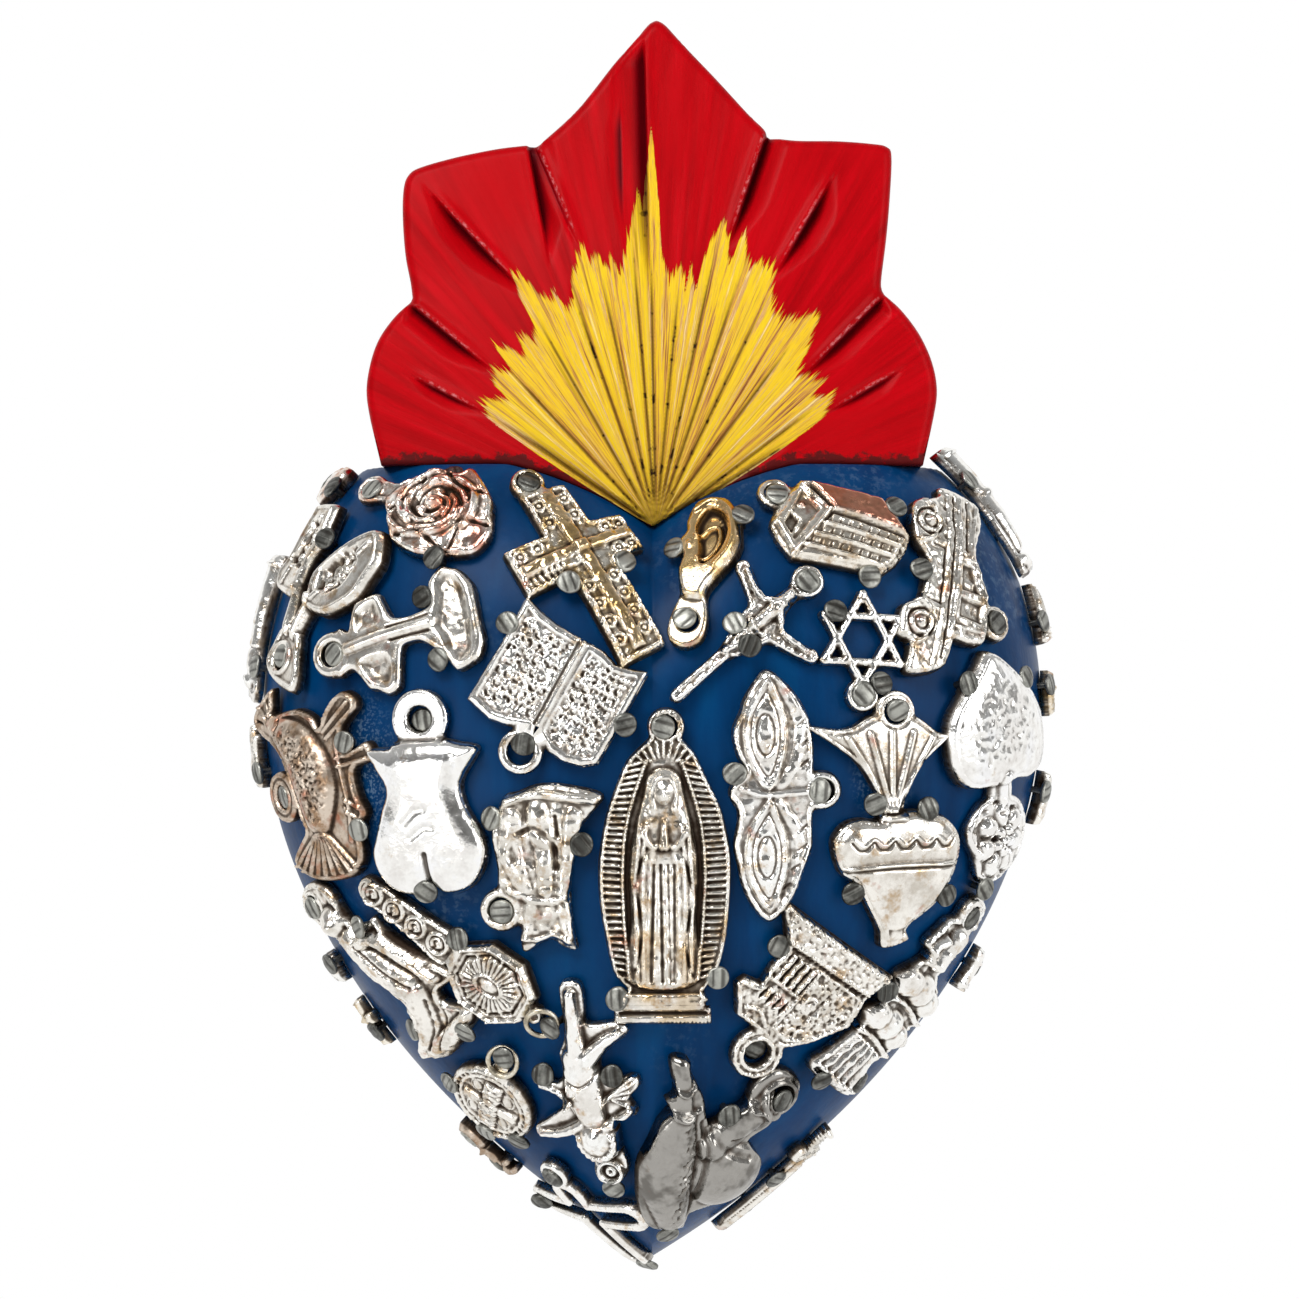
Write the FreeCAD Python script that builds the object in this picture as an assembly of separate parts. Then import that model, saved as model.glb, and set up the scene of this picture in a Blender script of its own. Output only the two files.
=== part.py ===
import FreeCAD, Part
import math
import os
from FreeCAD import Vector

# A carved, painted wooden heart with a flame on top, covered with small cast charms held by nails.
# Millimetres.  +Z is up, the front looks along -Y, the flat back lies on Y = 0.
# The origin is the mouth of the hanging hole in the back.

# heart block; dome_reach is how far in from the rim the facets go, and inside that the crown is flat
heart_width = 102.0
heart_depth = 36.0
widest_height = -16.0
lobe_height = 23.0
lobe_offset = 24.0
cleft_height = 14.0
tip_height = -86.0
core_height = -22.0
dome_fullness = 2.5
dome_bands = 10
rim_facets = 26
dome_reach = 42.63

# seam between the heart and the flame
seam_height = 17.0
seam_apex_height = 9.0
seam_knee_offset = 18.5
seam_bow = 1.0

# hanging hole
hole_radius = 4.0
hole_length = 11.0

# flame block
flame_proud = 1.2
root_drop = 1.0
flame_slope = 0.18
flame_height = 75.0
notch_offset = 15.0
notch_height = 58.5
corner_offset = 31.2
corner_height = 56.0
low_notch_offset = 30.0
low_notch_height = 38.5
flame_lobe_offset = 36.5
flame_foot_offset = 34.5
petal_bow = 0.7
flute_depth = 3.4
flute_spread = 0.16
flute_margin = 5.0
flute_start = 4.0

# castings
casting_thickness = 1.3
charm_clearance = 0.15
pad_root = 0.2
pad_slope = 0.72
bow_parts = 3
eye_radius = 2.1
eye_hole_radius = 1.25
eye_sides = 10
rose_radius = 7.0
star_radius = 5.5
star_bar = 0.8
medal_radius = 5.8
hollow_half = 2.4
hollow_bar = 0.8
hollow_top = 4.0
hollow_arm = 8.0
hollow_foot = 10.0

# lugs and jump rings of the two medals
lug_radius = 1.0
lug_bore = 0.55
lug_width = 0.9
lug_stand = 0.6
lug_sides = 8
ring_radius = 1.9
ring_wire = 0.7
ring_parts = 14
wire_sides = 6

# medal centres in their own plane, and the way each lug points, clockwise from up
bar_medal_ring = (2.4, -9.4, 182.0)
round_medal_ring = (0.3, 0.0, 0.0)

# nails
nail_head_radius = 1.45
nail_head_thickness = 0.5
nail_sides = 7
nail_shank = 0.9
nail_length = 8.5
nail_point_length = 1.6
nail_seat = 0.05
nail_play = 0.15
nail_step = 0.15
nail_steps = 20
shank_corner = 0.71  # from the middle of a square shank to its corner, as a share of its width


def heart_rim(scale, y):
    """Points round one outline of the heart, shrunk about its core line and set at depth y."""
    half = heart_width / 2
    shape = [
        (0, cleft_height),
        (0.42 * lobe_offset, 0.5 * (cleft_height + lobe_height) + 1.5),
        (lobe_offset, lobe_height),
        (0.81 * half, 0.45 * lobe_height + 3.5),
        (half, widest_height),
        (0.75 * half, 0.5 * (widest_height + tip_height)),
        (0.38 * half, 0.2 * widest_height + 0.8 * tip_height),
        (0, tip_height),
    ]
    curve = Part.BSplineCurve()
    curve.interpolate([Vector(x, 0, z) for x, z in shape])
    right = curve.toShape().discretize(Number=rim_facets + 1)
    left = [Vector(-p.x, 0, p.z) for p in reversed(right[1:-1])]
    points = []
    for p in right + left:
        points.append(Vector(p.x * scale, y, core_height + (p.z - core_height) * scale))
    return points


def dome_section(angle):
    """Scale and depth of the dome's outline at an angle from the back (0) to the front (90)."""
    scale = math.cos(math.radians(angle)) ** (2 / dome_fullness)
    depth = heart_depth * math.sin(math.radians(angle)) ** (2 / dome_fullness)
    return scale, -depth


def flat_face(points):
    return Part.Face(Part.makePolygon(points + points[:1]))


def skin(rims):
    """A closed solid of flat facets over a stack of point rings, with flat ends."""
    faces = [flat_face(rims[0]), flat_face(rims[-1])]
    count = len(rims[0])
    for lower, upper in zip(rims, rims[1:]):
        for i in range(count):
            j = (i + 1) % count
            faces.append(flat_face([lower[i], lower[j], upper[j], upper[i]]))
    return Part.Solid(Part.Shell(faces))


def dome():
    crown_scale = 1 - dome_reach / (heart_width / 2)
    crown_angle = math.degrees(math.acos(crown_scale ** (dome_fullness / 2)))
    rims = []
    for band in range(dome_bands + 1):
        scale, y = dome_section(crown_angle * band / dome_bands)
        rims.append(heart_rim(scale, y))
    return skin(rims)


def seam_edges(y):
    """The V-shaped line where the flame stands on the heart, from left to right."""
    knee = seam_knee_offset
    apex = Vector(0, y, seam_apex_height)
    edges = [Part.makeLine(Vector(-heart_width, y, seam_height), Vector(-knee, y, seam_height))]
    for side in (-1, 1):
        middle = Vector(side * knee / 2, y, (seam_height + seam_apex_height) / 2 + seam_bow)
        corner = Vector(side * knee, y, seam_height)
        edges.append(Part.Arc(corner, middle, apex).toShape())
    edges.append(Part.makeLine(Vector(knee, y, seam_height), Vector(heart_width, y, seam_height)))
    return edges


def above_seam():
    """A block that holds everything above the seam."""
    y = 1.0
    top = seam_height + 2 * heart_width
    corners = [
        Vector(heart_width, y, seam_height),
        Vector(heart_width, y, top),
        Vector(-heart_width, y, top),
        Vector(-heart_width, y, seam_height),
    ]
    edges = seam_edges(y) + Part.makePolygon(corners).Edges
    face = Part.Face(Part.Wire(Part.__sortEdges__(edges)))
    return face.extrude(Vector(0, -2 * heart_depth, 0))


def heart_body():
    bore = Part.makeCylinder(hole_radius, hole_length, Vector(0, 0, 0), Vector(0, -1, 0))
    return dome().cut(above_seam()).cut(bore)


def dome_depth(scale):
    return heart_depth * (1 - scale ** dome_fullness) ** (1 / dome_fullness)


def flame_root():
    """The point just under the foot of the flame, on its front, where all the flutes point."""
    height = seam_apex_height - root_drop
    scale = (height - core_height) / (cleft_height - core_height)
    return Vector(0, -dome_depth(scale) - flame_proud, height)


def flame_outline():
    """Five pointed and rounded petals, down to the two feet that stand on the heart."""
    edges = []
    for side in (1, -1):
        stops = [
            (0, flame_height),
            (notch_offset / 2, (flame_height + notch_height) / 2 - petal_bow),
            (notch_offset, notch_height),
            ((notch_offset + corner_offset) / 2, (notch_height + corner_height) / 2 + petal_bow),
            (corner_offset, corner_height),
            (corner_offset, (corner_height + low_notch_height) / 2),
            (low_notch_offset, low_notch_height),
            (flame_lobe_offset, (low_notch_height + seam_height) / 2),
            (flame_foot_offset, seam_height),
        ]
        points = [Vector(side * x, 0, z) for x, z in stops]
        for i in range(0, len(points) - 1, 2):
            edges.append(Part.Arc(points[i], points[i + 1], points[i + 2]).toShape())
    feet = [Vector(x, 0, seam_apex_height - 1) for x in (-flame_foot_offset, flame_foot_offset)]
    left = Vector(-flame_foot_offset, 0, seam_height)
    right = Vector(flame_foot_offset, 0, seam_height)
    edges += [Part.makeLine(left, feet[0]), Part.makeLine(feet[0], feet[1]), Part.makeLine(feet[1], right)]
    return Part.Wire(Part.__sortEdges__(edges))


def flute(x, z, closed):
    """A V-shaped cut that widens away from the root of the flame; a closed one tapers out again."""
    root = flame_root()
    length = math.hypot(x, z - root.z)
    out = Vector(x / length, flame_slope, (z - root.z) / length)
    side = Vector(out.z, 0, -out.x)
    start = root + out * flute_start
    reach = 0.75 * length if closed else length + flute_margin
    middle = root + out * reach
    half = side * (flute_spread * reach / 2)
    rise = Vector(0, -0.5, 0)
    ring = [middle - half + rise, middle + half + rise, middle + Vector(0, flute_depth, 0)]
    end = root + out * (length if closed else reach + flute_margin)
    faces = []
    for i in range(3):
        faces.append(flat_face([start, ring[i], ring[(i + 1) % 3]]))
        faces.append(flat_face([end, ring[i], ring[(i + 1) % 3]]))
    return Part.Solid(Part.Shell(faces))


def flame_crown():
    root = flame_root()
    block = Part.Face(flame_outline()).extrude(Vector(0, -2 * heart_depth, 0))
    reach = 2 * flame_height
    cone = Part.makeCone(0, reach / flame_slope, reach, root, Vector(0, 1, 0))
    crown = block.common(cone).common(above_seam())
    for side in (-1, 1):
        crown = crown.cut(flute(side * notch_offset, notch_height, False))
        crown = crown.cut(flute(side * low_notch_offset, low_notch_height, False))
        corner = (side * (corner_offset - 0.5 * flute_margin), corner_height - flute_margin)
        crown = crown.cut(flute(corner[0], corner[1], True))
        lobe = (low_notch_height + seam_height) / 2 + 1
        crown = crown.cut(flute(side * (flame_lobe_offset - 0.6 * flute_margin), lobe, True))
    return crown.cut(flute(0, flame_height - flute_margin, True))


def dome_point(clock, slope):
    """A point on the dome: clock degrees round the front, slope degrees from the crown to the rim."""
    turn = math.radians(clock)
    scale = math.sin(math.radians(slope)) ** (2 / dome_fullness)
    core = Vector(0, 0, core_height)
    ray = Vector(math.sin(turn), 0, math.cos(turn))
    rim = Part.makePolygon(heart_rim(1.0, 0.0) + heart_rim(1.0, 0.0)[:1])
    reach = Part.makeLine(core, core + ray * (2 * heart_width)).distToShape(rim)[1][0][0]
    return core + (reach - core) * scale - Vector(0, dome_depth(scale), 0)


def seat(clock, slope, turn):
    """Lay a charm flat on the dome, its own +Y turned clockwise from straight up."""
    spot = dome_point(clock, slope)
    along = dome_point(clock + 2, slope) - dome_point(clock - 2, slope)
    down = dome_point(clock, slope + 2) - dome_point(clock, slope - 2)
    out = down.cross(along).normalize()
    if out.dot(spot - Vector(0, 0, core_height)) < 0:
        out = out * -1
    up = (Vector(0, 0, 1) - out * out.z).normalize()
    side = up.cross(out)
    angle = math.radians(turn)
    tall = up * math.cos(angle) + side * math.sin(angle)
    wide = tall.cross(out)
    base = spot + out * charm_clearance
    return FreeCAD.Placement(FreeCAD.Matrix(
        wide.x, tall.x, out.x, base.x,
        wide.y, tall.y, out.y, base.y,
        wide.z, tall.z, out.z, base.z,
        0, 0, 0, 1))


def trace(stops):
    """Points clockwise round an outline; a third number bows the way to that stop outwards."""
    points = []
    for i, stop in enumerate(stops):
        last = stops[i - 1]
        if len(stop) == 3:
            dx, dy = stop[0] - last[0], stop[1] - last[1]
            for k in range(1, bow_parts):
                t = k / bow_parts
                lift = stop[2] * 4 * t * (1 - t) / math.hypot(dx, dy)
                points.append((last[0] + dx * t - dy * lift, last[1] + dy * t + dx * lift))
        points.append((stop[0], stop[1]))
    return points


def round_points(x, y, radius, sides, tall=1.0):
    """A regular outline about (x, y), taller than wide where tall is over 1."""
    points = []
    for i in range(sides):
        angle = 2 * math.pi * (i + 0.5) / sides
        points.append((x + radius * math.sin(angle), y + tall * radius * math.cos(angle)))
    return points


def leaf_points(start, end, width):
    """A leaf or almond outline from one point to the other."""
    return trace([(start[0], start[1]), (end[0], end[1], width / 2), (start[0], start[1], width / 2)])[:-1]


def bar_points(start, end, width, end_width=None):
    """A straight bar that may taper."""
    dx, dy = end[0] - start[0], end[1] - start[1]
    length = math.hypot(dx, dy)
    a = width / 2 / length
    b = (width if end_width is None else end_width) / 2 / length
    return [
        (start[0] - dy * a, start[1] + dx * a), (end[0] - dy * b, end[1] + dx * b),
        (end[0] + dy * b, end[1] - dx * b), (start[0] + dy * a, start[1] - dx * a),
    ]


def mirrored(stops):
    """A whole outline from its right half, given from top to bottom."""
    left = [(-x, y) for x, y in reversed(stops) if x > 0]
    return list(stops) + left


def slab(points, bottom, top):
    face = flat_face([Vector(x, y, bottom) for x, y in points])
    return face.extrude(Vector(0, 0, top - bottom))


def plate(points):
    return slab(points, 0, casting_thickness)


def pad(points, height, shrink=pad_slope):
    """A raised form with sloping sides on the face of a casting."""
    x = sum(p[0] for p in points) / len(points)
    y = sum(p[1] for p in points) / len(points)
    low = [Vector(p[0], p[1], casting_thickness - pad_root) for p in points]
    high = []
    for p in points:
        high.append(Vector(x + (p[0] - x) * shrink, y + (p[1] - y) * shrink, casting_thickness + height))
    return skin([low, high])


def shrunk(points, share):
    x = sum(p[0] for p in points) / len(points)
    y = sum(p[1] for p in points) / len(points)
    return [(x + (p[0] - x) * share, y + (p[1] - y) * share) for p in points]


def casting(plates, pads=(), eye=None, eye_rim=None):
    """One cast charm of fused plates with raised pads; gives the solid and where its eyelet nail stands."""
    body = plate(plates[0])
    for points in plates[1:]:
        body = body.fuse(plate(points))
    if eye:
        body = body.fuse(plate(round_points(eye[0], eye[1], eye_rim or eye_radius, eye_sides)))
    body = body.removeSplitter()
    for solid in pads:
        body = body.fuse(solid)
    if not eye:
        return body, []
    hole = slab(round_points(eye[0], eye[1], eye_hole_radius, eye_sides), -1, 2 * casting_thickness)
    return body.cut(hole), [eye]


def nail_shape():
    """A small tack: a flat head on a square shank that ends in a point."""
    head = slab(round_points(0, 0, nail_head_radius, nail_sides), 0, nail_head_thickness)
    half = nail_shank / 2
    corners = [(-half, -half), (-half, half), (half, half), (half, -half)]
    shank = slab(corners, nail_point_length - nail_length, 0)
    base = [Vector(x, y, nail_point_length - nail_length) for x, y in corners]
    tip = Vector(0, 0, -nail_length)
    faces = [flat_face(base)]
    for i in range(4):
        faces.append(flat_face([base[i], base[(i + 1) % 4], tip]))
    point = Part.Solid(Part.Shell(faces))
    return head.fuse(shank).fuse(point).removeSplitter()


def nail_spot(charm, x, y):
    """Where a nail beside the charm stands, so that its head laps the edge and its shank clears it."""
    section = charm.slice(Vector(0, 0, 1), casting_thickness / 2)
    near = None
    for wire in section:
        found = wire.distToShape(Part.Vertex(x, y, casting_thickness / 2))
        if near is None or found[0] < near[0]:
            near = found
    edge = near[1][0][0]
    away = Vector(x - edge.x, y - edge.y, 0)
    if charm.isInside(Vector(x, y, casting_thickness / 2), 0.001, True):
        away = away * -1
    away.normalize()
    away = away * (nail_shank * shank_corner + nail_play)
    return edge.x + away.x, edge.y + away.y


def with_eyelet(body, x, y):
    """Add a nailing ring to a finished form."""
    ring = plate(round_points(x, y, eye_radius, eye_sides))
    hole = slab(round_points(x, y, eye_hole_radius, eye_sides), -1, 2 * casting_thickness)
    return body.fuse(ring).cut(hole).removeSplitter(), [(x, y)]


def rose():
    petals = []
    for i in range(20):
        angle = 2 * math.pi * i / 20
        reach = rose_radius - 0.9 * abs(math.cos(2.5 * angle))
        petals.append((reach * math.sin(angle), reach * math.cos(angle)))
    inner = round_points(0, 0.3, 0.62 * rose_radius, 7)
    bud = round_points(-0.3, 0.6, 0.34 * rose_radius, 5)
    eye = (-rose_radius - 2.2, 6.0)
    neck = bar_points((-4.0, 3.0), eye, 3.4)
    return casting([petals, neck], [pad(inner, 1.2), pad(bud, 1.9)], eye)


def sprig():
    left = leaf_points((-5.5, -4.5), (-2.5, 8.8), 6.4)
    right = leaf_points((4.2, -4.6), (8.8, 8.6), 7.2)
    stem = bar_points((1.2, -9.0), (0.2, -1.0), 2.6)
    joint = leaf_points((-4.5, -3.0), (5.5, -2.6), 3.2)
    tab = trace([
        (0.2, -8.4), (2.6, -8.4), (5.0, -11.0, 0.4), (3.6, -15.0, 0.8), (0.0, -14.4, 0.5), (-2.0, -11.6, 0.4),
    ])
    pads = [pad(shrunk(left, 0.8), 1.1, 0.5), pad(shrunk(right, 0.8), 1.1, 0.5)]
    return casting([left, joint, right, stem, tab], pads, (1.2, -11.8), 2.5)


def kidney():
    outline = trace([
        (-2.0, -8.6), (-4.6, -7.2, 0.2), (-5.6, -3.6, 0.6), (-3.0, -2.2, 0.5), (-1.5, 0.2, -0.3),
        (-2.4, 3.2, -0.2), (-5.6, 4.8, 0.3), (-6.0, 7.2, 0.4), (-2.8, 9.6, 0.5), (4.0, 9.6, 0.4),
        (7.0, 6.2, 0.7), (4.0, 3.4, 0.4), (2.2, 0.6, -0.6), (4.4, -1.6, -0.3), (7.5, -3.4, 0.6),
        (5.8, -6.6, 0.5), (3.0, -8.6),
    ])
    lobes = [pad(leaf_points((-4.6, 6.0), (5.6, 6.6), 4.4), 1.2)]
    lobes.append(pad(leaf_points((-4.4, -4.4), (5.6, -4.4), 4.0), 1.2))
    waist = pad(bar_points((0.2, -3.0), (0.6, 5.0), 2.0), 0.8)
    return casting([outline, bar_points((0.4, -8.0), (0.3, -10.5), 4.4)], lobes + [waist], (0.2, -10.8), 2.9)


def filigree_cross():
    half = 3.1
    outline = [
        (-half, 9.6), (half, 9.6), (half, 3.4), (7.4, 3.4), (7.4, -2.8), (half, -2.8), (half, -15.8),
        (-half, -15.8), (-half, -2.8), (-8.6, -2.8), (-8.6, 3.4), (-half, 3.4),
    ]
    upright = pad(bar_points((0, 8.6), (0, -14.8), 2.2), 0.9)
    arms = pad(bar_points((-7.6, 0.3), (6.6, 0.3), 2.2), 0.9)
    corners = []
    for x, y in ((-1.0, 6.2), (5.4, 0.3), (-6.4, 0.3), (0, -12.6), (0, -7.4)):
        corners.append(pad(round_points(x, y, 1.7, 6), 0.6))
    return casting([outline], [upright, arms] + corners, (-1.2, 11.4))


def book():
    outline = trace([
        (-7.0, 6.8), (1.9, 5.6, -0.7), (10.6, 5.4, -0.9), (10.1, -7.8), (1.4, -7.2, 1.0),
        (-8.0, -7.6, 0.9),
    ])
    left = [(-6.2, 5.9), (1.2, 4.9), (0.8, -7.0), (-7.1, -7.0)]
    right = [(2.7, 4.9), (9.8, 4.5), (9.3, -7.2), (2.3, -7.0)]
    return casting([outline], [pad(left, 0.7, 0.86), pad(right, 0.7, 0.86)], (0.8, -9.6), 2.8)


def ear():
    outline = trace([
        (-2.6, 2.6), (-1.2, 6.9, 1.0), (3.9, 4.9, 1.1), (3.8, -3.2, 1.2), (1.2, -8.6, 0.4),
        (-1.2, -7.6, 0.2), (-2.2, -3.4, 0.2), (-3.0, 0.0, 0.3),
    ])
    rim = slab(outline, casting_thickness - pad_root, casting_thickness + 1.1)
    hollow = slab(shrunk(outline, 0.66), casting_thickness, casting_thickness + 5)
    lobe = pad(round_points(-0.6, -0.6, 1.2, 6), 0.7)
    return casting([outline], [rim.cut(hollow), lobe], (0.2, -10.6), 2.6)


def house():
    outline = [
        (-5.0, 6.0), (5.6, 5.0), (9.4, 0.4), (8.2, -3.4), (5.8, -5.6), (-5.6, -5.6), (-8.6, -1.4),
        (-8.4, -0.2),
    ]
    roof = [(-4.4, 5.5), (5.2, 4.5), (8.6, 0.6), (-0.6, 1.8)]
    gable = [(-5.2, 4.9), (-1.4, 1.4), (-3.2, -1.6), (-5.6, -4.9), (-8.0, -1.0)]
    wall = [(-0.8, 1.2), (8.6, 0.0), (7.4, -3.2), (5.5, -5.0), (-4.9, -5.0), (-2.7, -1.4)]
    pads = [pad(roof, 1.3, 0.9), pad(gable, 1.0, 0.86), pad(wall, 1.0, 0.9)]
    for row in range(2):
        y = -1.4 - 1.9 * row
        pads.append(slab(bar_points((-1.2, y), (6.6, y - 0.2), 0.7), 1.0, casting_thickness + 1.3))
    return casting([outline], pads, (-8.2, 3.6), 2.1)


def crucifix():
    upright = bar_points((0.2, 5.2), (0.8, -15.4), 1.8)
    left = trace([
        (-0.8, -3.6), (-3.0, -0.4, 0.2), (-6.6, 0.9, 0.1), (-6.2, 2.3), (-2.2, 1.4, -0.4), (0.4, 3.4),
    ])
    right = trace([(0.4, 3.4), (3.2, 1.0, -0.4), (7.6, 1.6), (7.6, 0.2), (4.2, -2.4, -0.2), (1.4, -3.8)])
    figure = pad(bar_points((0.3, 2.2), (0.6, -7.6), 1.5, 0.9), 1.0)
    head = pad(round_points(0.2, 3.4, 1.2, 7), 1.2)
    return casting([upright, left, right], [figure, head], (0.2, 6.6), 2.1)


def star():
    body = None
    hollow = star_radius - 2 * star_bar
    for turn in (0, 180):
        angle = math.radians(turn)
        outer, inner = [], []
        for i in range(3):
            a = angle + 2 * math.pi * i / 3
            outer.append((star_radius * math.sin(a), star_radius * math.cos(a)))
            inner.append((hollow * math.sin(a), hollow * math.cos(a)))
        frame = plate(outer).cut(slab(inner, -1, 2 * casting_thickness))
        body = frame if body is None else body.fuse(frame)
    return with_eyelet(body, 0, -star_radius - eye_radius + star_bar)


def pickup():
    outline = trace([
        (-2.6, 12.4), (3.4, 12.0, 0.3), (4.4, 9.0), (3.4, 3.6), (5.6, -1.0, 0.3), (5.6, -7.2), (0.8, -8.2),
        (0.6, -12.4), (-4.8, -13.8), (-5.0, -10.2), (-6.9, -7.6, 0.8), (-4.6, -4.2, 0.8), (-4.2, 3.4),
        (-6.4, 6.4, 0.8), (-4.2, 10.0, 0.8),
    ])
    wheels = [pad(round_points(-4.4, y, 2.2, 9), 0.9, 0.8) for y in (6.8, -7.6)]
    cab = pad([(0.6, 2.8), (2.8, 3.0), (4.8, -1.2), (4.8, -6.4), (0.6, -6.6)], 1.2, 0.8)
    flank = pad([(-2.0, 11.0), (2.6, 10.6), (0.2, -11.6), (-2.0, -12.2)], 0.8, 0.9)
    return casting([outline], wheels + [cab, flank], (7.2, -3.6), 2.3)


def flaming_heart():
    fan = trace([
        (-11.4, 15.4), (-4.0, 16.0, -0.3), (3.0, 16.6), (7.0, 14.2, -0.2), (1.2, 5.6, -1.2), (0.8, 3.6),
        (-2.6, 3.6), (-2.6, 6.0), (-11.0, 14.2, -1.4),
    ])
    heart = trace([
        (-2.6, 4.2), (1.0, 4.6), (6.8, 3.8, 0.4), (8.8, -1.8, 0.8), (5.4, -7.6, 0.4), (2.2, -10.4),
        (2.0, -12.0), (-1.4, -12.4), (-5.4, -4.6, -0.2), (-8.4, 0.8, 0.6), (-5.6, 4.2, 0.8),
    ])
    ribs = []
    for x in (-8.6, -5.2, -1.6, 2.0, 4.8):
        ribs.append(pad(bar_points((-0.8, 5.6), (x, 14.8), 0.6, 1.5), 0.7, 0.8))
    return casting([heart, fan], [pad(shrunk(heart, 0.86), 1.5, 0.66)] + ribs, (-0.4, 17.2), 2.6)


def eyes():
    outline = trace([
        (-0.5, 15.5), (4.9, 5.6, 1.4), (3.8, 1.4, 0.2), (4.9, -6.0, 0.5), (-0.5, -15.5, 1.2),
        (-5.0, -5.6, 1.2), (-4.2, -2.2, 0.3), (-5.6, 0.4, 0.3), (-3.8, 2.4), (-5.0, 7.4, 0.5),
    ])
    pads = []
    for y in (7.6, -7.6):
        pads.append(pad(leaf_points((-0.2, y + 6.2), (-0.2, y - 6.2), 6.0), 0.7, 0.8))
        pads.append(pad(round_points(-0.2, y, 1.6, 7), 1.4, 0.7))
    return casting([outline], pads, (5.8, 0.6), 2.5)


def robed_figure():
    outline = trace([
        (-1.6, 16.0), (1.6, 16.0), (8.2, 1.6, 1.5), (6.2, -13.6, 0.8), (5.0, -15.6), (6.0, -17.4),
        (6.0, -19.4), (-6.0, -19.4), (-6.0, -17.4), (-5.0, -15.6), (-6.2, -13.6), (-8.2, 1.6, 0.8),
        (-1.6, 16.0, 1.5),
    ])[:-1]
    robe = mirrored([(0, 11.6), (2.0, 10.6), (3.4, 6.6), (4.8, 0.0), (4.4, -8.0), (4.8, -13.6)])
    hands = pad(mirrored([(0, 5.8), (1.2, 3.8), (1.6, 1.4)]), 2.6, 0.6)
    head = pad(round_points(0, 9.0, 1.6, 8, 1.3), 2.3, 0.6)
    plinth = pad([(-5.4, -15.8), (5.4, -15.8), (5.6, -18.8), (-5.6, -18.8)], 1.0, 0.85)
    return casting([outline], [pad(robe, 1.6, 0.7), hands, head, plinth], (0, 17.2), 2.3)


def torso():
    outline = trace([
        (-2.9, 7.4), (2.9, 7.4), (7.4, 6.2, 0.2), (5.4, 1.4, -0.6), (7.6, -6.6, 0.7), (4.4, -11.4, 1.2),
        (0, -10.2, 0.4), (-4.4, -11.4, 0.4), (-7.6, -6.6, 1.2), (-5.4, 1.4, 0.7), (-7.4, 6.2, -0.6),
    ])
    return casting([outline], [pad(shrunk(outline, 0.84), 1.6, 0.66)], (0, 10.0), 3.7)


def bodice():
    outline = trace([
        (-4.6, 7.8), (2.6, 9.6, 0.6), (7.4, 8.6), (4.6, 3.8, -0.2), (4.0, -4.0, 0.1), (5.0, -10.8, -0.4),
        (-1.4, -11.2, -1.2), (-2.0, -7.4), (-5.0, -4.0), (-5.9, 3.2, 0.5), (-5.2, 6.0),
    ])
    folds = pad(bar_points((2.2, 7.0), (2.6, -4.0), 2.0, 1.4), 1.4, 0.7)
    chest = pad(round_points(-2.2, 2.2, 2.4, 8, 1.4), 1.5, 0.6)
    skirt = pad([(-0.8, -5.0), (3.2, -5.0), (3.8, -9.2), (-0.8, -9.4)], 0.9, 0.8)
    return casting([outline], [folds, chest, skirt], (-4.5, -6.4), 2.7)


def fish():
    outline = trace([
        (-9.4, 7.4), (-11.4, 9.6), (-8.2, 12.4, 0.3), (-6.0, 13.0), (-5.6, 10.2), (0.0, 10.6, 0.4),
        (4.6, 8.0, 0.5), (6.4, 12.0, 0.2), (9.4, 11.6, 0.5), (7.6, 7.4, 0.2), (7.8, 5.0), (11.0, 5.6),
        (11.0, 3.2), (8.8, 1.6), (9.8, -2.8, 0.3), (8.2, -5.0), (8.2, -9.2, 0.3), (5.2, -11.4, 0.4),
        (-2.8, -11.2, 0.5), (-6.0, -9.0), (-1.8, -5.0, -0.2), (-2.2, -3.0), (-3.6, 3.0, -0.2), (-6.2, 6.0),
    ])
    body = pad(leaf_points((-5.6, 9.0), (3.4, -6.0), 8.0), 1.5, 0.6)
    tail = []
    for x in (-3.6, -0.6, 2.4, 5.4):
        tail.append(pad(bar_points((2.2, -4.4), (x, -10.4), 0.7, 1.5), 0.7, 0.8))
    return casting([outline], [body] + tail, (-5.6, -0.6), 3.4)


def medal_hold(hold):
    """Where a medal's lug points: (x, y) of the medal's centre and degrees clockwise from up."""
    x, y, turn = hold
    return FreeCAD.Placement(Vector(x, y, 0), FreeCAD.Rotation(Vector(0, 0, 1), -turn))


def lug(hold):
    """The small standing loop that carries a jump ring."""
    loop = slab(round_points(0, 0, lug_radius, lug_sides), -lug_width / 2, lug_width / 2)
    loop = loop.cut(slab(round_points(0, 0, lug_bore, lug_sides), -lug_width, lug_width))
    stand = FreeCAD.Placement(
        Vector(0, medal_radius + lug_stand, lug_radius), FreeCAD.Rotation(Vector(0, 1, 0), 90))
    loop.Placement = medal_hold(hold).multiply(stand)
    return loop


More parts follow.
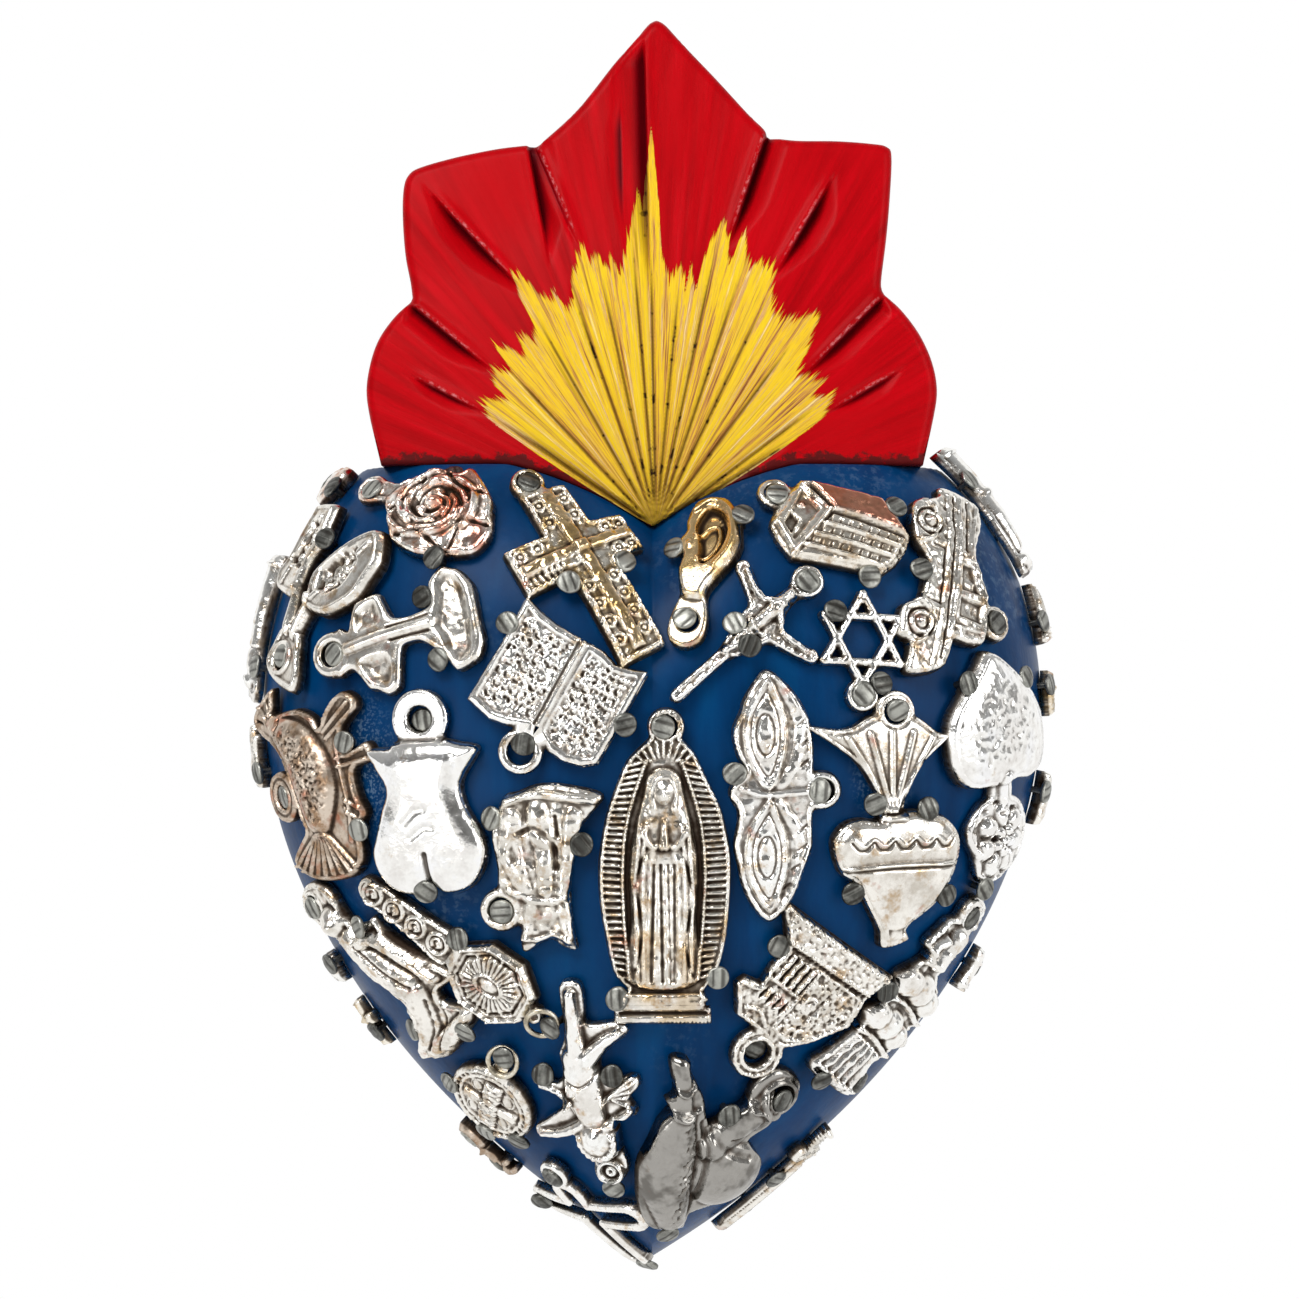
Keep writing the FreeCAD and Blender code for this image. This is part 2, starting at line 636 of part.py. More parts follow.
def wire_ring(middle):
    """A closed ring of short straight wire lengths, mitred where they meet."""
    rims = []
    for i in range(ring_parts):
        angle = 2 * math.pi * i / ring_parts
        out = Vector(math.sin(angle), math.cos(angle), 0)
        rim = []
        for x, z in round_points(0, 0, ring_wire / 2, wire_sides):
            rim.append(middle + out * (ring_radius + x) + Vector(0, 0, z))
        rims.append(rim)
    faces = []
    for i, rim in enumerate(rims):
        before = rims[i - 1]
        for j in range(wire_sides):
            k = (j + 1) % wire_sides
            faces.append(flat_face([before[j], before[k], rim[k], rim[j]]))
    return Part.Solid(Part.Shell(faces))


def jump_ring(hold):
    """A wire ring that lies flat in the bore of the lug."""
    ring = wire_ring(Vector(0, medal_radius + lug_stand + ring_radius, lug_radius))
    ring.Placement = medal_hold(hold)
    return ring


def ring_nail(hold):
    """The nail inside a jump ring stands against its far side."""
    reach = medal_radius + lug_stand + 2 * ring_radius - ring_wire / 2 - shank_corner * nail_shank - nail_play
    spot = medal_hold(hold).multVec(Vector(0, reach, 0))
    return spot.x, spot.y


def bar_medal():
    bar = trace([(0.4, -3.6), (0.4, 10.6), (4.2, 10.6, 1.2), (4.2, -3.6)])
    x, y = bar_medal_ring[:2]
    octagon = round_points(x, y, medal_radius / math.cos(math.pi / 8), 8)
    roundels = [pad(round_points(2.3, y, 1.4, 7), 0.6, 0.7) for y in (9.0, 5.4, 1.8, -1.8)]
    rays = pad(round_points(x, y, 0.7 * medal_radius, 12), 0.8, 0.4)
    body = casting([octagon, bar], roundels + [rays])[0]
    return body.fuse(lug(bar_medal_ring)), [ring_nail(bar_medal_ring)]


def kneeling_figure():
    outline = trace([
        (-2.4, 13.0), (1.0, 14.2, 0.3), (5.4, 12.4, 0.6), (5.6, 3.2, 0.6), (9.4, 3.0), (9.4, -1.0),
        (11.2, -9.6, 0.3), (8.2, -9.2), (10.8, -15.2, -0.3), (-1.0, -14.2), (-3.8, -10.6), (2.6, -8.6),
        (1.2, -4.0, 0.3), (1.4, 4.0), (-0.8, 9.8, -0.3),
    ])
    back = pad(leaf_points((4.6, -8.4), (3.6, 5.6), 4.6), 1.6, 0.6)
    thigh = pad(leaf_points((0.0, -12.0), (9.4, -12.4), 4.0), 1.3, 0.6)
    arm = pad(leaf_points((5.6, 2.0), (9.8, -7.0), 2.8), 1.1, 0.6)
    head = pad(round_points(3.2, 7.4, 1.7, 8, 1.2), 1.8, 0.6)
    return casting([outline], [back, thigh, arm, head], (1.2, 11.6), 2.5)


def round_medal():
    x, y = round_medal_ring[:2]
    disc = round_points(x, y, medal_radius, 16)
    rim = slab(disc, casting_thickness - pad_root, casting_thickness + 0.6)
    rim = rim.cut(slab(round_points(x, y, 0.84 * medal_radius, 16), 0, 2 * casting_thickness))
    bars = [pad(bar_points((x, y + 4.6), (x, y - 4.6), 2.4), 0.7, 0.8)]
    bars.append(pad(bar_points((x - 4.4, y), (x + 4.4, y), 1.5), 0.6, 0.8))
    body = casting([disc], [rim] + bars)[0]
    return body.fuse(lug(round_medal_ring)), [ring_nail(round_medal_ring)]


def cherub():
    outline = trace([
        (-1.6, 14.0), (1.0, 14.0), (1.2, 9.0), (5.8, 8.2, 0.3), (5.6, 6.4), (2.0, 4.2), (2.8, 1.0),
        (6.4, 1.2), (5.4, -3.8, 0.3), (2.8, -4.2), (3.0, -11.4, -0.5), (0.4, -13.8, 0.6), (-1.8, -11.4, 0.6),
        (-2.4, -6.6, -0.4), (-8.4, -6.6), (-7.6, -4.6), (-4.0, -1.6), (-7.4, 0.6), (-6.2, 1.8), (-3.4, 1.2),
        (-3.0, 5.4), (-1.8, 9.0),
    ])
    belly = pad(leaf_points((0.0, -6.0), (-0.4, 5.6), 4.6), 1.8, 0.6)
    head = pad(round_points(0.5, -9.6, 2.3, 9, 1.1), 2.0, 0.6)
    limbs = []
    for start, end, width, height in (
        ((-0.4, 4.4), (-0.3, 13.4), 2.4, 1.2), ((0.2, 5.4), (5.4, 7.6), 2.2, 1.2),
        ((2.2, -2.4), (6.0, 0.6), 2.6, 0.9), ((-2.4, -4.6), (-7.6, -5.8), 2.2, 0.9),
    ):
        limbs.append(pad(leaf_points(start, end, width), height, 0.7))
    return casting([outline], [belly, head] + limbs)


def outline_cross(half):
    """A cross with round ends, its crossing at (0, 0)."""
    top, arm_end, foot = hollow_top, hollow_arm, -hollow_foot
    return trace([
        (-half, top), (half, top, half), (half, half), (arm_end, half), (arm_end, -half, half), (half, -half),
        (half, foot), (-half, foot, half), (-half, -half), (-arm_end, -half), (-arm_end, half, half),
        (-half, half),
    ])


def hollow_cross():
    frame = plate(outline_cross(hollow_half))
    frame = frame.cut(slab(outline_cross(hollow_half - hollow_bar), -1, 2 * casting_thickness))
    return with_eyelet(frame, 0, hollow_top + hollow_half + eye_radius - hollow_bar)


def stomach():
    outline = trace([
        (-4.6, 16.4), (-2.2, 16.4), (0.4, 6.8, -0.6), (4.6, 8.6), (7.2, 12.6, 0.4), (12.6, 11.0, 1.0),
        (11.4, 6.6, 0.5), (6.2, 3.2), (8.6, -2.8, 0.8), (3.0, -7.2, 0.9), (-1.0, -7.6), (-1.8, -10.2),
        (-5.4, -9.2), (-8.6, -2.0, 0.7), (-5.6, 8.4, 1.0), (-4.2, 11.6),
    ])
    upper = pad(leaf_points((-1.4, 5.4), (7.4, -4.4), 6.6), 1.7, 0.6)
    lower = pad(leaf_points((-4.6, 7.0), (-3.0, -8.0), 5.4), 1.5, 0.6)
    stem = pad(bar_points((-3.4, 15.6), (-2.2, 8.0), 1.6), 1.0, 0.8)
    return casting([outline], [upper, lower, stem], (9.4, 9.4), 2.9)


def window_house():
    outline = [
        (-9.8, 5.4), (8.2, 7.4), (7.2, 3.0), (8.2, -1.0), (5.0, -6.2), (2.6, -8.4), (-5.4, -9.0),
        (-8.6, -6.0), (-6.0, -3.6), (-6.6, 0.4), (-9.8, 4.2),
    ]
    roof = pad([(-9.2, 5.0), (7.6, 6.8), (6.8, 3.6), (-7.6, 1.8)], 1.4, 0.88)
    pads = [roof]
    for row in range(2):
        for column in range(3):
            x = -3.6 + 3.4 * column
            y = -1.0 - 3.4 * row
            pads.append(pad([(x, y + 1.1), (x + 2.0, y + 1.1), (x + 2.0, y - 1.3), (x, y - 1.3)], 0.7, 0.75))
    return casting([outline], pads, (0.5, -10.8), 3.3)


def spade():
    crown = trace([
        (0.0, 13.6), (8.2, 5.4, 0.9), (8.4, -1.6, 1.0), (2.6, -3.0, 0.9), (-2.6, -3.0), (-7.6, -1.4, 0.9),
        (-8.2, 5.4, 0.8), (0.0, 13.6, 0.9),
    ])[:-1]
    flower = trace([
        (-2.4, -4.8), (2.0, -5.0), (6.0, -9.8, 0.9), (4.2, -14.2, 0.6), (0.6, -15.6, 0.4), (-3.0, -15.8, 0.4),
        (-6.4, -9.0, 0.6),
    ])
    stem = bar_points((0.0, -2.0), (0.0, -6.0), 4.6)
    petals = []
    for x, y in ((-3.0, -8.4), (2.8, -8.8), (-2.0, -12.8), (1.8, -12.6)):
        petals.append(pad(round_points(x, y, 1.8, 7), 1.2, 0.6))
    return casting([crown, stem, flower], [pad(shrunk(crown, 0.88), 1.4, 0.7)] + petals)


def dancer():
    outline = trace([
        (-5.6, 11.0), (-0.4, 10.6), (0.4, 4.6, -0.3), (4.4, 1.2, 0.5), (3.0, -4.6), (3.4, -6.6), (1.8, -10.4),
        (4.0, -14.4), (-7.0, -15.2), (-6.6, -10.6, 0.3), (-7.2, -5.0), (-5.8, -1.4), (-7.2, 1.6),
        (-5.2, 5.4, -0.3), (-6.6, 8.6),
    ])
    bodice = pad(bar_points((-2.8, 9.8), (-2.4, 5.2), 3.0, 2.2), 1.5, 0.7)
    skirts = [pad(leaf_points((-6.0, 1.2), (3.2, 1.0), 5.0), 1.6, 0.6)]
    skirts.append(pad(leaf_points((-6.0, -5.4), (2.4, -5.6), 5.0), 1.5, 0.6))
    foot = pad([(-5.6, -9.8), (1.0, -9.6), (2.4, -13.8), (-6.0, -14.2)], 1.0, 0.8)
    return casting([outline], [bodice, foot] + skirts, (-2.4, 12.8), 2.7)


def arm():
    outline = trace([
        (-1.7, 9.4), (1.9, 9.4, 0.3), (1.5, -2.0, 0.3), (1.9, -4.2), (2.4, -8.0, 0.2), (0.4, -9.6, 0.4),
        (-1.6, -8.4, 0.3), (-1.4, -2.0), (-2.0, 3.0, 0.2),
    ])
    return casting([outline], [pad(shrunk(outline, 0.84), 1.3, 0.66)])


def leg():
    outline = trace([
        (-2.4, 9.2), (2.4, 9.2, 0.3), (1.6, 1.4, 0.3), (1.9, -2.6, 0.3), (1.1, -7.0), (4.2, -8.8, 0.4),
        (3.9, -9.8), (-1.2, -9.8), (-1.3, -6.6), (-2.0, -1.0, 0.3), (-1.5, 2.0),
    ])
    thigh = pad(leaf_points((-0.1, 1.4), (0.1, 9.0), 3.8), 1.5, 0.6)
    calf = pad(leaf_points((0.0, -7.6), (0.0, 1.8), 2.8), 1.3, 0.6)
    return casting([outline], [thigh, calf])


def hand():
    palm = [(-1.9, -3.6), (-2.3, 0.4), (2.1, 0.4), (1.9, -3.6)]
    fingers = [bar_points((-1.6, 0.2), (-1.9, 3.2), 1.0, 0.8), bar_points((-0.5, 0.2), (-0.5, 4.0), 1.0, 0.8)]
    fingers += [bar_points((0.6, 0.2), (0.8, 3.8), 1.0, 0.8), bar_points((1.6, 0.2), (2.1, 2.8), 1.0, 0.8)]
    thumb = bar_points((-1.5, -1.8), (-3.9, 0.2), 1.1, 0.9)
    return casting([palm, thumb] + fingers, [pad(shrunk(palm, 0.84), 0.9, 0.6)])


def small_heart():
    outline = mirrored([(0, 1.7), (1.4, 2.7), (2.9, 1.4), (2.4, -0.8), (0, -3.4)])
    return casting([outline], [pad(shrunk(outline, 0.84), 1.0, 0.5)])


def small_cross():
    half, reach = 0.8, 2.6
    outline = mirrored([
        (0, 3.4), (half, 3.4), (half, 1.4), (reach, 1.4), (reach, -0.2), (half, -0.2), (half, -3.8),
        (0, -3.8),
    ])
    return casting([outline], [pad(bar_points((0, 2.8), (0, -3.2), 0.8), 0.5, 0.8)])


def tooth():
    outline = [
        (-1.6, 1.8), (-0.6, 2.1), (0.6, 2.1), (1.6, 1.8), (1.8, 0.2), (1.1, -2.2), (0.2, -0.8), (-1.0, -2.2),
        (-1.8, 0.2),
    ]
    return casting([outline], [pad(round_points(0, 0.8, 1.1, 7), 0.8, 0.6)])


def key():
    bow = round_points(0, 2.7, 2.3, 10)
    stem = bar_points((0, 1.0), (0, -4.6), 1.1)
    bits = [bar_points((0.2, y), (2.0, y), 0.9) for y in (-2.6, -4.1)]
    ridge = pad(bar_points((0, 0.0), (0, -4.4), 0.7), 0.4, 0.8)
    return with_eyelet(casting([bow, stem] + bits, [ridge])[0], 0, 2.7)


def small_medal():
    disc = round_points(0, 0, 3.0, 12)
    return casting([disc], [pad(round_points(0, 0, 1.9, 6, 1.2), 0.8, 0.5)])


def praying_hands():
    outline = mirrored([(0, 4.2), (0.7, 3.4), (1.5, 0.2), (1.2, -1.6), (1.8, -3.6)])
    return casting([outline], [pad(shrunk(outline, 0.8), 1.1, 0.5)])


def boot():
    outline = trace([(-1.3, 3.2), (1.3, 3.2), (1.1, -0.8), (3.2, -2.2, 0.3), (3.2, -3.4), (-1.4, -3.4)])
    return casting([outline], [pad(bar_points((0.0, 2.6), (0.0, -2.6), 1.6), 0.9, 0.6)])


def bell():
    outline = mirrored([(0, 3.0), (1.0, 2.6), (1.5, 0.0), (2.6, -2.4), (0, -3.2)])
    return casting([outline], [pad(shrunk(outline, 0.8), 1.1, 0.5)])


def dagger():
    blade = [(-1.1, 4.2), (1.1, 4.2), (1.0, -9.4), (0, -11.6), (-1.0, -9.4)]
    rings = [round_points(x, 4.8, 1.25, 8) for x in (-2.3, 0, 2.3)]
    grip = bar_points((0, 4.6), (0, 9.2), 1.5, 1.9)
    ridge = pad(bar_points((0, 3.4), (0, -9.2), 0.9, 0.4), 0.5, 0.6)
    return casting([blade, grip] + rings, [ridge, pad(bar_points((0, 5.6), (0, 8.8), 1.1), 0.6, 0.8)])


# Each charm: its shape, where it sits on the dome (clock, slope, turn) and the nails at its edge
charms = {
    "rose_charm": (rose, 321, 47, -13, [(1.5, 7.0), (-0.5, -7.0)]),
    "leaf_sprig_charm": (sprig, 301, 61, 18, [(-0.6, 4.0)]),
    "kidneys_charm": (kidney, 301, 35, 74, [(-3.5, 2.0), (5.5, 2.4)]),
    "filigree_cross_charm": (filigree_cross, 342, 34, -25, [(-4.0, -3.6), (4.0, -4.0)]),
    "open_book_charm": (book, 316, 14, 27, [(-8.5, 3.0), (11.0, -1.5)]),
    "ear_charm": (ear, 13, 37, 3, [(-4.0, -1.0), (5.0, 4.5)]),
    "house_charm": (house, 37, 40.8, 11, [(7.0, 4.0), (4.5, -6.5)]),
    "crucifix_charm": (crucifix, 35, 22, 51, [(-2.0, -4.5), (2.5, -4.5)]),
    "star_charm": (star, 57, 29, 3, [(-3.6, 3.4), (3.0, -5.0)]),
    "pickup_truck_charm": (pickup, 57, 50, 19, [(-5.0, -0.4)]),
    "flaming_heart_charm": (flaming_heart, 107, 35, -2, [(-3.5, 6.0), (4.0, 6.0), (-6.5, -5.5), (8.0, -6.5)]),
    "eyes_charm": (eyes, 99, 13, -1, [(-5.0, 3.0)]),
    "robed_figure_charm": (robed_figure, 173, 7, 0, [(-6.0, -16.0), (7.5, -14.0)]),
    "torso_charm": (torso, 264, 29, -3, [(7.5, -2.5), (-0.5, -11.5)]),
    "bodice_charm": (bodice, 233, 16, 3, [(5.5, 2.5)]),
    "fish_charm": (fish, 267, 55, -3, [(6.5, 6.0), (7.0, -5.5)]),
    "bar_medal_charm": (bar_medal, 232, 43, -52, [(6.0, -2.5)]),
    "kneeling_figure_charm": (kneeling_figure, 234, 61, -40, [(7.6, 4.6), (6.0, -16.5), (-1.0, -7.0)]),
    "round_medal_charm": (round_medal, 206, 57, 36, [(-7.0, -1.0), (0.5, -8.5), (5.5, -4.0)]),
    "cherub_charm": (cherub, 191, 38, -4, [(-5.5, 3.0), (3.5, 2.0), (0.5, -15.0)]),
    "hollow_cross_charm": (hollow_cross, 188, 69, 3, [(-9.0, 0.0), (1.5, -13.0)]),
    "stomach_charm": (stomach, 173.2, 51, -10, [(2.5, 8.5), (-4.0, -11.0)]),
    "window_house_charm": (window_house, 142.7, 36, 39, [(-8.0, 0.5), (8.8, 5.4)]),
    "spade_charm": (spade, 87.5, 54, -11, [(-5.5, 11.5), (7.0, 10.0), (-3.0, -17.0)]),
    "dancer_charm": (dancer, 131.4, 60.6, 31, [(-4.5, -16.0), (5.0, -11.0)]),
    "small_heart_charm": (small_heart, 312, 80, 0, [(-3.4, 0.0), (3.0, -1.0)]),
    "arm_charm": (arm, 290, 80, 0, [(-2.0, 6.0), (2.6, -5.0)]),
    "hand_charm": (hand, 272, 80, 0, [(2.6, -2.0)]),
    "tooth_charm": (tooth, 238, 80, 0, [(2.2, 1.0)]),
    "small_cross_charm": (small_cross, 228, 80, 0, [(1.6, -1.4)]),
    "key_charm": (key, 203, 80, 0, [(-1.4, -2.6)]),
    "leg_charm": (leg, 52, 80, 0, [(-2.6, 4.0), (2.4, -4.0)]),
    "praying_hands_charm": (praying_hands, 68, 80, 0, [(-2.0, -1.0)]),
    "small_medal_charm": (small_medal, 79, 82, 0, [(-3.2, 1.0)]),
    "dagger_charm": (dagger, 163, 76, 0, [(-1.9, 0.0), (1.9, -6.0)]),
    "small_boot_charm": (boot, 94, 82, 0, [(-2.2, 1.0)]),
    "small_bell_charm": (bell, 122, 82, 0, [(2.4, 0.5)]),
}


jump_rings = {
    "bar_medal_jump_ring": (bar_medal_ring, "bar_medal_charm"),
    "round_medal_jump_ring": (round_medal_ring, "round_medal_charm"),
}


def nail_at(charm, spot):
    """Drive a nail until its head meets what is cast under it."""
    tack = nail_shape()
    tack.translate(Vector(spot[0], spot[1], casting_thickness + nail_seat))
    for _ in range(nail_steps):
        if tack.distToShape(charm)[0] >= nail_seat / 2:
            break
        tack.translate(Vector(0, 0, nail_step))
    return tack


def build():
    """Every piece by its name."""
    pieces = {"heart_body": heart_body(), "flame_crown": flame_crown()}
    tacks = []
    for name, (shape, clock, slope, turn, beside) in charms.items():
        place = seat(clock, slope, turn)
        body, spots = shape()
        spots = spots + [nail_spot(body, x, y) for x, y in beside]
        for spot in spots:
            tack = nail_at(body, spot)
            tack.Placement = place.multiply(tack.Placement)
            tacks.append(tack)
        body.Placement = place
        pieces[name] = body
    for name, (hold, charm) in jump_rings.items():
        ring = jump_ring(hold)
        ring.Placement = pieces[charm].Placement.multiply(ring.Placement)
        pieces[name] = ring
    pieces["nails"] = Part.makeCompound(tacks)
    return pieces


pieces = build()
os.makedirs("parts", exist_ok=True)
for name, shape in pieces.items():
    shape.exportStep("parts/" + name + ".step")
    print(name, len(shape.Solids), round(shape.Volume, 1), shape.isValid())
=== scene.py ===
import random
from math import atan2, cos, degrees, exp, hypot, pi, radians, sin

import bpy
import numpy as np
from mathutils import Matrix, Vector, noise
from mathutils.bvhtree import BVHTree
from mathutils.geometry import delaunay_2d_cdt


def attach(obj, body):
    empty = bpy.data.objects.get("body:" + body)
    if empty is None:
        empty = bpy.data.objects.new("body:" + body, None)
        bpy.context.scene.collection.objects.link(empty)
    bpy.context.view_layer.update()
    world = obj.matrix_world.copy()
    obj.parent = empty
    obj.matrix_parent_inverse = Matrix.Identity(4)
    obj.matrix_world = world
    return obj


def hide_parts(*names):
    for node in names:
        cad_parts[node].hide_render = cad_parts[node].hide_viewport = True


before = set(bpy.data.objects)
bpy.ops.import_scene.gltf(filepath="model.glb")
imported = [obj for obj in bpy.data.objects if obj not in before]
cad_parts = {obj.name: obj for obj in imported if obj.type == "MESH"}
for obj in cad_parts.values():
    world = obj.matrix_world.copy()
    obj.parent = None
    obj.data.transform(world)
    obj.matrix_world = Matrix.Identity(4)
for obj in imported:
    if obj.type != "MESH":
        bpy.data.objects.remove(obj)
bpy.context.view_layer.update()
mm = 0.001
random.seed(7)


# short ways to write shader nodes; all of them write into the tree that is being made
def newMaterial(name):
    global tree
    mat = bpy.data.materials.new(name)
    mat.use_nodes = True
    tree = mat.node_tree
    return mat, tree.nodes["Principled BSDF"], node("ShaderNodeTexCoord").outputs["Object"]


def feed(made, inputs):
    for key, value in inputs.items():
        if isinstance(value, bpy.types.NodeSocket):
            tree.links.new(value, made.inputs[key])
        else:
            made.inputs[key].default_value = value


def node(kind, inputs=None, **settings):
    made = tree.nodes.new(kind)
    for key, value in settings.items():
        setattr(made, key, value)
    feed(made, inputs or {})
    return made


def maths(operation, a, b=0.0, c=0.0):
    return node("ShaderNodeMath", {0: a, 1: b, 2: c}, operation=operation).outputs[0]


def times(a, b):
    return maths("MULTIPLY", a, b)


def ramp(fac, *stops):
    made = node("ShaderNodeValToRGB", {0: fac})
    for i, (place, colour) in enumerate(stops):
        stop = made.color_ramp.elements[i] if i < 2 else made.color_ramp.elements.new(place)
        stop.position = place
        stop.color = (*colour, 1) if isinstance(colour, tuple) else (colour, colour, colour, 1)
    return made.outputs[0]


def fadeIn(fac, start, end, top=1):
    return ramp(fac, (start, 0), (end, top))


def mix(fac, a, b, blend="MIX"):
    a, b = [(*value, 1) if isinstance(value, tuple) else value for value in (a, b)]
    return node("ShaderNodeMix", {"Factor": fac, 6: a, 7: b}, data_type="RGBA", blend_type=blend).outputs[2]


def noiseTexture(vector, scale, detail=4.0, roughness=0.55, distortion=0.0):
    return node("ShaderNodeTexNoise", {
        "Vector": vector, "Scale": scale, "Detail": detail, "Roughness": roughness,
        "Distortion": distortion}).outputs["Fac"]


def stretched(vector, scale, turn=(0, 0, 0)):
    return node("ShaderNodeMapping", {"Vector": vector, "Scale": scale, "Rotation": turn}).outputs[0]


def attribute(name):
    return node("ShaderNodeAttribute", attribute_name=name).outputs["Fac"]


def bumpOn(shader, height, distance, strength=1.0, under=None):
    made = node("ShaderNodeBump", {"Height": height, "Distance": distance, "Strength": strength})
    if under:
        feed(made, {"Normal": under})
    feed(shader, {"Normal": made.outputs[0]})
    return made.outputs[0]


def addObject(name, data):
    obj = bpy.data.objects.new(name, data)
    bpy.context.scene.collection.objects.link(obj)
    return obj


def makeMesh(name, verts, faces, material, attributes=None, sharpAngle=None):
    mesh = bpy.data.meshes.new(name)
    mesh.from_pydata([tuple(v) for v in verts], [], faces)
    mesh.validate()
    for key, values in (attributes or {}).items():
        layer = mesh.attributes.new(key, "FLOAT", "POINT")
        layer.data.foreach_set("value", np.asarray(values, np.float32))
    mesh.shade_smooth()
    if sharpAngle:
        mesh.set_sharp_from_angle(angle=radians(sharpAngle))
    mesh.materials.append(material)
    return addObject(name, mesh)


# the heart's own form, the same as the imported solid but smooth
heart = {"width": 102, "depth": 36, "widest": -16, "lobe": (24, 23), "cleft": 14, "tip": -86, "core": -22,
    "fullness": 2.5, "clocks": 480, "bands": 110, "backRings": 24, "seam": 17, "seamApex": 9, "seamKnee": 18.5,
    "seamBow": 1.0, "hole": 4.0, "holeDepth": 11.0, "carving": 0.35}


def stepsAlong(pts):
    # the length of each step, and how far along the path each point is
    gaps = np.linalg.norm(np.diff(pts, axis=0), axis=1)
    return gaps, np.concatenate([[0], np.cumsum(gaps)])


def splineThrough(points, count):
    # a smooth curve through the points, with end slopes taken from the first and last four
    pts = np.array(points, float)
    gaps, knots = stepsAlong(pts)
    n = len(pts)
    ends = []
    for rows in ([0, 1, 2, 3], [n - 1, n - 2, n - 3, n - 4]):
        local = knots[rows] - knots[rows[0]]
        fit = np.linalg.solve(np.vander(local, 4, increasing=True), pts[rows])
        ends.append(fit[1])
    system = np.zeros((n, n))
    right = np.zeros((n, 2))
    system[0, 0] = system[-1, -1] = 1
    right[0], right[-1] = ends
    for i in range(1, n - 1):
        a, b = gaps[i - 1], gaps[i]
        system[i, i - 1:i + 2] = b, 2 * (a + b), a
        right[i] = 3 * (b * (pts[i] - pts[i - 1]) / a + a * (pts[i + 1] - pts[i]) / b)
    slopes = np.linalg.solve(system, right)
    places = np.linspace(0, knots[-1], count)
    spans = np.clip(np.searchsorted(knots, places, "right") - 1, 0, n - 2)
    t = ((places - knots[spans]) / gaps[spans])[:, None]
    g = gaps[spans][:, None]
    p, q, u, v = pts[spans], pts[spans + 1], slopes[spans] * g, slopes[spans + 1] * g
    return p + t * u + t * t * (3 * (q - p) - 2 * u - v) + t ** 3 * (2 * (p - q) + u + v)


def heartRimTable():
    half = heart["width"] / 2
    lobeX, lobeZ = heart["lobe"]
    rim = splineThrough([(0, heart["cleft"]), (0.42 * lobeX, 0.5 * (heart["cleft"] + lobeZ) + 1.5), (lobeX, lobeZ),
        (0.81 * half, 0.45 * lobeZ + 3.5), (half, heart["widest"]),
        (0.75 * half, 0.5 * (heart["widest"] + heart["tip"])),
        (0.38 * half, 0.2 * heart["widest"] + 0.8 * heart["tip"]), (0, heart["tip"])], 900)
    dx, dz = np.abs(rim[:, 0]), rim[:, 1] - heart["core"]
    return np.degrees(np.arctan2(dx, dz)), np.hypot(dx, dz)


rimClocks, rimReaches = heartRimTable()


def rimReach(clock):
    folded = np.abs((np.asarray(clock, float) + 180) % 360 - 180)
    return np.interp(folded, rimClocks, rimReaches)


def domeDepth(scale):
    n = heart["fullness"]
    return heart["depth"] * (1 - np.clip(scale, 0, 1) ** n) ** (1 / n)


def domePoint(clock, slope):
    scale = sin(radians(slope)) ** (2 / heart["fullness"])
    reach = float(rimReach(clock)) * scale
    turn = radians(clock)
    return Vector((sin(turn) * reach, -float(domeDepth(scale)), heart["core"] + cos(turn) * reach))


def domeFront(x, z):
    # how far the dome stands out at a place seen from the front
    clock = np.degrees(np.arctan2(x, z - heart["core"]))
    return domeDepth(np.hypot(x, z - heart["core"]) / rimReach(clock))


def seamLine(x):
    # height of the line where the flame stands on the heart
    knee, top, low, bow = heart["seamKnee"], heart["seam"], heart["seamApex"], heart["seamBow"]
    t = np.clip(np.abs(x) / knee, 0, 1)
    return np.where(np.abs(x) >= knee, top, low + (top - low) * t + 4 * bow * t * (1 - t))


def seatOn(clock, slope, turn):
    # a charm's plane on the dome: where it lies, then its right, up and out directions
    spot = domePoint(clock, slope)
    along = domePoint(clock + 2, slope) - domePoint(clock - 2, slope)
    down = domePoint(clock, slope + 2) - domePoint(clock, slope - 2)
    out = down.cross(along).normalized()
    if out.dot(spot - Vector((0, 0, heart["core"]))) < 0:
        out = -out
    up = (Vector((0, 0, 1)) - out * out.z).normalized()
    side = up.cross(out)
    angle = radians(turn)
    tall = up * cos(angle) + side * sin(angle)
    wide = tall.cross(out)
    return np.array([spot + out * casting["lift"], wide, tall, out])


def bendOver(seat, xs, ys, share):
    # how a thin casting follows the curve under it: share of the gap that it closes
    base, wide, tall, out = seat
    gx, gy = np.meshgrid(np.linspace(xs[0], xs[1], 9), np.linspace(ys[0], ys[1], 9))
    gx, gy = gx.ravel(), gy.ravel()
    points = base + gx[:, None] * wide + gy[:, None] * tall
    low, high = np.zeros(len(gx)), np.full(len(gx), 9.0)
    for step in range(16):
        middle = (low + high) / 2
        p = points - out * middle[:, None]
        outside = -p[:, 1] > domeFront(p[:, 0], p[:, 2])
        low, high = np.where(outside, middle, low), np.where(outside, high, middle)
    near = low < 5
    terms = np.stack([gx * gx, gx * gy, gy * gy], 1)
    fit = np.linalg.lstsq(terms[near], low[near], rcond=None)[0]
    return fit * share


# reliefs: heights worked out on a fine grid over a casting's own plane, in millimetres
casting = {"thickness": 1.3, "thinnest": 0.5, "edge": 0.35, "grid": 0.12, "spacing": 0.2, "hug": 0.6,
    "backSpacing": 1.5, "parts": 5, "lift": 0.15, "margin": 1.2, "fillet": 0.8, "insets": ((0.1, 1), (0.26, 2))}


def pairs(numbers):
    # outlines and paths are written as flat lists, x before y
    return np.array(numbers, float).reshape(-1, 2)


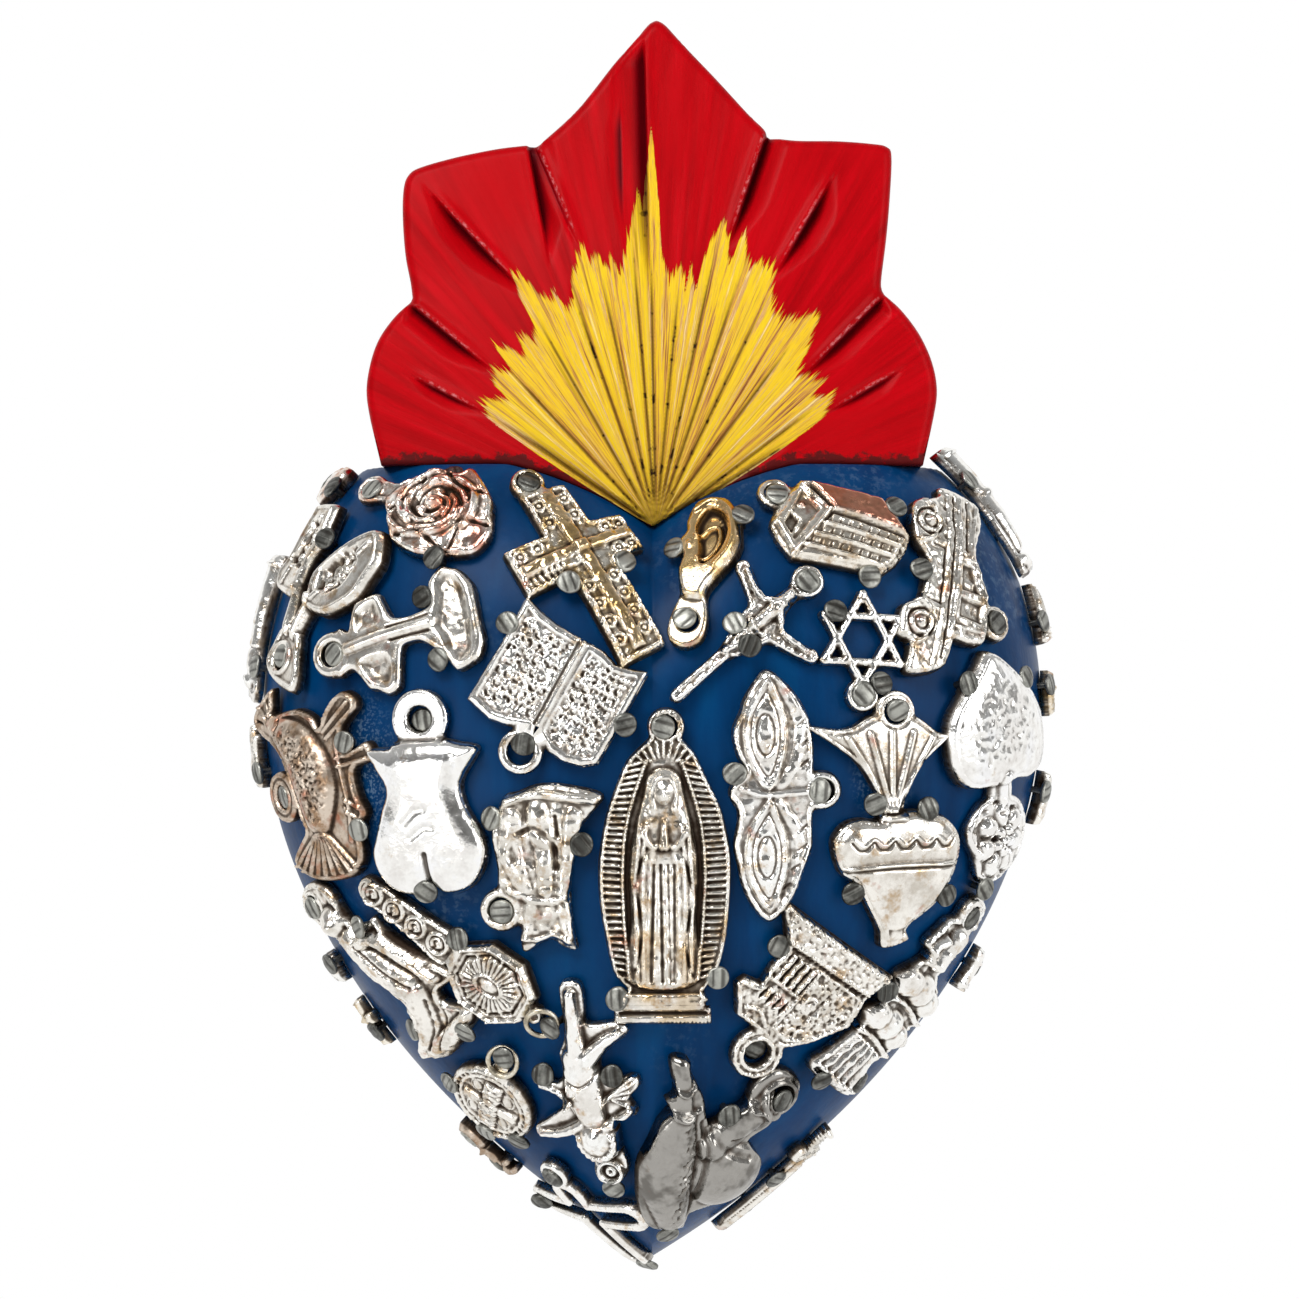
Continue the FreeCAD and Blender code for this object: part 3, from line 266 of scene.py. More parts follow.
def curveFrom(a, b, c, d, parts):
    # the curve from b to c, for points or for whole rows of points
    return [0.5 * (2 * b + (c - a) * t + (2 * a - 5 * b + 4 * c - d) * t * t + (3 * b - a - 3 * c + d) * t ** 3)
            for t in np.arange(parts) / parts]


def smoothLoop(points, parts=6):
    pts = pairs(points)
    return np.stack(curveFrom(*[np.roll(pts, shift, 0) for shift in (1, 0, -1, -2)], parts), 1).reshape(-1, 2)


def smoothPath(points, parts=5):
    pts = pairs(points)
    if len(pts) < 3:
        return pts
    padded = np.vstack([2 * pts[0] - pts[1], pts, 2 * pts[-1] - pts[-2]])
    rows = [row for i in range(len(pts) - 1) for row in curveFrom(*padded[i:i + 4], parts)]
    return np.array(rows + [pts[-1]])


def segmentDistance(x, y, a, b):
    dx, dy = b[0] - a[0], b[1] - a[1]
    t = np.clip(((x - a[0]) * dx + (y - a[1]) * dy) / max(dx * dx + dy * dy, 1e-9), 0, 1)
    return np.hypot(x - a[0] - t * dx, y - a[1] - t * dy), t


def loopDistance(x, y, loop):
    # signed distance to a closed outline, negative inside
    best = np.full(x.shape, 1e9)
    inside = np.zeros(x.shape, bool)
    for a, b in zip(loop, np.roll(loop, -1, 0)):
        dx, dy = b[0] - a[0], b[1] - a[1]
        t = np.clip(((x - a[0]) * dx + (y - a[1]) * dy) / max(dx * dx + dy * dy, 1e-9), 0, 1)
        best = np.minimum(best, (x - a[0] - t * dx) ** 2 + (y - a[1] - t * dy) ** 2)
        if a[1] != b[1]:
            crosses = (a[1] > y) != (b[1] > y)
            inside ^= crosses & (x < (b[0] - a[0]) * (y - a[1]) / (b[1] - a[1]) + a[0])
    return np.where(inside, -1, 1) * np.sqrt(best)


def blended(a, b, fillet):
    # union of two forms with a small fillet between them
    k = np.clip(fillet - np.abs(a - b), 0, None) / fillet
    return np.minimum(a, b) - k * k * fillet / 4


def rounding(d, edge):
    # how far a rounded edge falls below the top
    t = np.clip(1 + d / edge, 0, 1)
    return edge * (1 - np.sqrt(1 - t * t))


def startRelief(spec):
    loops = [smoothLoop(loop, casting["parts"]) for loop in spec.get("loops", [])]
    loops += [pairs(loop) for loop in spec.get("sharp", [])]
    bars = [(smoothPath(path), width) for path, width in spec.get("bars", [])]
    discs = spec.get("discs", [])
    squares = [pairs([x - r, y - r, x + r, y + r]) for x, y, r in discs]
    everything = np.vstack(loops + [path for path, width in bars] + squares)
    step = casting["grid"]
    lo, hi = everything.min(0) - casting["margin"], everything.max(0) + casting["margin"]
    xs, ys = np.arange(lo[0], hi[0], step), np.arange(lo[1], hi[1], step)
    x, y = np.meshgrid(xs, ys)
    forms = [loopDistance(x, y, loop) for loop in loops]
    for path, width in bars:
        forms.append(np.minimum.reduce([segmentDistance(x, y, a, b)[0] for a, b in zip(path, path[1:])]) - width / 2)
    forms += [np.hypot(x - cx, y - cy) - r for cx, cy, r in discs]
    d = forms[0]
    for form in forms[1:]:
        d = blended(d, form, spec.get("fillet", casting["fillet"]))
    for cx, cy, r in spec.get("holes", []):
        d = np.maximum(d, r - np.hypot(x - cx, y - cy))
    return {"x": x, "y": y, "d": d, "step": step, "lo": lo, "xs": xs, "ys": ys,
        "h": casting["thickness"] - rounding(d, casting["edge"]), "rng": np.random.RandomState(spec["seed"])}


def window(r, points, reach):
    # the part of the grid near some points
    pts = pairs(points)
    i0, j0 = np.floor((pts.min(0) - reach - r["lo"]) / r["step"]).astype(int)
    i1, j1 = np.ceil((pts.max(0) + reach - r["lo"]) / r["step"]).astype(int) + 1
    return slice(max(j0, 0), max(j1, 0)), slice(max(i0, 0), max(i1, 0))


def swell(r, height, width):
    # the whole casting puffs up from its edges
    t = np.clip(-r["d"] / width, 0, 1)
    r["h"] += height * np.sqrt(1 - (1 - t) ** 2)


def each(stroke, r, *rows):
    for row in rows:
        stroke(r, *row)


def polar(x, y, wide, tall, angle):
    return x + wide * sin(angle), y + tall * cos(angle)


def blob(r, x, y, rx, ry, height, turn=0.0, level=None):
    # a rounded mound that stands through what is already there
    w = window(r, [(x, y)], max(rx, ry))
    c, s = cos(radians(turn)), sin(radians(turn))
    dx, dy = r["x"][w] - x, r["y"][w] - y
    q = ((dx * c + dy * s) / rx) ** 2 + ((dy * c - dx * s) / ry) ** 2
    base = casting["thickness"] - 0.1 if level is None else level
    rise = base + height * np.sqrt(np.clip(1 - q, 0, 1))
    r["h"][w] = np.where(q < 1, np.maximum(r["h"][w], rise), r["h"][w])


def limb(r, path, widths, height):
    # a tapered round form along a line
    line = smoothPath(path)
    widths = np.interp(np.linspace(0, 1, len(line)), np.linspace(0, 1, len(widths)), widths)
    base = casting["thickness"] - 0.1
    for i in range(len(line) - 1):
        w = window(r, line[i:i + 2], max(widths[i], widths[i + 1]))
        dist, t = segmentDistance(r["x"][w], r["y"][w], line[i], line[i + 1])
        radius = (widths[i] + (widths[i + 1] - widths[i]) * t) / 2
        q = (dist / radius) ** 2
        rise = base + height * np.sqrt(np.clip(1 - q, 0, 1)) * (radius * 2 / widths.max()) ** 0.5
        r["h"][w] = np.where(q < 1, np.maximum(r["h"][w], rise), r["h"][w])


def line(r, path, width, height, smooth=True, where=None):
    # a raised line, or a groove where the height is negative
    pts = smoothPath(path) if smooth else pairs(path)
    w = window(r, pts, width)
    x, y = r["x"][w], r["y"][w]
    dist = np.minimum.reduce([segmentDistance(x, y, a, b)[0] for a, b in zip(pts, pts[1:])])
    q = np.clip(1 - (2 * dist / width) ** 2, 0, 1)
    if where is not None:
        q = q * where[w]
    r["h"][w] += height * (q ** 0.7 if height > 0 else q)


def lines(r, width, height, *paths, smooth=True):
    for path in paths:
        line(r, path, width, height, smooth)


def ringLine(r, x, y, radius, width, height, tall=1.0, turn=0.0):
    angles = np.linspace(0, 2 * pi, 33)
    c, s = cos(radians(turn)), sin(radians(turn))
    px, py = radius * np.sin(angles), radius * tall * np.cos(angles)
    line(r, np.stack([x + px * c - py * s, y + px * s + py * c], 1), width, height, smooth=False)


def beads(r, path, gap, radius, height):
    pts = smoothPath(path)
    along = stepsAlong(pts)[1]
    for place in np.arange(gap / 2, along[-1], gap):
        x, y = np.interp(place, along, pts[:, 0]), np.interp(place, along, pts[:, 1])
        w = window(r, [(x, y)], radius)
        q = ((r["x"][w] - x) ** 2 + (r["y"][w] - y) ** 2) / radius ** 2
        r["h"][w] += height * np.sqrt(np.clip(1 - q, 0, 1))


def rimLine(r, inset, width, height):
    # a line that follows the outline at a steady distance from the edge
    q = np.clip(1 - (2 * (r["d"] + inset) / width) ** 2, 0, 1)
    r["h"] += height * (q ** 0.7 if height > 0 else q)


def inLoop(r, loop, soft=0.5, smooth=True):
    # 1 inside an outline, falling to 0 at its edge
    pts = smoothLoop(loop) if smooth else pairs(loop)
    return np.clip(-loopDistance(r["x"], r["y"], pts) / soft, 0, 1)


def sunk(r, loop, depth, soft=0.5, smooth=True):
    inside = inLoop(r, loop, soft, smooth)
    r["h"] -= depth * inside * inside * (3 - 2 * inside)
    return inside


def raised(r, loop, height, width, smooth=True):
    t = inLoop(r, loop, width, smooth)
    r["h"] += height * np.sqrt(1 - (1 - t) ** 2)
    return t


def between(field, u, v, ease=lambda t: t):
    # values between the nodes of a lattice
    i, j = u.astype(int), v.astype(int)
    fu, fv = ease(u - i), ease(v - j)
    top = field[j, i] * (1 - fu) + field[j, i + 1] * fu
    low = field[j + 1, i] * (1 - fu) + field[j + 1, i + 1] * fu
    return top * (1 - fv) + low * fv


def gridNoise(r, size):
    # smooth random values over the grid, from -1 to 1
    wide = np.ptp(r["xs"]) / size + 3
    high = np.ptp(r["ys"]) / size + 3
    values = r["rng"].uniform(-1, 1, (int(high) + 2, int(wide) + 2))
    u, v = (r["x"] - r["lo"][0]) / size, (r["y"] - r["lo"][1]) / size
    return between(values, u, v, lambda t: t * t * (3 - 2 * t))


def grain(r, size, height, where=1.0):
    r["h"] += height * where * (gridNoise(r, size) + 0.5 * gridNoise(r, size * 0.5))


def pits(r, size, depth, where=1.0, above=0.25):
    r["h"] -= depth * where * np.clip((gridNoise(r, size) - above) * 3, 0, 1)


def blurred(field, cells):
    for axis in (0, 1):
        for again in range(2):
            padded = np.concatenate([np.repeat(field.take([0], axis), cells + 1, axis), field,
                np.repeat(field.take([-1], axis), cells, axis)], axis)
            sums = np.cumsum(padded, axis)
            count = field.shape[axis]
            far = sums.take(range(2 * cells + 1, 2 * cells + 1 + count), axis)
            field = (far - sums.take(range(count), axis)) / (2 * cells + 1)
    return field


def gridSample(r, field, points):
    u = np.clip((points[:, 0] - r["lo"][0]) / r["step"], 0, field.shape[1] - 1.001)
    v = np.clip((points[:, 1] - r["lo"][1]) / r["step"], 0, field.shape[0] - 1.001)
    return between(field, u, v)


def contourLoops(r):
    # the outlines where the distance field is zero
    skip = 2
    d = r["d"][::skip, ::skip]
    xs, ys = r["xs"][::skip], r["ys"][::skip]
    inside = d < 0
    cells = inside[:-1, :-1].astype(int) + inside[:-1, 1:] * 2 + inside[1:, 1:] * 4 + inside[1:, :-1] * 8
    routes = {1: [(3, 0)], 2: [(0, 1)], 3: [(3, 1)], 4: [(1, 2)], 6: [(0, 2)], 7: [(3, 2)], 8: [(2, 3)], 9: [(2, 0)],
        11: [(2, 1)], 12: [(1, 3)], 13: [(1, 0)], 14: [(0, 3)], 5: [(3, 2), (1, 0)], 10: [(0, 3), (2, 1)]}
    follow, places = {}, {}

    def edgeOf(j, i, side):
        return {0: (j, i, 0), 1: (j, i + 1, 1), 2: (j + 1, i, 0), 3: (j, i, 1)}[side]

    def placeOf(edge):
        j, i, upright = edge
        j2, i2 = (j + 1, i) if upright else (j, i + 1)
        a, b = d[j, i], d[j2, i2]
        t = min(max(a / (a - b), 0.05), 0.95)
        return xs[i] + (xs[i2] - xs[i]) * t, ys[j] + (ys[j2] - ys[j]) * t

    for j, i in zip(*np.nonzero((cells > 0) & (cells < 15))):
        for start, end in routes[int(cells[j, i])]:
            first, second = edgeOf(j, i, start), edgeOf(j, i, end)
            follow[first] = second
            for edge in (first, second):
                if edge not in places:
                    places[edge] = placeOf(edge)
    loops, used = [], set()
    for start in list(follow):
        if start in used:
            continue
        loop, edge = [], start
        while edge in follow and edge not in used:
            used.add(edge)
            loop.append(places[edge])
            edge = follow[edge]
        if len(loop) > 8:
            loops.append(np.array(loop))
    return loops


def lattice(xs, ys, spacing):
    # rows of points, each shifted by half a step
    rows = []
    for k, y in enumerate(np.arange(ys[0], ys[-1], spacing * 0.87)):
        places = np.arange(xs[0] + (k % 2) * spacing / 2, xs[-1], spacing)
        rows.append(np.stack([places, np.full(len(places), y)], 1))
    return np.vstack(rows)


def triangles(r, points, edges, reach, within):
    # triangles through all the points, without those that lie outside the outline
    found = delaunay_2d_cdt([Vector(p) for p in points], edges, [], 0, reach, False)
    verts = np.array([tuple(v) for v in found[0]])
    faces = np.array([f for f in found[2] if len(f) == 3])
    return verts, faces[gridSample(r, r["d"], verts[faces].mean(1)) < within]


def borderOf(faces):
    # the edges with one triangle, their points in order, and each point's number in that order
    edges = dict.fromkeys(edge for a, b, c in faces.tolist() for edge in ((a, b), (b, c), (c, a)))
    border = [(a, b) for a, b in edges if (b, a) not in edges]
    ring = sorted({v for edge in border for v in edge})
    return border, ring, {v: k for k, v in enumerate(ring)}


def slabOf(r):
    # triangles over a relief: front points and faces, back points and faces, and the rim that joins them
    loops = contourLoops(r)
    gy, gx = np.gradient(r["d"], r["step"])
    starts, edges, rows = 0, [], []
    for loop in loops:
        n = len(loop)
        edges += [(starts + k, starts + (k + 1) % n) for k in range(n)]
        rows.append(loop)
        starts += n
    rim = np.vstack(rows)
    normals = np.stack([gridSample(r, gx, rim), gridSample(r, gy, rim)], 1)
    normals /= np.maximum(np.linalg.norm(normals, axis=1, keepdims=True), 1e-6)
    points = [rim]
    for inset, every in casting["insets"]:
        row = (rim - normals * inset)[::every]
        points.append(row[gridSample(r, r["d"], row) < -0.9 * inset])
    inner = lattice(r["xs"], r["ys"], casting["spacing"])
    points.append(inner[gridSample(r, r["d"], inner) < -0.4])
    verts, faces = triangles(r, np.vstack(points), edges, 1e-5, 0.01)
    border, ring, lookup = borderOf(faces)
    wide = np.arange(r["xs"][0], r["xs"][-1], casting["backSpacing"])
    high = np.arange(r["ys"][0], r["ys"][-1], casting["backSpacing"])
    sparse = np.stack(np.meshgrid(wide, high), -1).reshape(-1, 2)
    sparse = sparse[gridSample(r, r["d"], sparse) < -0.6]
    backPoints = np.vstack([verts[ring], sparse]) if len(sparse) else verts[ring]
    backEdges = [(lookup[a], lookup[b]) for a, b in border]
    backVerts, backFaces = triangles(r, backPoints, backEdges, 1e-7, 0.01)
    n = len(verts)
    walls = [(b, a, n + lookup[a], n + lookup[b]) for a, b in border]
    return verts, faces.tolist(), backVerts, [(n + f[2], n + f[1], n + f[0]) for f in backFaces.tolist()], walls


def castCharm(name, spec, carve, material):
    r = startRelief(spec)
    carve(r)
    r["h"] = np.maximum(r["h"] - 0.3 * rounding(r["d"], casting["edge"]), casting["thinnest"])
    # hollows of the relief: they carry the patina, and the painted shade at the foot of each form
    cavity = blurred(r["h"], max(int(0.4 / r["step"]), 1)) - r["h"]
    verts, faces, backVerts, backFaces, walls = slabOf(r)
    seat = seatOn(*spec["seat"])
    x, y = np.concatenate([verts[:, 0], backVerts[:, 0]]), np.concatenate([verts[:, 1], backVerts[:, 1]])
    bend = bendOver(seat, (x.min(), x.max()), (y.min(), y.max()), spec.get("hug", casting["hug"]))
    z = np.concatenate([gridSample(r, r["h"], verts), np.zeros(len(backVerts))])
    z = z - (bend[0] * x * x + bend[1] * x * y + bend[2] * y * y)
    base, wide, tall, out = seat
    world = base + x[:, None] * wide + y[:, None] * tall + z[:, None] * out
    # the back and the walls get a small fixed value, which gives them a little painted shade
    dark = np.concatenate([gridSample(r, cavity, verts), np.full(len(backVerts), 0.05)])
    wash = np.zeros(len(world))
    if "wash" in r:
        wash[:len(verts)] = gridSample(r, r["wash"], verts)
    piece = makeMesh(name, world * mm, faces + backFaces + walls, material, {"cavity": dark, "wash": wash})
    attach(piece, "root")
    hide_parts(name)
    castings.append(piece)


castings = []


# cast white metal: bright on the high places, with painted brown shade at the foot of each form and dark patina in the
# low ones
def castMetal(name, bright, dull, stain, warmth, patinaAndShade, rough=0.16, wash=(0.66, 0.44, 0.18)):
    mat, shader, coords = newMaterial(name)
    cavity = attribute("cavity")
    patch = noiseTexture(coords, 260, 3, 0.6)
    fine = noiseTexture(coords, 1500, 5, 0.65)
    colour = ramp(patch, (0.38, dull), (0.5, bright), (0.64, tuple(min(1.06 * c, 0.95) for c in bright)))
    # warm brown and copper-red patches at random: tarnish, and painted warm reflections
    warm = fadeIn(noiseTexture(coords, 420, 4, 0.65), 0.56 - 0.16 * warmth, 0.7 - 0.1 * warmth, 0.9)
    colour = mix(warm, colour, stain)
    red = fadeIn(noiseTexture(stretched(coords, (1, 1, 1), (1, 2, 3)), 300, 3, 0.6), 0.64 - 0.1 * warmth,
        0.76 - 0.08 * warmth, 0.75)
    colour = mix(red, colour, (0.42, 0.12, 0.05))
    washed = times(attribute("wash"), ramp(patch, (0.3, 0.75), (0.6, 1.0)))
    colour = mix(washed, colour, wash)
    # painted brown shade and reflection first browns the foot of each form, then dark patina fills the deep places
    depth = maths("ADD", cavity, times(maths("SUBTRACT", fine, 0.5), 0.16))
    paintedBrownShade = fadeIn(maths("ADD", depth, 0.1), 0.07, 0.1 + 0.1 / patinaAndShade, 0.6)
    colour = mix(paintedBrownShade, colour, tuple(0.45 * c for c in stain))
    dirt = ramp(depth, (0.03, 0.0), (0.11 / patinaAndShade, 0.7), (0.24 / patinaAndShade, 1.0))
    colour = mix(dirt, colour, (0.04, 0.026, 0.018))
    scratch = noiseTexture(stretched(coords, (300, 1800, 500), (0.4, 0.9, 0.2)), 1.0, 3, 0.6)
    base = ramp(scratch, (0.3, rough), (0.75, rough + 0.2))
    feed(shader, {"Base Color": colour, "Metallic": 1.0, "Roughness": mix(dirt, base, (0.62, 0.62, 0.62))})
    under = bumpOn(shader, noiseTexture(coords, 420, 3, 0.5), 0.00022, 0.55)
    bumpOn(shader, fine, 0.00005, 0.6, under)
    return mat


brightMetal = castMetal("brightMetal", (0.93, 0.91, 0.87), (0.8, 0.77, 0.72), (0.56, 0.42, 0.27), 0.0, 0.75, 0.07)
greyMetal = castMetal("greyMetal", (0.88, 0.85, 0.79), (0.68, 0.64, 0.57), (0.5, 0.35, 0.2), 0.2, 0.95, 0.12)
brownMetal = castMetal("brownMetal", (0.68, 0.58, 0.48), (0.45, 0.36, 0.28), (0.34, 0.21, 0.12), 0.7, 1.2, 0.24)
goldMetal = castMetal("goldMetal", (0.92, 0.86, 0.76), (0.74, 0.64, 0.48), (0.6, 0.4, 0.15), 0.6, 0.9, 0.11)
rosyMetal = castMetal("rosyMetal", (0.93, 0.88, 0.82), (0.72, 0.6, 0.5), (0.55, 0.26, 0.14), 0.5, 0.9, 0.1,
    (0.62, 0.15, 0.06))
darkMetal = castMetal("darkMetal", (0.36, 0.345, 0.32), (0.17, 0.16, 0.145), (0.2, 0.16, 0.12), -0.6, 0.7, 0.1)
cleanMetal = castMetal("cleanMetal", (0.95, 0.94, 0.91), (0.87, 0.85, 0.82), (0.66, 0.56, 0.44), -0.6, 0.6, 0.06)
tiledMetal = castMetal("tiledMetal", (0.9, 0.85, 0.76), (0.72, 0.64, 0.52), (0.5, 0.35, 0.2), 0.2, 0.85, 0.12,
    (0.66, 0.17, 0.07))


def eyelet(x, y, radius=2.1, hole=1.25):
    return {"discs": [(x, y, radius)], "holes": [(x, y, hole)]}


def shrink(loop, share, move=(0, 0)):
    pts = pairs(loop)
    middle = pts.mean(0)
    return middle + (pts - middle) * share + np.array(move)


# rose
rose = {"seat": (321, 47, -13), "seed": 3, "loops": [[-7, 3, -5, 5.5, -3, 6, -1, 6, 1, 5, 3, 4.5, 4.5, 5, 5.5, 3.5, 7,
    0, 7, -2.5, 6.5, -5.5, 4, -7.5, 0, -7, -2, -6.5, -4, -5.5, -6, -3.5, -6.5, -1.5, -6.5, 0]],
    "bars": [([-5, 3.5, -9, 6], 3)], **eyelet(-9.2, 6)}


def carveRose(r):
    petals = [(-4.4, 2.6, 3.4, 2.2, 30), (-4.8, -1.6, 3, 2.3, 95), (-1.8, -4.8, 3.6, 2.2, 165),
        (2.9, -5, 3.4, 2.2, 20), (5, -1.6, 3.2, 2.1, 75), (4.4, 2.4, 2.8, 2.3, 120), (0.6, 3.9, 3.6, 1.9, 0)]
    for x, y, rx, ry, turn in petals:
        blob(r, x, y, rx, ry, 0.9, turn)
    for radius, width, height, shift in ((3.9, 1.1, 0.8, 0), (2.6, 0.9, 0.8, 0.6), (1.4, 0.8, 0.7, 1.1)):
        for part in range(3):
            start = 2.1 * part + shift * 2
            arc = [polar(-0.3, 0.3, radius * (1 + 0.1 * k), 0.85 * radius * (1 + 0.1 * k),
                start + 0.42 * k) for k in range(7)]
            line(r, arc, width, height)
    blob(r, -0.3, 0.4, 1.3, 1, 1.9)
    each(line, r, ([-6.2, 1.2, -3.6, 2.2, -1.4, 4.6], 0.6, -0.6), ([1.6, 4.6, 3.6, 1.6, 6.4, 0.6], 0.6, -0.7),
        ([-5.8, -3, -2.6, -3.4, 0.2, -6.2], 0.6, -0.6), ([1.4, -6.4, 3.4, -3.4, 6.4, -4], 0.6, -0.6))
    rimLine(r, 0.4, 0.6, 0.25)
    grain(r, 1.3, 0.14)
    r["wash"] = 0.75 * np.clip(gridNoise(r, 2.2) * 1.6 + 0.12 * (r["x"] + r["y"]) - 0.1, 0, 1)


# sprig of two leaves
rightLeaf = [8, 8.5, 9.5, 7.5, 11, 5, 11, 2.5, 10.5, -0.5, 8, -3.5, 6, -4.5, 3.5, -4.5, 2.5, -3.5, 1.5, -0.5, 2.5, 2,
    4, 4.5, 6, 7]
leftLeaf = [-3.5, 8.5, -2, 8.5, -1, 6, -0.2, 3.4, -0.5, 0.5, -0.5, -4, -5, -4.5, -6.5, -3.5, -7, -2, -6, 0, -6, 3, -6,
    6, -6, 7.5]
leafSprig = {"seat": (301, 61, 18), "seed": 4, "loops": [rightLeaf, leftLeaf,
    [-0.5, -8, -1.5, -10.5, -2, -13, 0, -14.5, 4, -15, 6, -14.5, 6, -12.5, 5, -10.5, 3.4, -8]],
    "bars": [([-0.6, -3.5, 0.9, -9], 1.7), ([3.2, -3.6, 2.4, -9], 1.7)], "holes": [(1.2, -11.8, 1.4)]}


def carveSprig(r):
    for leaf, share, shift in ((rightLeaf, 0.6, (-0.8, 0)), (leftLeaf, 0.55, (0.3, 0.4))):
        raised(r, leaf, 0.9, 1.8)
        inside = sunk(r, shrink(leaf, share, shift), 0.95, 0.9)
        grain(r, 0.7, 0.35, inside)
    each(line, r, ([-4.6, -3.4, -3.6, 1, -3.2, 6.4], 0.9, 0.35), ([3.6, -3.2, 6.4, 1.6, 8.4, 6.6], 0.9, 0.3),
        ([-0.6, -3, 0.7, -8.6], 0.9, 0.7), ([3.1, -3, 2.4, -8.6], 0.9, 0.7))
    rimLine(r, 0.5, 0.8, 0.35)


# pair of kidneys
kidneys = {"seat": (301, 35, 74), "seed": 6, "loops": [[-2.5, -9.5, -2, -8, -3, -7.5, -5, -6.5, -5.5, -5, -5.5, -3,
    -4.5, -2.5, -3, -2, -2, -1.5, -1.5, 0, -1.5, 1.5, -2, 3.5, -3.5, 3.5, -5, 4, -6, 5, -6.5, 6, -6, 7, -5.5, 8, -4, 9,
    -2.5, 9.5, 2, 9.5, 4, 9.5, 6, 8.5, 6.5, 7.5, 7, 5.5, 5.5, 4.5, 4, 3.5, 3.5, 3, 2.5, 2, 2, 1, 2, -0.5, 2.5, -1, 4,
    -1.5, 6, -2, 7, -2.5, 7.5, -4, 6.5, -5.5, 6, -6.5, 4, -7.5, 3, -8.5, 3, -10.5]], **eyelet(0.2, -10.8, 2.9, 1.45)}


def carveKidneys(r):
    swell(r, 0.5, 1)
    dishes = [[-5.9, 6, -5, 8, -2.6, 8.8, 0.4, 8.9, 3.4, 8.8, 5.6, 8, 6.4, 5.8, 4.4, 4.6, 2.6, 4.2, 0.4, 3.4, -2.6,
        4.4, -4.6, 4.6], [-4.9, -4.8, -4.8, -3.2, -2.8, -2.6, -1.2, -3.4, -0.9, -6.2, -2, -7, -3.9, -6.6],
        [6.6, -4.2, 6.2, -2.9, 4, -2.3, 2.2, -3, 1.9, -5.8, 2.8, -7.2, 5.4, -6.2]]
    for dish in dishes:
        grain(r, 1.6, 0.16, sunk(r, dish, 0.7, 1.5))
    each(line, r, ([0.3, -8.4, 0.1, -3, 0.2, 3.2], 1.5, 0.5), ([-0.9, 3.2, -0.7, -2.4], 0.4, -0.35),
        ([1.2, 3, 1, -2.2], 0.4, -0.35))


# filigree cross
crossLoop = [-3.2, 9.9, 1.4, 9.7, 2.9, 9.3, 3.1, 3.2, 7.3, 2.8, 7.5, -3.1, 3.2, -3.1, 3.3, -10.5, 3.2, -15.8, -3,
    -15.9, -3, -6, -3.2, -2.9, -8.9, -2.7, -8.9, 4, -3.5, 3.6]
filigreeCross = {"seat": (342, 34, -25), "seed": 8, "sharp": [crossLoop], **eyelet(-1.2, 11.4, 2.2)}


def carveFiligreeCross(r):
    rimLine(r, 0.45, 0.6, 0.5)
    ridges = [[-1.4, 9.2, 0.9, 9.2, 0.9, -14.8, -0.8, -14.8], [-8.2, 1.2, 6.8, 0.8, 6.8, -0.8, -8.2, -0.6]]
    r["wash"] = np.maximum(*[0.85 * raised(r, ridge, 0.7, 0.6, False) for ridge in ridges])
    for x, y in ((-1.9, 7.6), (1.6, 7.4), (-1.9, 4.9), (1.6, 4.7), (4.4, 1.6), (4.4, -1.7), (6.2, 1.4), (6.2, -1.8),
            (-5, 2.3), (-7.4, 2.3), (1.7, -5), (1.7, -7.6), (1.7, -10.2), (1.7, -12.8), (-1.8, -5), (-1.8, -7.6),
            (-1.8, -10.2), (-1.8, -12.8)):
        ringLine(r, x, y, 0.72, 0.5, 0.45)
        blob(r, x, y, 0.34, 0.34, 0.55)
    for k in range(7):
        line(r, [-8.4 + 0.8 * k, -0.8, -8.2 + 0.8 * k, -2.3], 0.35, -0.4)
    raised(r, [-6, -0.4, -0.9, -0.4, -0.9, -2, -6, -1.4], 0.5, 0.3, False)
    each(beads, r, ([-3, 8.9, -2.9, 3.9], 0.9, 0.3, 0.3), ([2.8, -3.6, 2.8, -15.2], 0.9, 0.3, 0.3),
        ([-2.6, -3.6, -2.6, -15.2], 0.9, 0.3, 0.3))
    grain(r, 0.6, 0.1)


# open book
bookLoop = [-7.2, 7, -4.5, 6.1, -2, 5.6, 1.9, 5.4, 4.5, 5.3, 6.5, 4.5, 8.5, 4.9, 10.5, 5.6, 10.3, -3, 10.1, -7.4, 8.5,
    -8.6, 6, -9.1, 4, -8.8, 1.5, -7, -2.5, -8.4, -4.5, -8.6, -8, -7.6, -7.6, -3, -7.3, 1, -7.3, 4.5]
openBook = {"seat": (316, 14, 27), "seed": 9, "sharp": [bookLoop], **eyelet(0.9, -10.3, 2.8, 1.62)}


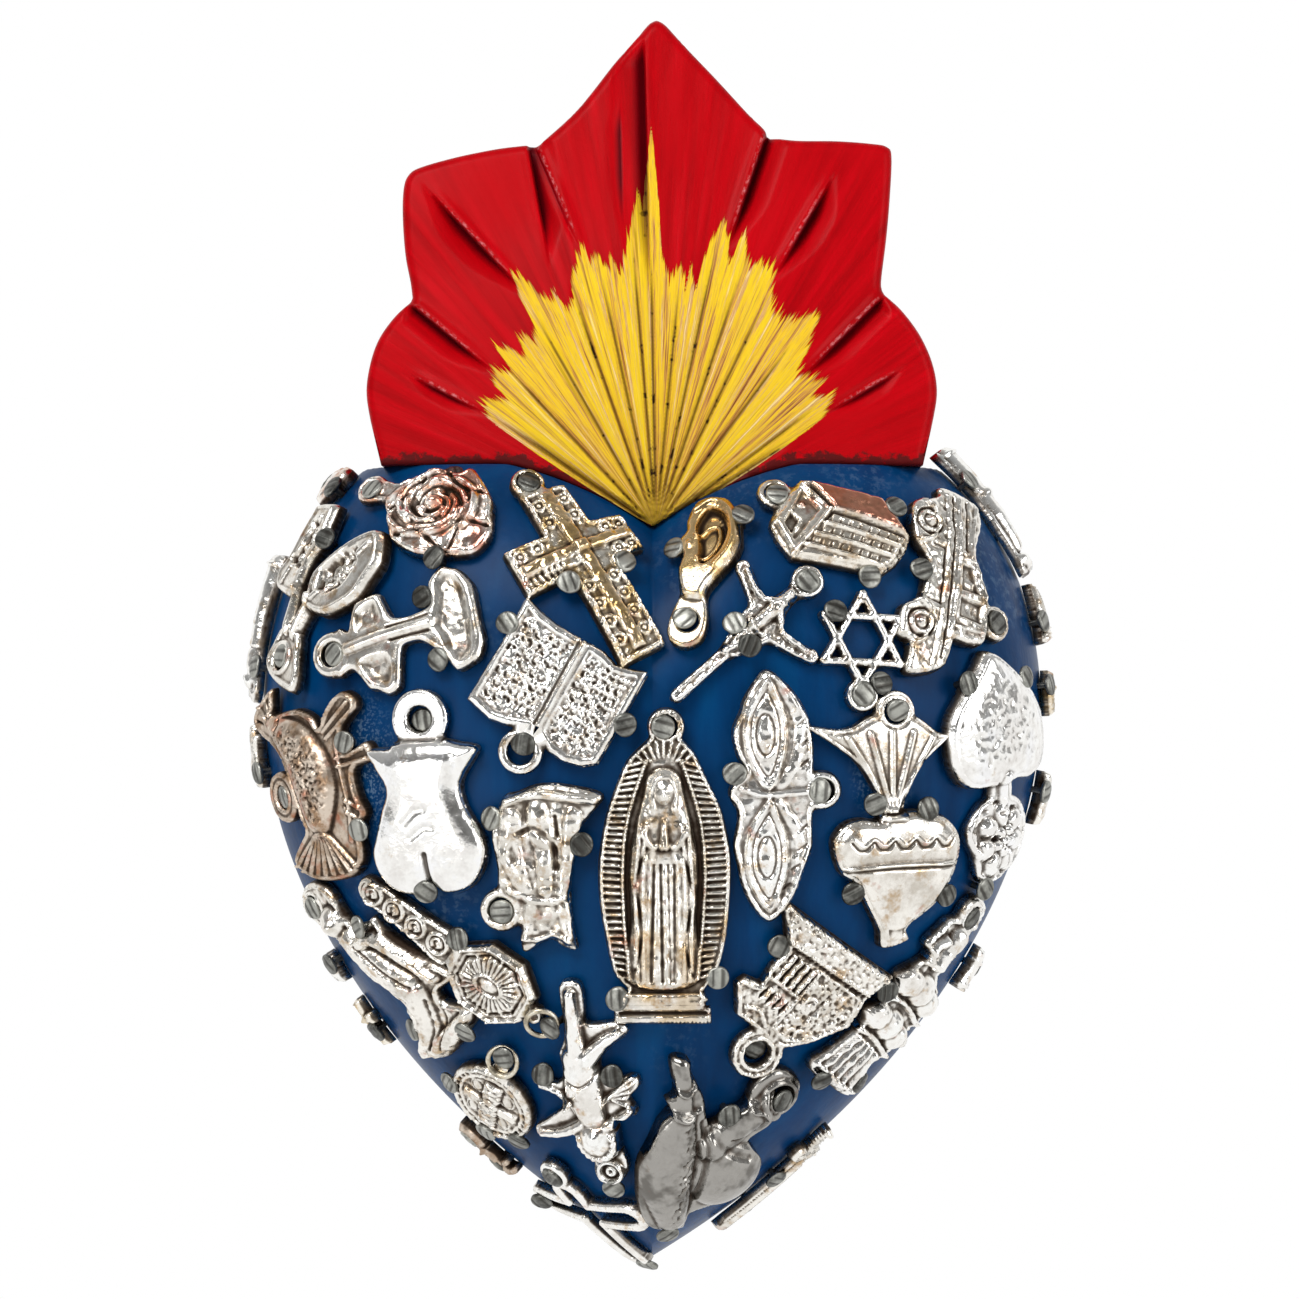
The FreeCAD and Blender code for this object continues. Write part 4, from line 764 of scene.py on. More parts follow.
def carveBook(r):
    leaves = [[-6.4, 5.9, -4.4, 5.1, -2, 4.7, 1, 4.5, 0.7, -6.4, -2.5, -7.4, -4.5, -7.6, -7.1, -6.8],
        [2.8, 4.5, 4.5, 4.3, 6.4, 3.6, 8.4, 4, 9.6, 4.5, 9.3, -7, 8.3, -7.6, 6, -8.1, 4, -7.8, 2.4, -6.8]]
    raised(r, bookLoop, 0.45, 0.5, False)
    for loop in leaves:
        inside = sunk(r, loop, 0.35, 0.3, False)
        grain(r, 0.45, 0.14, inside)
    # rows of small curls
    for row in range(7):
        for left, right, lift in ((-5.9, 0, 0), (3.4, 9, -0.3)):
            for x in np.arange(left + 0.4 * (row % 2), right, 1.15):
                turn, start = r["rng"].uniform(0, 6.3), r["rng"].uniform(0.6, 1)
                curl = [polar(x, 3.4 + lift - 1.5 * row, 0.42, 0.42, turn + start * k) for k in range(4)]
                each(line, r, (curl, 0.5, -0.4), ([(px + 0.3, py + 0.25) for px, py in curl], 0.4, 0.25))
    each(line, r, ([1.9, 5.2, 1.6, -6.8], 0.9, 0.5), ([1.2, 5, 0.9, -6.6], 0.4, -0.4))


# ear
earLoop = [-2.6, 3, -2.4, 5, -1.8, 6.4, -0.4, 7.1, 1.4, 7.1, 2.7, 6.4, 4, 4.5, 4.6, 2.5, 5, 0.5, 4.6, -1.5, 3.6, -3.5,
    2.2, -6, 1.5, -7.8, -0.9, -7.6, -2.1, -4.5, -2, -2, -2.9, 0, -2.3, 1.5]
ear = {"seat": (13, 37, 3), "seed": 11, "loops": [earLoop, [-1.6, -8.2, -2.2, -11.2, -1.8, -13, -0.4, -13.9, 1.2,
    -13.6, 2.3, -12.4, 2.6, -10.5, 2.2, -8.2, 1.2, -6.8, -0.8, -6.8]], "holes": [(0.2, -10.6, 1.35)]}


def carveEar(r):
    r["wash"] = 0.95 * np.clip(1.6 * raised(r, earLoop, 1, 0.9), 0, 1) * np.clip((r["y"] + 5.5) / 2, 0, 1)
    sunk(r, [-1.2, 2.4, -0.4, 5, 1, 5.3, 2.6, 4, 3.4, 1.4, 2.9, -1.4, 1.4, -3.4, 0.2, -3, -0.2, -0.6], 1.5, 0.7)
    each(line, r, ([-0.4, 0.6, 0.6, 2.2, 1.8, 2.4, 2.3, 0.4, 1.5, -1.8, 0.4, -2.6], 0.8, 0.8),
        ([-1.6, 4.6, 0.2, 6.2, 2.4, 5.2, 3.9, 2.2, 3.9, -0.8, 2.6, -3.4], 0.9, 0.35))
    each(blob, r, (-1.2, -0.6, 1, 1.3, 1.3, 15), (0.4, -5.4, 1.5, 1.7, 1.1, 10))
    for k in range(7):
        line(r, [1.2 + 0.28 * k, 6.4 - 0.75 * k, 0.9 + 0.24 * k, 5.4 - 0.62 * k], 0.25, -0.2)


# house seen from its corner
house = {"seat": (37, 40.8, 11), "seed": 12, "sharp": [[-5, 6, 0.4, 5.7, 5.6, 5.2, 7.6, 3.2, 9.4, 0.6, 8.9, -1.6, 7.9,
    -3.5, 6, -5.5, 3.5, -5.6, -5.6, -5.6, -7.5, -3.5, -8.6, -1.4, -8.5, -0.3, -7, 3.5]], **eyelet(-8.2, 3.6)}


def carveHouse(r):
    r["wash"] = 0.9 * raised(r, [-4.6, 5.7, 5.3, 4.9, 8.9, 0.6, -0.8, 1.9], 1, 0.5, False)
    gable = [-5.1, 5.2, -1.2, 1.7, -3, -1.4, -5.5, -5.2, -8.2, -1]
    raised(r, gable, 0.7, 0.35, False)
    sunk(r, [-5.2, 4.2, -2.4, 1.5, -3.8, -0.8, -5.6, -3.8, -7.2, -1], 0.4, 0.4, False)
    each(line, r, ([-5.3, 5, -1.2, 1.8], 0.7, 0.5), ([-1.2, 1.8, -3, -1.4, -5.4, -5.1], 0.7, 0.5, False),
        ([-5.3, 5, -7.2, 1.4, -8.2, -0.9], 0.6, 0.4))
    sunk(r, [-6.2, 0.6, -5, -0.4, -5.9, -2.6, -7, -1.4], 0.5, 0.3, False)
    line(r, [-6.3, 0.8, -5, -0.3, -5.9, -2.7], 0.35, 0.4, False)
    blob(r, -5, 1.8, 0.6, 0.6, 1.2, 0, 0.9)
    wall = [-0.9, 1.4, 8.7, 0, 7.4, -3.4, 5.6, -5.1, -5, -5.1, -2.8, -1.4]
    raised(r, wall, 0.5, 0.3, False)
    for left, right in (((-1.9, -0.3), (8.6, -1.5)), ((-3, -2), (7.8, -3.1)), ((-4.2, -3.7), (6.4, -4.7))):
        line(r, [left, right], 0.65, 0.55, False)
        for m in range(8):
            t = (m + 0.7) / 8.4
            x, y = left[0] + (right[0] - left[0]) * t, left[1] + (right[1] - left[1]) * t + 0.85
            line(r, [x - 0.2, y - 0.35, x - 0.05, y + 0.3], 0.3, -0.28, False)
    line(r, [-0.8, 1.8, 8.9, 0.5], 0.6, 0.5, False)
    grain(r, 0.9, 0.07)


# crucifix
crucifix = {"seat": (35, 22, 51), "seed": 13, "fillet": 0.7, "bars": [([0.3, 6, 0.2, 2, 0.6, -6], 2),
    ([0.6, -6, 0.9, -15], 1.7), ([-6.2, 1.6, -3.4, 0.6, -0.6, -0.6, 1, -2.6], 1.9),
    ([7.6, 0.9, 4.4, -0.6, 1.8, -1.6, 0.8, -3], 1.9)],
    "loops": [[-2, -0.9, -0.9, 1.8, 0.3, 4.4, 1.6, 2, 3, -0.6, 2.6, -4, 1.6, -6.6, 0.2, -7, -0.8, -5.4, -1.6, -3.2]],
    **eyelet(0.2, 6.6)}


def carveCrucifix(r):
    rimLine(r, 0.35, 0.5, 0.2)
    each(limb, r, ([0.3, 2.2, 0.4, -2], [2.2, 1.6], 1.5), ([0.4, -2, 1, -4.4, 0.4, -7.2], [1.5, 1.4, 0.9], 1.3),
        ([0, -2.2, 0.2, -4.8, 0.7, -7], [1.3, 1.1, 0.8], 1.1), ([0, 1.8, -2.6, 0.8, -5.6, 1.6], [1.2, 1, 0.8], 1.1),
        ([0.6, 1.6, 3.4, 0, 6.8, 0.8], [1.2, 1, 0.8], 1.1))
    blob(r, 0.2, 3.5, 0.95, 1.1, 1.7)
    each(line, r, ([-0.8, -2, 0.4, -2.6, 1.8, -2.3], 0.7, 0.5), ([-0.4, -3, 0.3, -3.4, 1.5, -3], 0.3, -0.3))
    grain(r, 0.55, 0.16)


# open star: two triangles of bar
def starBars(radius, width):
    bars = []
    for turn in (0, pi):
        corners = [polar(0, 0, radius, radius, turn + 2 * pi * k / 3) for k in (0, 1, 2, 0)]
        bars += [([corners[k], corners[k + 1]], width) for k in range(3)]
    return bars


star = {"seat": (57, 29, 3), "seed": 14, "fillet": 0.3, "bars": starBars(5.7, 1.05), **eyelet(0, -6.9)}


def carveBars(r):
    swell(r, 0.25, 0.45)


# pickup truck seen from its side
pickup = {"seat": (57, 50, 19), "seed": 15, "loops": [[-2.6, 12.3, -0.5, 12.6, 3.2, 12.1, 4.3, 10, 3.6, 6.4, 3.5, 4,
    4.6, 1, 5.5, -1, 5.8, -4, 5.5, -7, 3.4, -7.9, 0.9, -8.2, 0.6, -10, 0, -12, -2.5, -13.5, -4.8, -13.8, -5, -11, -5.4,
    -10, -6.9, -9.3, -7, -6, -5.6, -4.6, -4.5, -3.5, -4.3, 0, -4.2, 1.5, -6, 3.5, -6.6, 6.4, -6.3, 9, -4.2, 10.1, -2.8,
    11]], "bars": [([4.6, -2.4, 7.2, -3.6], 2)], **eyelet(7.2, -3.6, 2.3)}


def carvePickup(r):
    swell(r, 0.5, 0.6)
    for y in (6.6, -7.4):
        blob(r, -4.3, y, 2.4, 2.5, 0.9)
        each(ringLine, r, (-4.3, y, 1.75, 0.5, -0.5), (-4.3, y, 0.9, 0.4, -0.35))
        blob(r, -4.3, y, 0.55, 0.6, 1.4)
        arch = [polar(-5.9, y, 2.9, 3.1, a) for a in np.linspace(0.1, 3.04, 9)]
        line(r, arch, 0.6, 0.5)
    each(line, r, ([-1.7, 11.4, -1.4, 4, -1.6, -4, -1.9, -12.4], 0.5, 0.45),
        ([-0.6, 11.4, -0.4, 4, -0.6, -4, -0.8, -11], 0.45, -0.45), ([0.3, 11.4, 0.5, 4, 0.2, -4, 0, -9], 0.5, 0.35),
        ([3.2, 11.2, 2.6, 8, 2.3, 3.6], 0.5, 0.35), ([1.6, 11.4, 1.6, 4.2], 0.5, -0.35))
    for pane in ([1, 2.4, 2.6, 2.6, 4.3, -1.2, 1, -1.4], [1, -2.1, 4.6, -2.1, 4.7, -5, 1, -5]):
        sunk(r, pane, 0.6, 0.35, False)
    each(line, r, ([0.4, 2.9, 2.9, 3.2, 4.9, -1.2, 5.2, -6, 0.6, -6.4], 0.4, 0.35, False),
        ([-3.6, 3.6, -1.9, 3.4, -1.9, -4.2, -3.8, -4], 0.4, -0.35, False))
    grain(r, 0.7, 0.12)
    grain(r, 2.4, 0.12)


# heart with a flame
heartPart = [-1.4, 4.6, 2, 5, 4, 4.6, 6.5, 4, 8.5, 2, 9, -0.5, 8, -4, 6, -7, 4, -8.5, 2, -10, 2.3, -11.6, -1.3, -12.4,
    -2, -10, -4, -6.5, -5.5, -4, -7.5, -2.5, -8.5, 0, -8.5, 2, -7, 3.7, -5, 4.2, -3, 4]
fanPart = [-11.5, 15.5, -8, 15.2, -6, 15.5, -3, 16.9, 2, 16.7, 5.6, 14.4, 7.2, 14, 4.2, 11.5, 2, 9, 0.8, 5.5, 0.9, 3.4,
    -2.6, 3.4, -2.2, 5.5, -3.5, 8, -5.5, 11, -8, 13]
flamingHeart = {"seat": (107, 35, -2), "seed": 16, "loops": [heartPart, fanPart], "fillet": 0.5,
    **eyelet(-0.4, 17.2, 2.6, 1.45)}


def carveFlamingHeart(r):
    inside = raised(r, heartPart, 1.5, 3.2)
    each(line, r, ([-7.4, -1.9, -3, -1.5, 2, -1.5, 7.6, -1.7], 0.45, 0.45),
        ([-7.4, -2.4, -3, -2, 2, -2, 7.6, -2.2], 0.4, -0.25))
    for k in range(5):
        x = -5.4 + 2.9 * k
        each(line, r, ([x - 1.3, 1.5, x - 0.5, 0.6, x + 0.5, 0.6, x + 1.3, 1.5], 0.45, -0.3),
            ([x - 1.3, 1.9, x, 1.1, x + 1.3, 1.9], 0.4, 0.25))
    grain(r, 2.6, 0.09, inside)
    rimLine(r, 0.5, 0.5, -0.25)
    for x in (-9.6, -6.8, -3.9, -1, 1.9, 4.8):
        y = 14.9 - 0.02 * (x + 1) ** 2
        line(r, [-0.9 + 0.09 * x, 5.2, 0.55 * x - 0.4, 10, x, y], 0.85, 0.5)
    line(r, [-2.2, 4.4, 0.6, 4.4], 0.8, 0.7)
    sunk(r, [-1.2, -9.6, 1.6, -9.6, 1.8, -11.6, -0.9, -11.9], 0.4, 0.4, False)


# a pair of eyes
eyePair = {"seat": (99, 13, -1), "seed": 17, "loops": [[-0.5, 15.5, 2, 13.6, 3.5, 11.5, 4.5, 9.5, 5, 6.5, 5, 4, 4.8, 2,
    5.2, 0, 4.8, -2.5, 4.7, -6.5, 3.5, -9.5, 2, -13, -0.5, -15.5, -2.5, -14, -4, -11, -4.5, -8.5, -5, -6, -4.5, -3,
    -4.6, -1.5, -5.5, 0, -5.2, 1.5, -3.5, 3, -4.5, 5, -5, 8, -4, 10.5, -3.5, 12, -2, 14.3]],
    "bars": [([4, 0.4, 6, 0.6], 3.2)], **eyelet(6.1, 0.6, 2.4)}


def carveEyes(r):
    for y in (7.6, -7.4):
        lid = [(-0.6, y + 7), (-2.9, y + 3.4), (-3.5, y), (-2.9, y - 3.4), (-0.6, y - 6.6), (1, y - 3.2), (1.5, y),
            (1, y + 3.4), (-0.6, y + 7)]
        raised(r, lid[:-1], 0.55, 0.8)
        each(line, r, (lid, 0.7, 0.45), ([(x * 0.72 - 0.28, y + (v - y) * 0.78) for x, v in lid], 0.3, -0.35))
        blob(r, -1, y, 1.7, 3.6, 0.8)
        ringLine(r, -1, y, 1.15, 0.4, -0.35, 2.2)
        # the wavy brow beside it
        brow = [0.4, y + 6.6, 2.3, y + 4, 3.3, y + 1.4, 3.2, y - 1.6, 2.4, y - 4.2, 0.8, y - 6.2]
        line(r, brow, 1.5, 0.35)
    line(r, [-3.8, 1, -1.2, 0.2, 2.4, 0.4, 4.2, 0.5], 0.9, 0.4)
    rimLine(r, 0.45, 0.5, 0.3)
    for x, y in ((4, 9), (4.3, 6.5), (4.3, 4), (4, -4), (3.8, -6.4), (3, -8.8), (1.8, -11.2)):
        line(r, [x - 0.9, y - 0.3, x + 0.1, y + 0.4], 0.4, -0.3, False)
    grain(r, 1.1, 0.12)


# robed praying figure in rays, on a plain plinth
robed = {"seat": (173, 7, 0), "seed": 18, "loops": [[-1.2, 17, -1.8, 15.8, -4.5, 13, -6, 9.4, -7.1, 6, -7.9, 1, -7.9,
    -3, -7.4, -7, -6.5, -11.5, -5.8, -13.4, -4.4, -15, -4.4, -16.6, 4.9, -16.6, 4.9, -15.4, 5.8, -14, 7, -11.8, 7.8,
    -8, 8.2, -3, 8.2, 1, 7.8, 4, 6.9, 7.5, 5, 11.5, 3.8, 14, 2.2, 15.8, 1.2, 17]],
    "sharp": [[-6, -17.2, 5.9, -17.2, 6, -19.4, -6, -19.3], [-5, -15.4, 5, -15.4, 5.2, -17.6, -5.2, -17.6]],
    "fillet": 0.4, **eyelet(0.3, 17.2, 2.3)}


def carveRobed(r):
    # border of short rays all round, with a plain edge line and an inner line
    outer = [(-5.2, 12.2), (-6.9, 6.4), (-7.5, 0.4), (-7, -6.6), (-5.6, -13.2)]
    inner = [(-2.2, 13), (-4.3, 6.4), (-5, 0.2), (-4.8, -6.6), (-4.2, -13.6)]
    for mirror in (1, -1):
        a, b = smoothPath([(x * mirror, y) for x, y in outer], 8), smoothPath([(x * mirror, y) for x, y in inner], 8)
        for k in range(len(a)):
            line(r, [a[k], b[k]], 0.52, 0.6, False)
        line(r, [(x * mirror, y) for x, y in inner], 0.55, 0.75)
    for k in range(9):
        angle = -0.9 + 0.225 * k
        line(r, [polar(0, 11, 2.6, 2.6, angle), polar(0, 11.2, 4.4, 4.3, angle)], 0.36, 0.55, False)
    rimLine(r, 0.3, 0.5, 0.55)
    # the mantle, open over a straight robe
    mantle = [0, 12.3, 1.9, 11.3, 2.6, 8.6, 3.6, 4.6, 4.2, 0, 4, -6.5, 4.1, -14.2, -4.1, -14.2, -4, -6.5, -4.2, 0,
        -3.6, 4.6, -2.6, 8.6, -1.9, 11.3]
    raised(r, mantle, 1.3, 1.6)
    sunk(r, [0, 4, 1.6, 1.2, 1.9, -6, 2, -14, -2, -14, -1.9, -6, -1.6, 1.2], 0.35, 0.7)
    for x0, x1, deep in ((-1.2, -1.5, -0.3), (-0.4, -0.1, -0.42), (0.5, 0.9, -0.28), (1.3, 1.3, -0.3)):
        line(r, [x0, 0.4, (x0 + x1) / 2, -6.5, x1, -14], 0.5, deep)
    for x0, x1 in ((-2.2, -2.4), (-3, -3.2), (2.2, 2.5), (3, 3.3)):
        line(r, [x0, 5.2, x0 * 1.15, -1, x1 * 1.05, -7.5, x1, -14], 0.6, 0.45)
    lines(r, 0.4, -0.5, [-1.9, 3.2, -3.4, -1.8, -2.6, -7.6, -3.4, -12.5], [2.1, 2.6, 3.5, -3.4, 2.6, -9, 3.5, -13.2])
    # bowed head under the veil, and joined hands
    each(blob, r, (0, 9.3, 1.9, 2.4, 1.9), (0, 9, 1.15, 1.6, 2.3))
    each(line, r, ([-1.3, 7.2, -1.5, 9.4, -0.8, 11, 0.8, 11, 1.5, 9.4, 1.3, 7.2], 0.5, 0.3),
        ([-0.5, 9.35, -0.15, 9.3], 0.2, -0.2, False), ([0.15, 9.3, 0.5, 9.35], 0.2, -0.2, False),
        ([0, 9.1, 0, 8.6], 0.22, 0.15, False), ([-0.25, 8.15, 0.25, 8.15], 0.2, -0.15, False))
    each(limb, r, ([-2.6, 4.4, -1.4, 2.6, 0, 3.6], [1.5, 1.3, 0.9], 2),
        ([2.6, 4.4, 1.4, 2.6, 0, 3.6], [1.5, 1.3, 0.9], 2), ([-0.25, 2.6, -0.1, 6], [1, 0.5], 2.5),
        ([0.25, 2.6, 0.1, 6], [1, 0.5], 2.5))
    raised(r, [-5.6, -15.4, 5.6, -15.4, 5.6, -17.2, -5.6, -17.2], 0.7, 0.5, False)
    line(r, [-5.6, -18.5, 5.6, -18.5], 0.9, 0.8, False)
    r["wash"] = 0.45 * np.clip(gridNoise(r, 2.4) * 1.8 - 0.05 * r["y"] - 0.3, 0, 1)
    grain(r, 0.9, 0.1)


# torso, polished smooth
torsoLoop = [-2.9, 7.4, -4.4, 6.7, -7.3, 6.5, -6.2, 4, -5, 1.5, -6, -1.5, -7, -4.5, -7.6, -6.5, -7, -9, -5, -11.1, -2,
    -11.7, 0, -10.5, 2, -11.7, 5, -11.1, 7, -8.7, 7.6, -6.2, 7, -4, 5.5, -1, 5, 1.5, 5.7, 3.2, 7.5, 6.1, 5, 7, 2.9,
    7.4]
torso = {"seat": (264, 29, -3), "seed": 19, "loops": [torsoLoop], **eyelet(0, 10, 3.7, 1.65)}


def carveTorso(r):
    raised(r, torsoLoop, 1.6, 3)
    each(line, r, ([0.1, -10.4, 0, -8.4, -0.1, -6.6], 1, -0.7), ([4.4, 5, 3.9, 2, 4.6, -1.2], 1.6, -0.14),
        ([-2.4, -2.6, -0.8, -1.2, 0.4, -0.9], 1.3, -0.1), ([-1.6, -4.4, 0.2, -3.2, 1.2, -3.3], 1.3, -0.12))
    grain(r, 3.4, 0.06)


# bodice with a flared foot
bodiceLoop = [-3.2, 8.4, -0.5, 9.5, 3, 9.6, 7.4, 8.6, 6, 6, 5, 4.5, 4.5, 1.5, 4, -1.5, 4, -4, 4.5, -8, 5.1, -10.6, 3.4,
    -10.4, 1.5, -9.6, -1.4, -11.4, -2, -9.8, -2, -8.4, -3.6, -5, -5, -3.4, -5.2, -1, -5.8, 1.5, -6, 3.4, -5.2, 5.5,
    -5.3, 6.6, -4.5, 8]
bodice = {"seat": (233, 16, 3), "seed": 20, "loops": [bodiceLoop], **eyelet(-4.5, -6.3, 2.7, 1.4)}


def carveBodice(r):
    swell(r, 0.5, 1.6)
    line(r, [-4.4, 7.2, -1, 8.3, 3, 8.2, 6.4, 8], 1.2, 0.5)
    each(limb, r, ([4, 6, 3.6, 1, 3, -4], [2.8, 2.2, 1.8], 1.1), ([-0.4, 6.2, 0.6, 1.4, 1, -3.6], [3.6, 3, 2.2], 1.3),
        ([-3.6, 5.2, -3.4, 0.8, -1.6, -3.4], [3.2, 3.6, 2.6], 1.2))
    each(line, r, ([-2.6, 3.4, -0.6, 4.2, 1.6, 2.4, 2.2, -0.6], 0.9, -0.4), ([1.8, 5.8, 2.2, 3.4], 0.6, -0.4))
    sunk(r, [-4.3, 1.4, -3.2, 2.4, -2.2, 1, -2.6, -0.6, -3.8, -0.4], 0.5, 0.9)
    line(r, [-3.6, -3.8, 0, -4.8, 3.8, -4.4], 1, 0.4)
    each(limb, r, ([-0.6, -5.4, -1.2, -9.8], [2, 1.6], 0.9), ([3.2, -5.2, 4, -9.4], [2, 1.8], 0.9))
    line(r, [-1.8, -9.6, 0.4, -9.6, 2.2, -8.8, 4.6, -9.8], 0.8, 0.45)
    grain(r, 1.3, 0.22)


# fish
fishLoop = [-11.2, 8.6, -11, 10.2, -8, 12.2, -5.9, 13.2, -5.8, 11, -5.5, 10, -0.5, 10.5, 2.5, 9.5, 4, 8, 5.6, 10.6,
    7.5, 12.2, 9.4, 11.5, 9.8, 10, 7.6, 7.5, 8, 4.6, 11, 5.8, 11.9, 3.5, 9, 2.5, 9, -0.5, 9.8, -3, 8.5, -5, 8.2, -8,
    7.5, -9.5, 5.5, -11, 1, -11.5, -3, -11, -5.8, -9, -3.4, -6.6, -1.5, -5, -2, -3.2, -4, 3.5, -6.3, 6, -8.6, 7]
fish = {"seat": (267, 55, -3), "seed": 21, "loops": [fishLoop], **eyelet(-5.6, -0.6, 3.3, 1.5), "hug": 0.75}


def carveFish(r):
    body = [-6.6, 9.4, -2.6, 9.6, 1.6, 8.4, 5, 4.8, 6, 0.6, 4.6, -3.4, 3, -5.4, 0.4, -4.8, -0.8, -1.6, -2.6, 3.6, -5.4,
        7.2]
    inside = raised(r, body, 1.4, 2.4)
    for row in range(13):
        for k in range(9):
            x = -4.6 + 1.2 * k + (0.6 if row % 2 else 0)
            y = 8 - 1 * row
            line(r, [x - 0.45, y + 0.25, x, y - 0.2, x + 0.45, y + 0.25], 0.3, 0.12, False, inside)
    grain(r, 0.36, 0.26, inside)
    line(r, [-4, 7.6, -3.2, 8.8, -3.6, 9.4], 0.4, -0.5)
    ringLine(r, -7.2, 9.4, 0.55, 0.35, 0.3)
    line(r, [-10.6, 9.2, -8.6, 8.8], 0.35, -0.5)
    for x in (-5.4, -3.8, -2.2, -0.6, 1, 2.6, 4.2, 5.8, 7.2):
        line(r, [2 + 0.18 * x, -5.4, x, -10.6 + 0.02 * (x - 1) ** 2], 0.5, 0.6)
    for fin in (((4.6, 7.4), (8.6, 10.9)), ((5, 6.6), (9.2, 9.6)), ((4, 8), (7, 11.4)), ((6.4, 4), (10.6, 5)),
            ((6.6, 3), (11, 3.8)), ((7, -1), (9.2, -2.4)), ((6.8, -2.2), (8.8, -3.8)), ((-4.4, 11.8), (-4.8, 10.2)),
            ((-7.6, 11.8), (-6.4, 9.8)), ((-9.4, 11), (-7.4, 9.4))):
        line(r, list(fin), 0.45, 0.45, False)
    line(r, [6.6, 6.2, 7.2, 1.6, 7.6, -2.4, 7, -6.4], 0.6, 0.4)
    rimLine(r, 0.4, 0.5, 0.3)


# medal hanging from a bar
def ringOf(x, y, radius, count, turn=0):
    return [polar(x, y, radius, radius, turn + 2 * pi * k / count) for k in range(count)]


octagon = [(2.4 + 0.86 * (x - 2.4), -9.4 + 1.02 * (y + 9.4)) for x, y in ringOf(2.4, -9.4, 6.2, 8, pi / 8)]
barMedal = {"seat": (232, 43, -52), "seed": 22, "fillet": 0.5, "discs": [(2.2, -16, 1.15)], "sharp": [octagon],
    "loops": [[0.4, -3.2, 0.6, 2, 0.8, 6, 0.6, 10, 1.6, 11.6, 3.2, 11.6, 4.1, 10.4, 4.5, 7, 4.8, 1, 4.9, -3.2]]}


def carveBarMedal(r):
    for y in (9.4, 5.9, 2.4, -1.1):
        x = 2.5 + 0.02 * (9.4 - y)
        ringLine(r, x, y, 1.35, 0.55, 0.6)
        line(r, [x - 0.6, y + 0.5, x + 0.1, y + 0.8, x + 0.7, y + 0.1, x + 0.1, y - 0.6, x - 0.4, y - 0.2], 0.4, 0.55)
        blob(r, x + 0.1, y, 0.35, 0.35, 0.6)
    raised(r, octagon, 0.35, 0.4, False)
    for k in range(8):
        a, b = octagon[k], octagon[(k + 1) % 8]
        for share in (0.88, 0.72):
            pa = (2.4 + (a[0] - 2.4) * share, -9.4 + (a[1] + 9.4) * share)
            pb = (2.4 + (b[0] - 2.4) * share, -9.4 + (b[1] + 9.4) * share)
            line(r, [pa, pb], 0.4, 0.45 if share > 0.8 else -0.4, False)
    for k in range(28):
        angle = 2 * pi * k / 28
        near, far = 1.7, 4 if k % 2 else 3.4
        line(r, [polar(2.4, -9.4, 0.7 * near, near, angle), polar(2.4, -9.4, far, far, angle)], 0.36, 0.45, False)
    blob(r, 2.4, -9.4, 1.2, 2.2, 0.8)
    ringLine(r, 2.4, -9.4, 1.15, 0.4, 0.35, 1.7)
    rimLine(r, 0.35, 0.5, 0.35)
    grain(r, 0.6, 0.1)


# kneeling figure
kneeling = {"seat": (234, 61, -40), "seed": 23, "loops": [[1, 14, 4, 13.5, 6, 11.5, 6.3, 9.5, 5.6, 7, 5.6, 3.4, 9.3,
    3.3, 9.2, 0.5, 10.6, -6.5, 11.2, -9.8, 7.6, -9, 6.9, -10.6, 8.3, -12.8, 8.6, -14.2, 6.4, -14.8, -1, -14.2, -3.9,
    -10.6, 0.5, -9.2, 2.8, -8.5, 1.6, -6, 1.4, -2, 1.2, 1.5, 1.4, 4.5, 0.6, 7.5, -1, 10, -2.4, 13]],
    **eyelet(1.4, 11.6, 2.5, 1.3), "hug": 0.7}


def carveKneeling(r):
    each(limb, r, ([3.4, 4.6, 3.8, 0, 5.2, -5.6], [3.2, 4.2, 4.6], 1.9),
        ([5.2, -6.8, 1.6, -10.8, -2.6, -11.4], [4.2, 3.6, 2], 1.8),
        ([-1, -12.4, 3.4, -13.4, 7.4, -13.8], [2.4, 2.4, 1.8], 1.3), ([5.2, 2.6, 8, 0.6, 9.6, -8], [2, 1.8, 1.3], 1.7))
    each(blob, r, (3.4, 7.6, 2, 2.3, 2.1), (4, 7.2, 1, 1.2, 2.5))
    line(r, [1.6, 9, 1.3, 7, 2, 5.4], 0.8, 0.4)
    for path in ([2.4, 3, 3.2, -2, 4, -6.6], [4.4, 3, 5.2, -2, 6.4, -6.2], [6, -8.4, 3, -11.4, -0.6, -12.2],
            [6.8, -9.8, 4, -12.4, 0.4, -13.4]):
        line(r, path, 0.5, -0.45)
    rimLine(r, 0.4, 0.5, 0.3)
    grain(r, 0.8, 0.12)


# round medal with a plain cross of lattice
roundMedal = {"seat": (206, 57, 36), "seed": 24, "fillet": 0.5, "discs": [(0.3, 0, 6), (0.3, 6.6, 1.15)]}


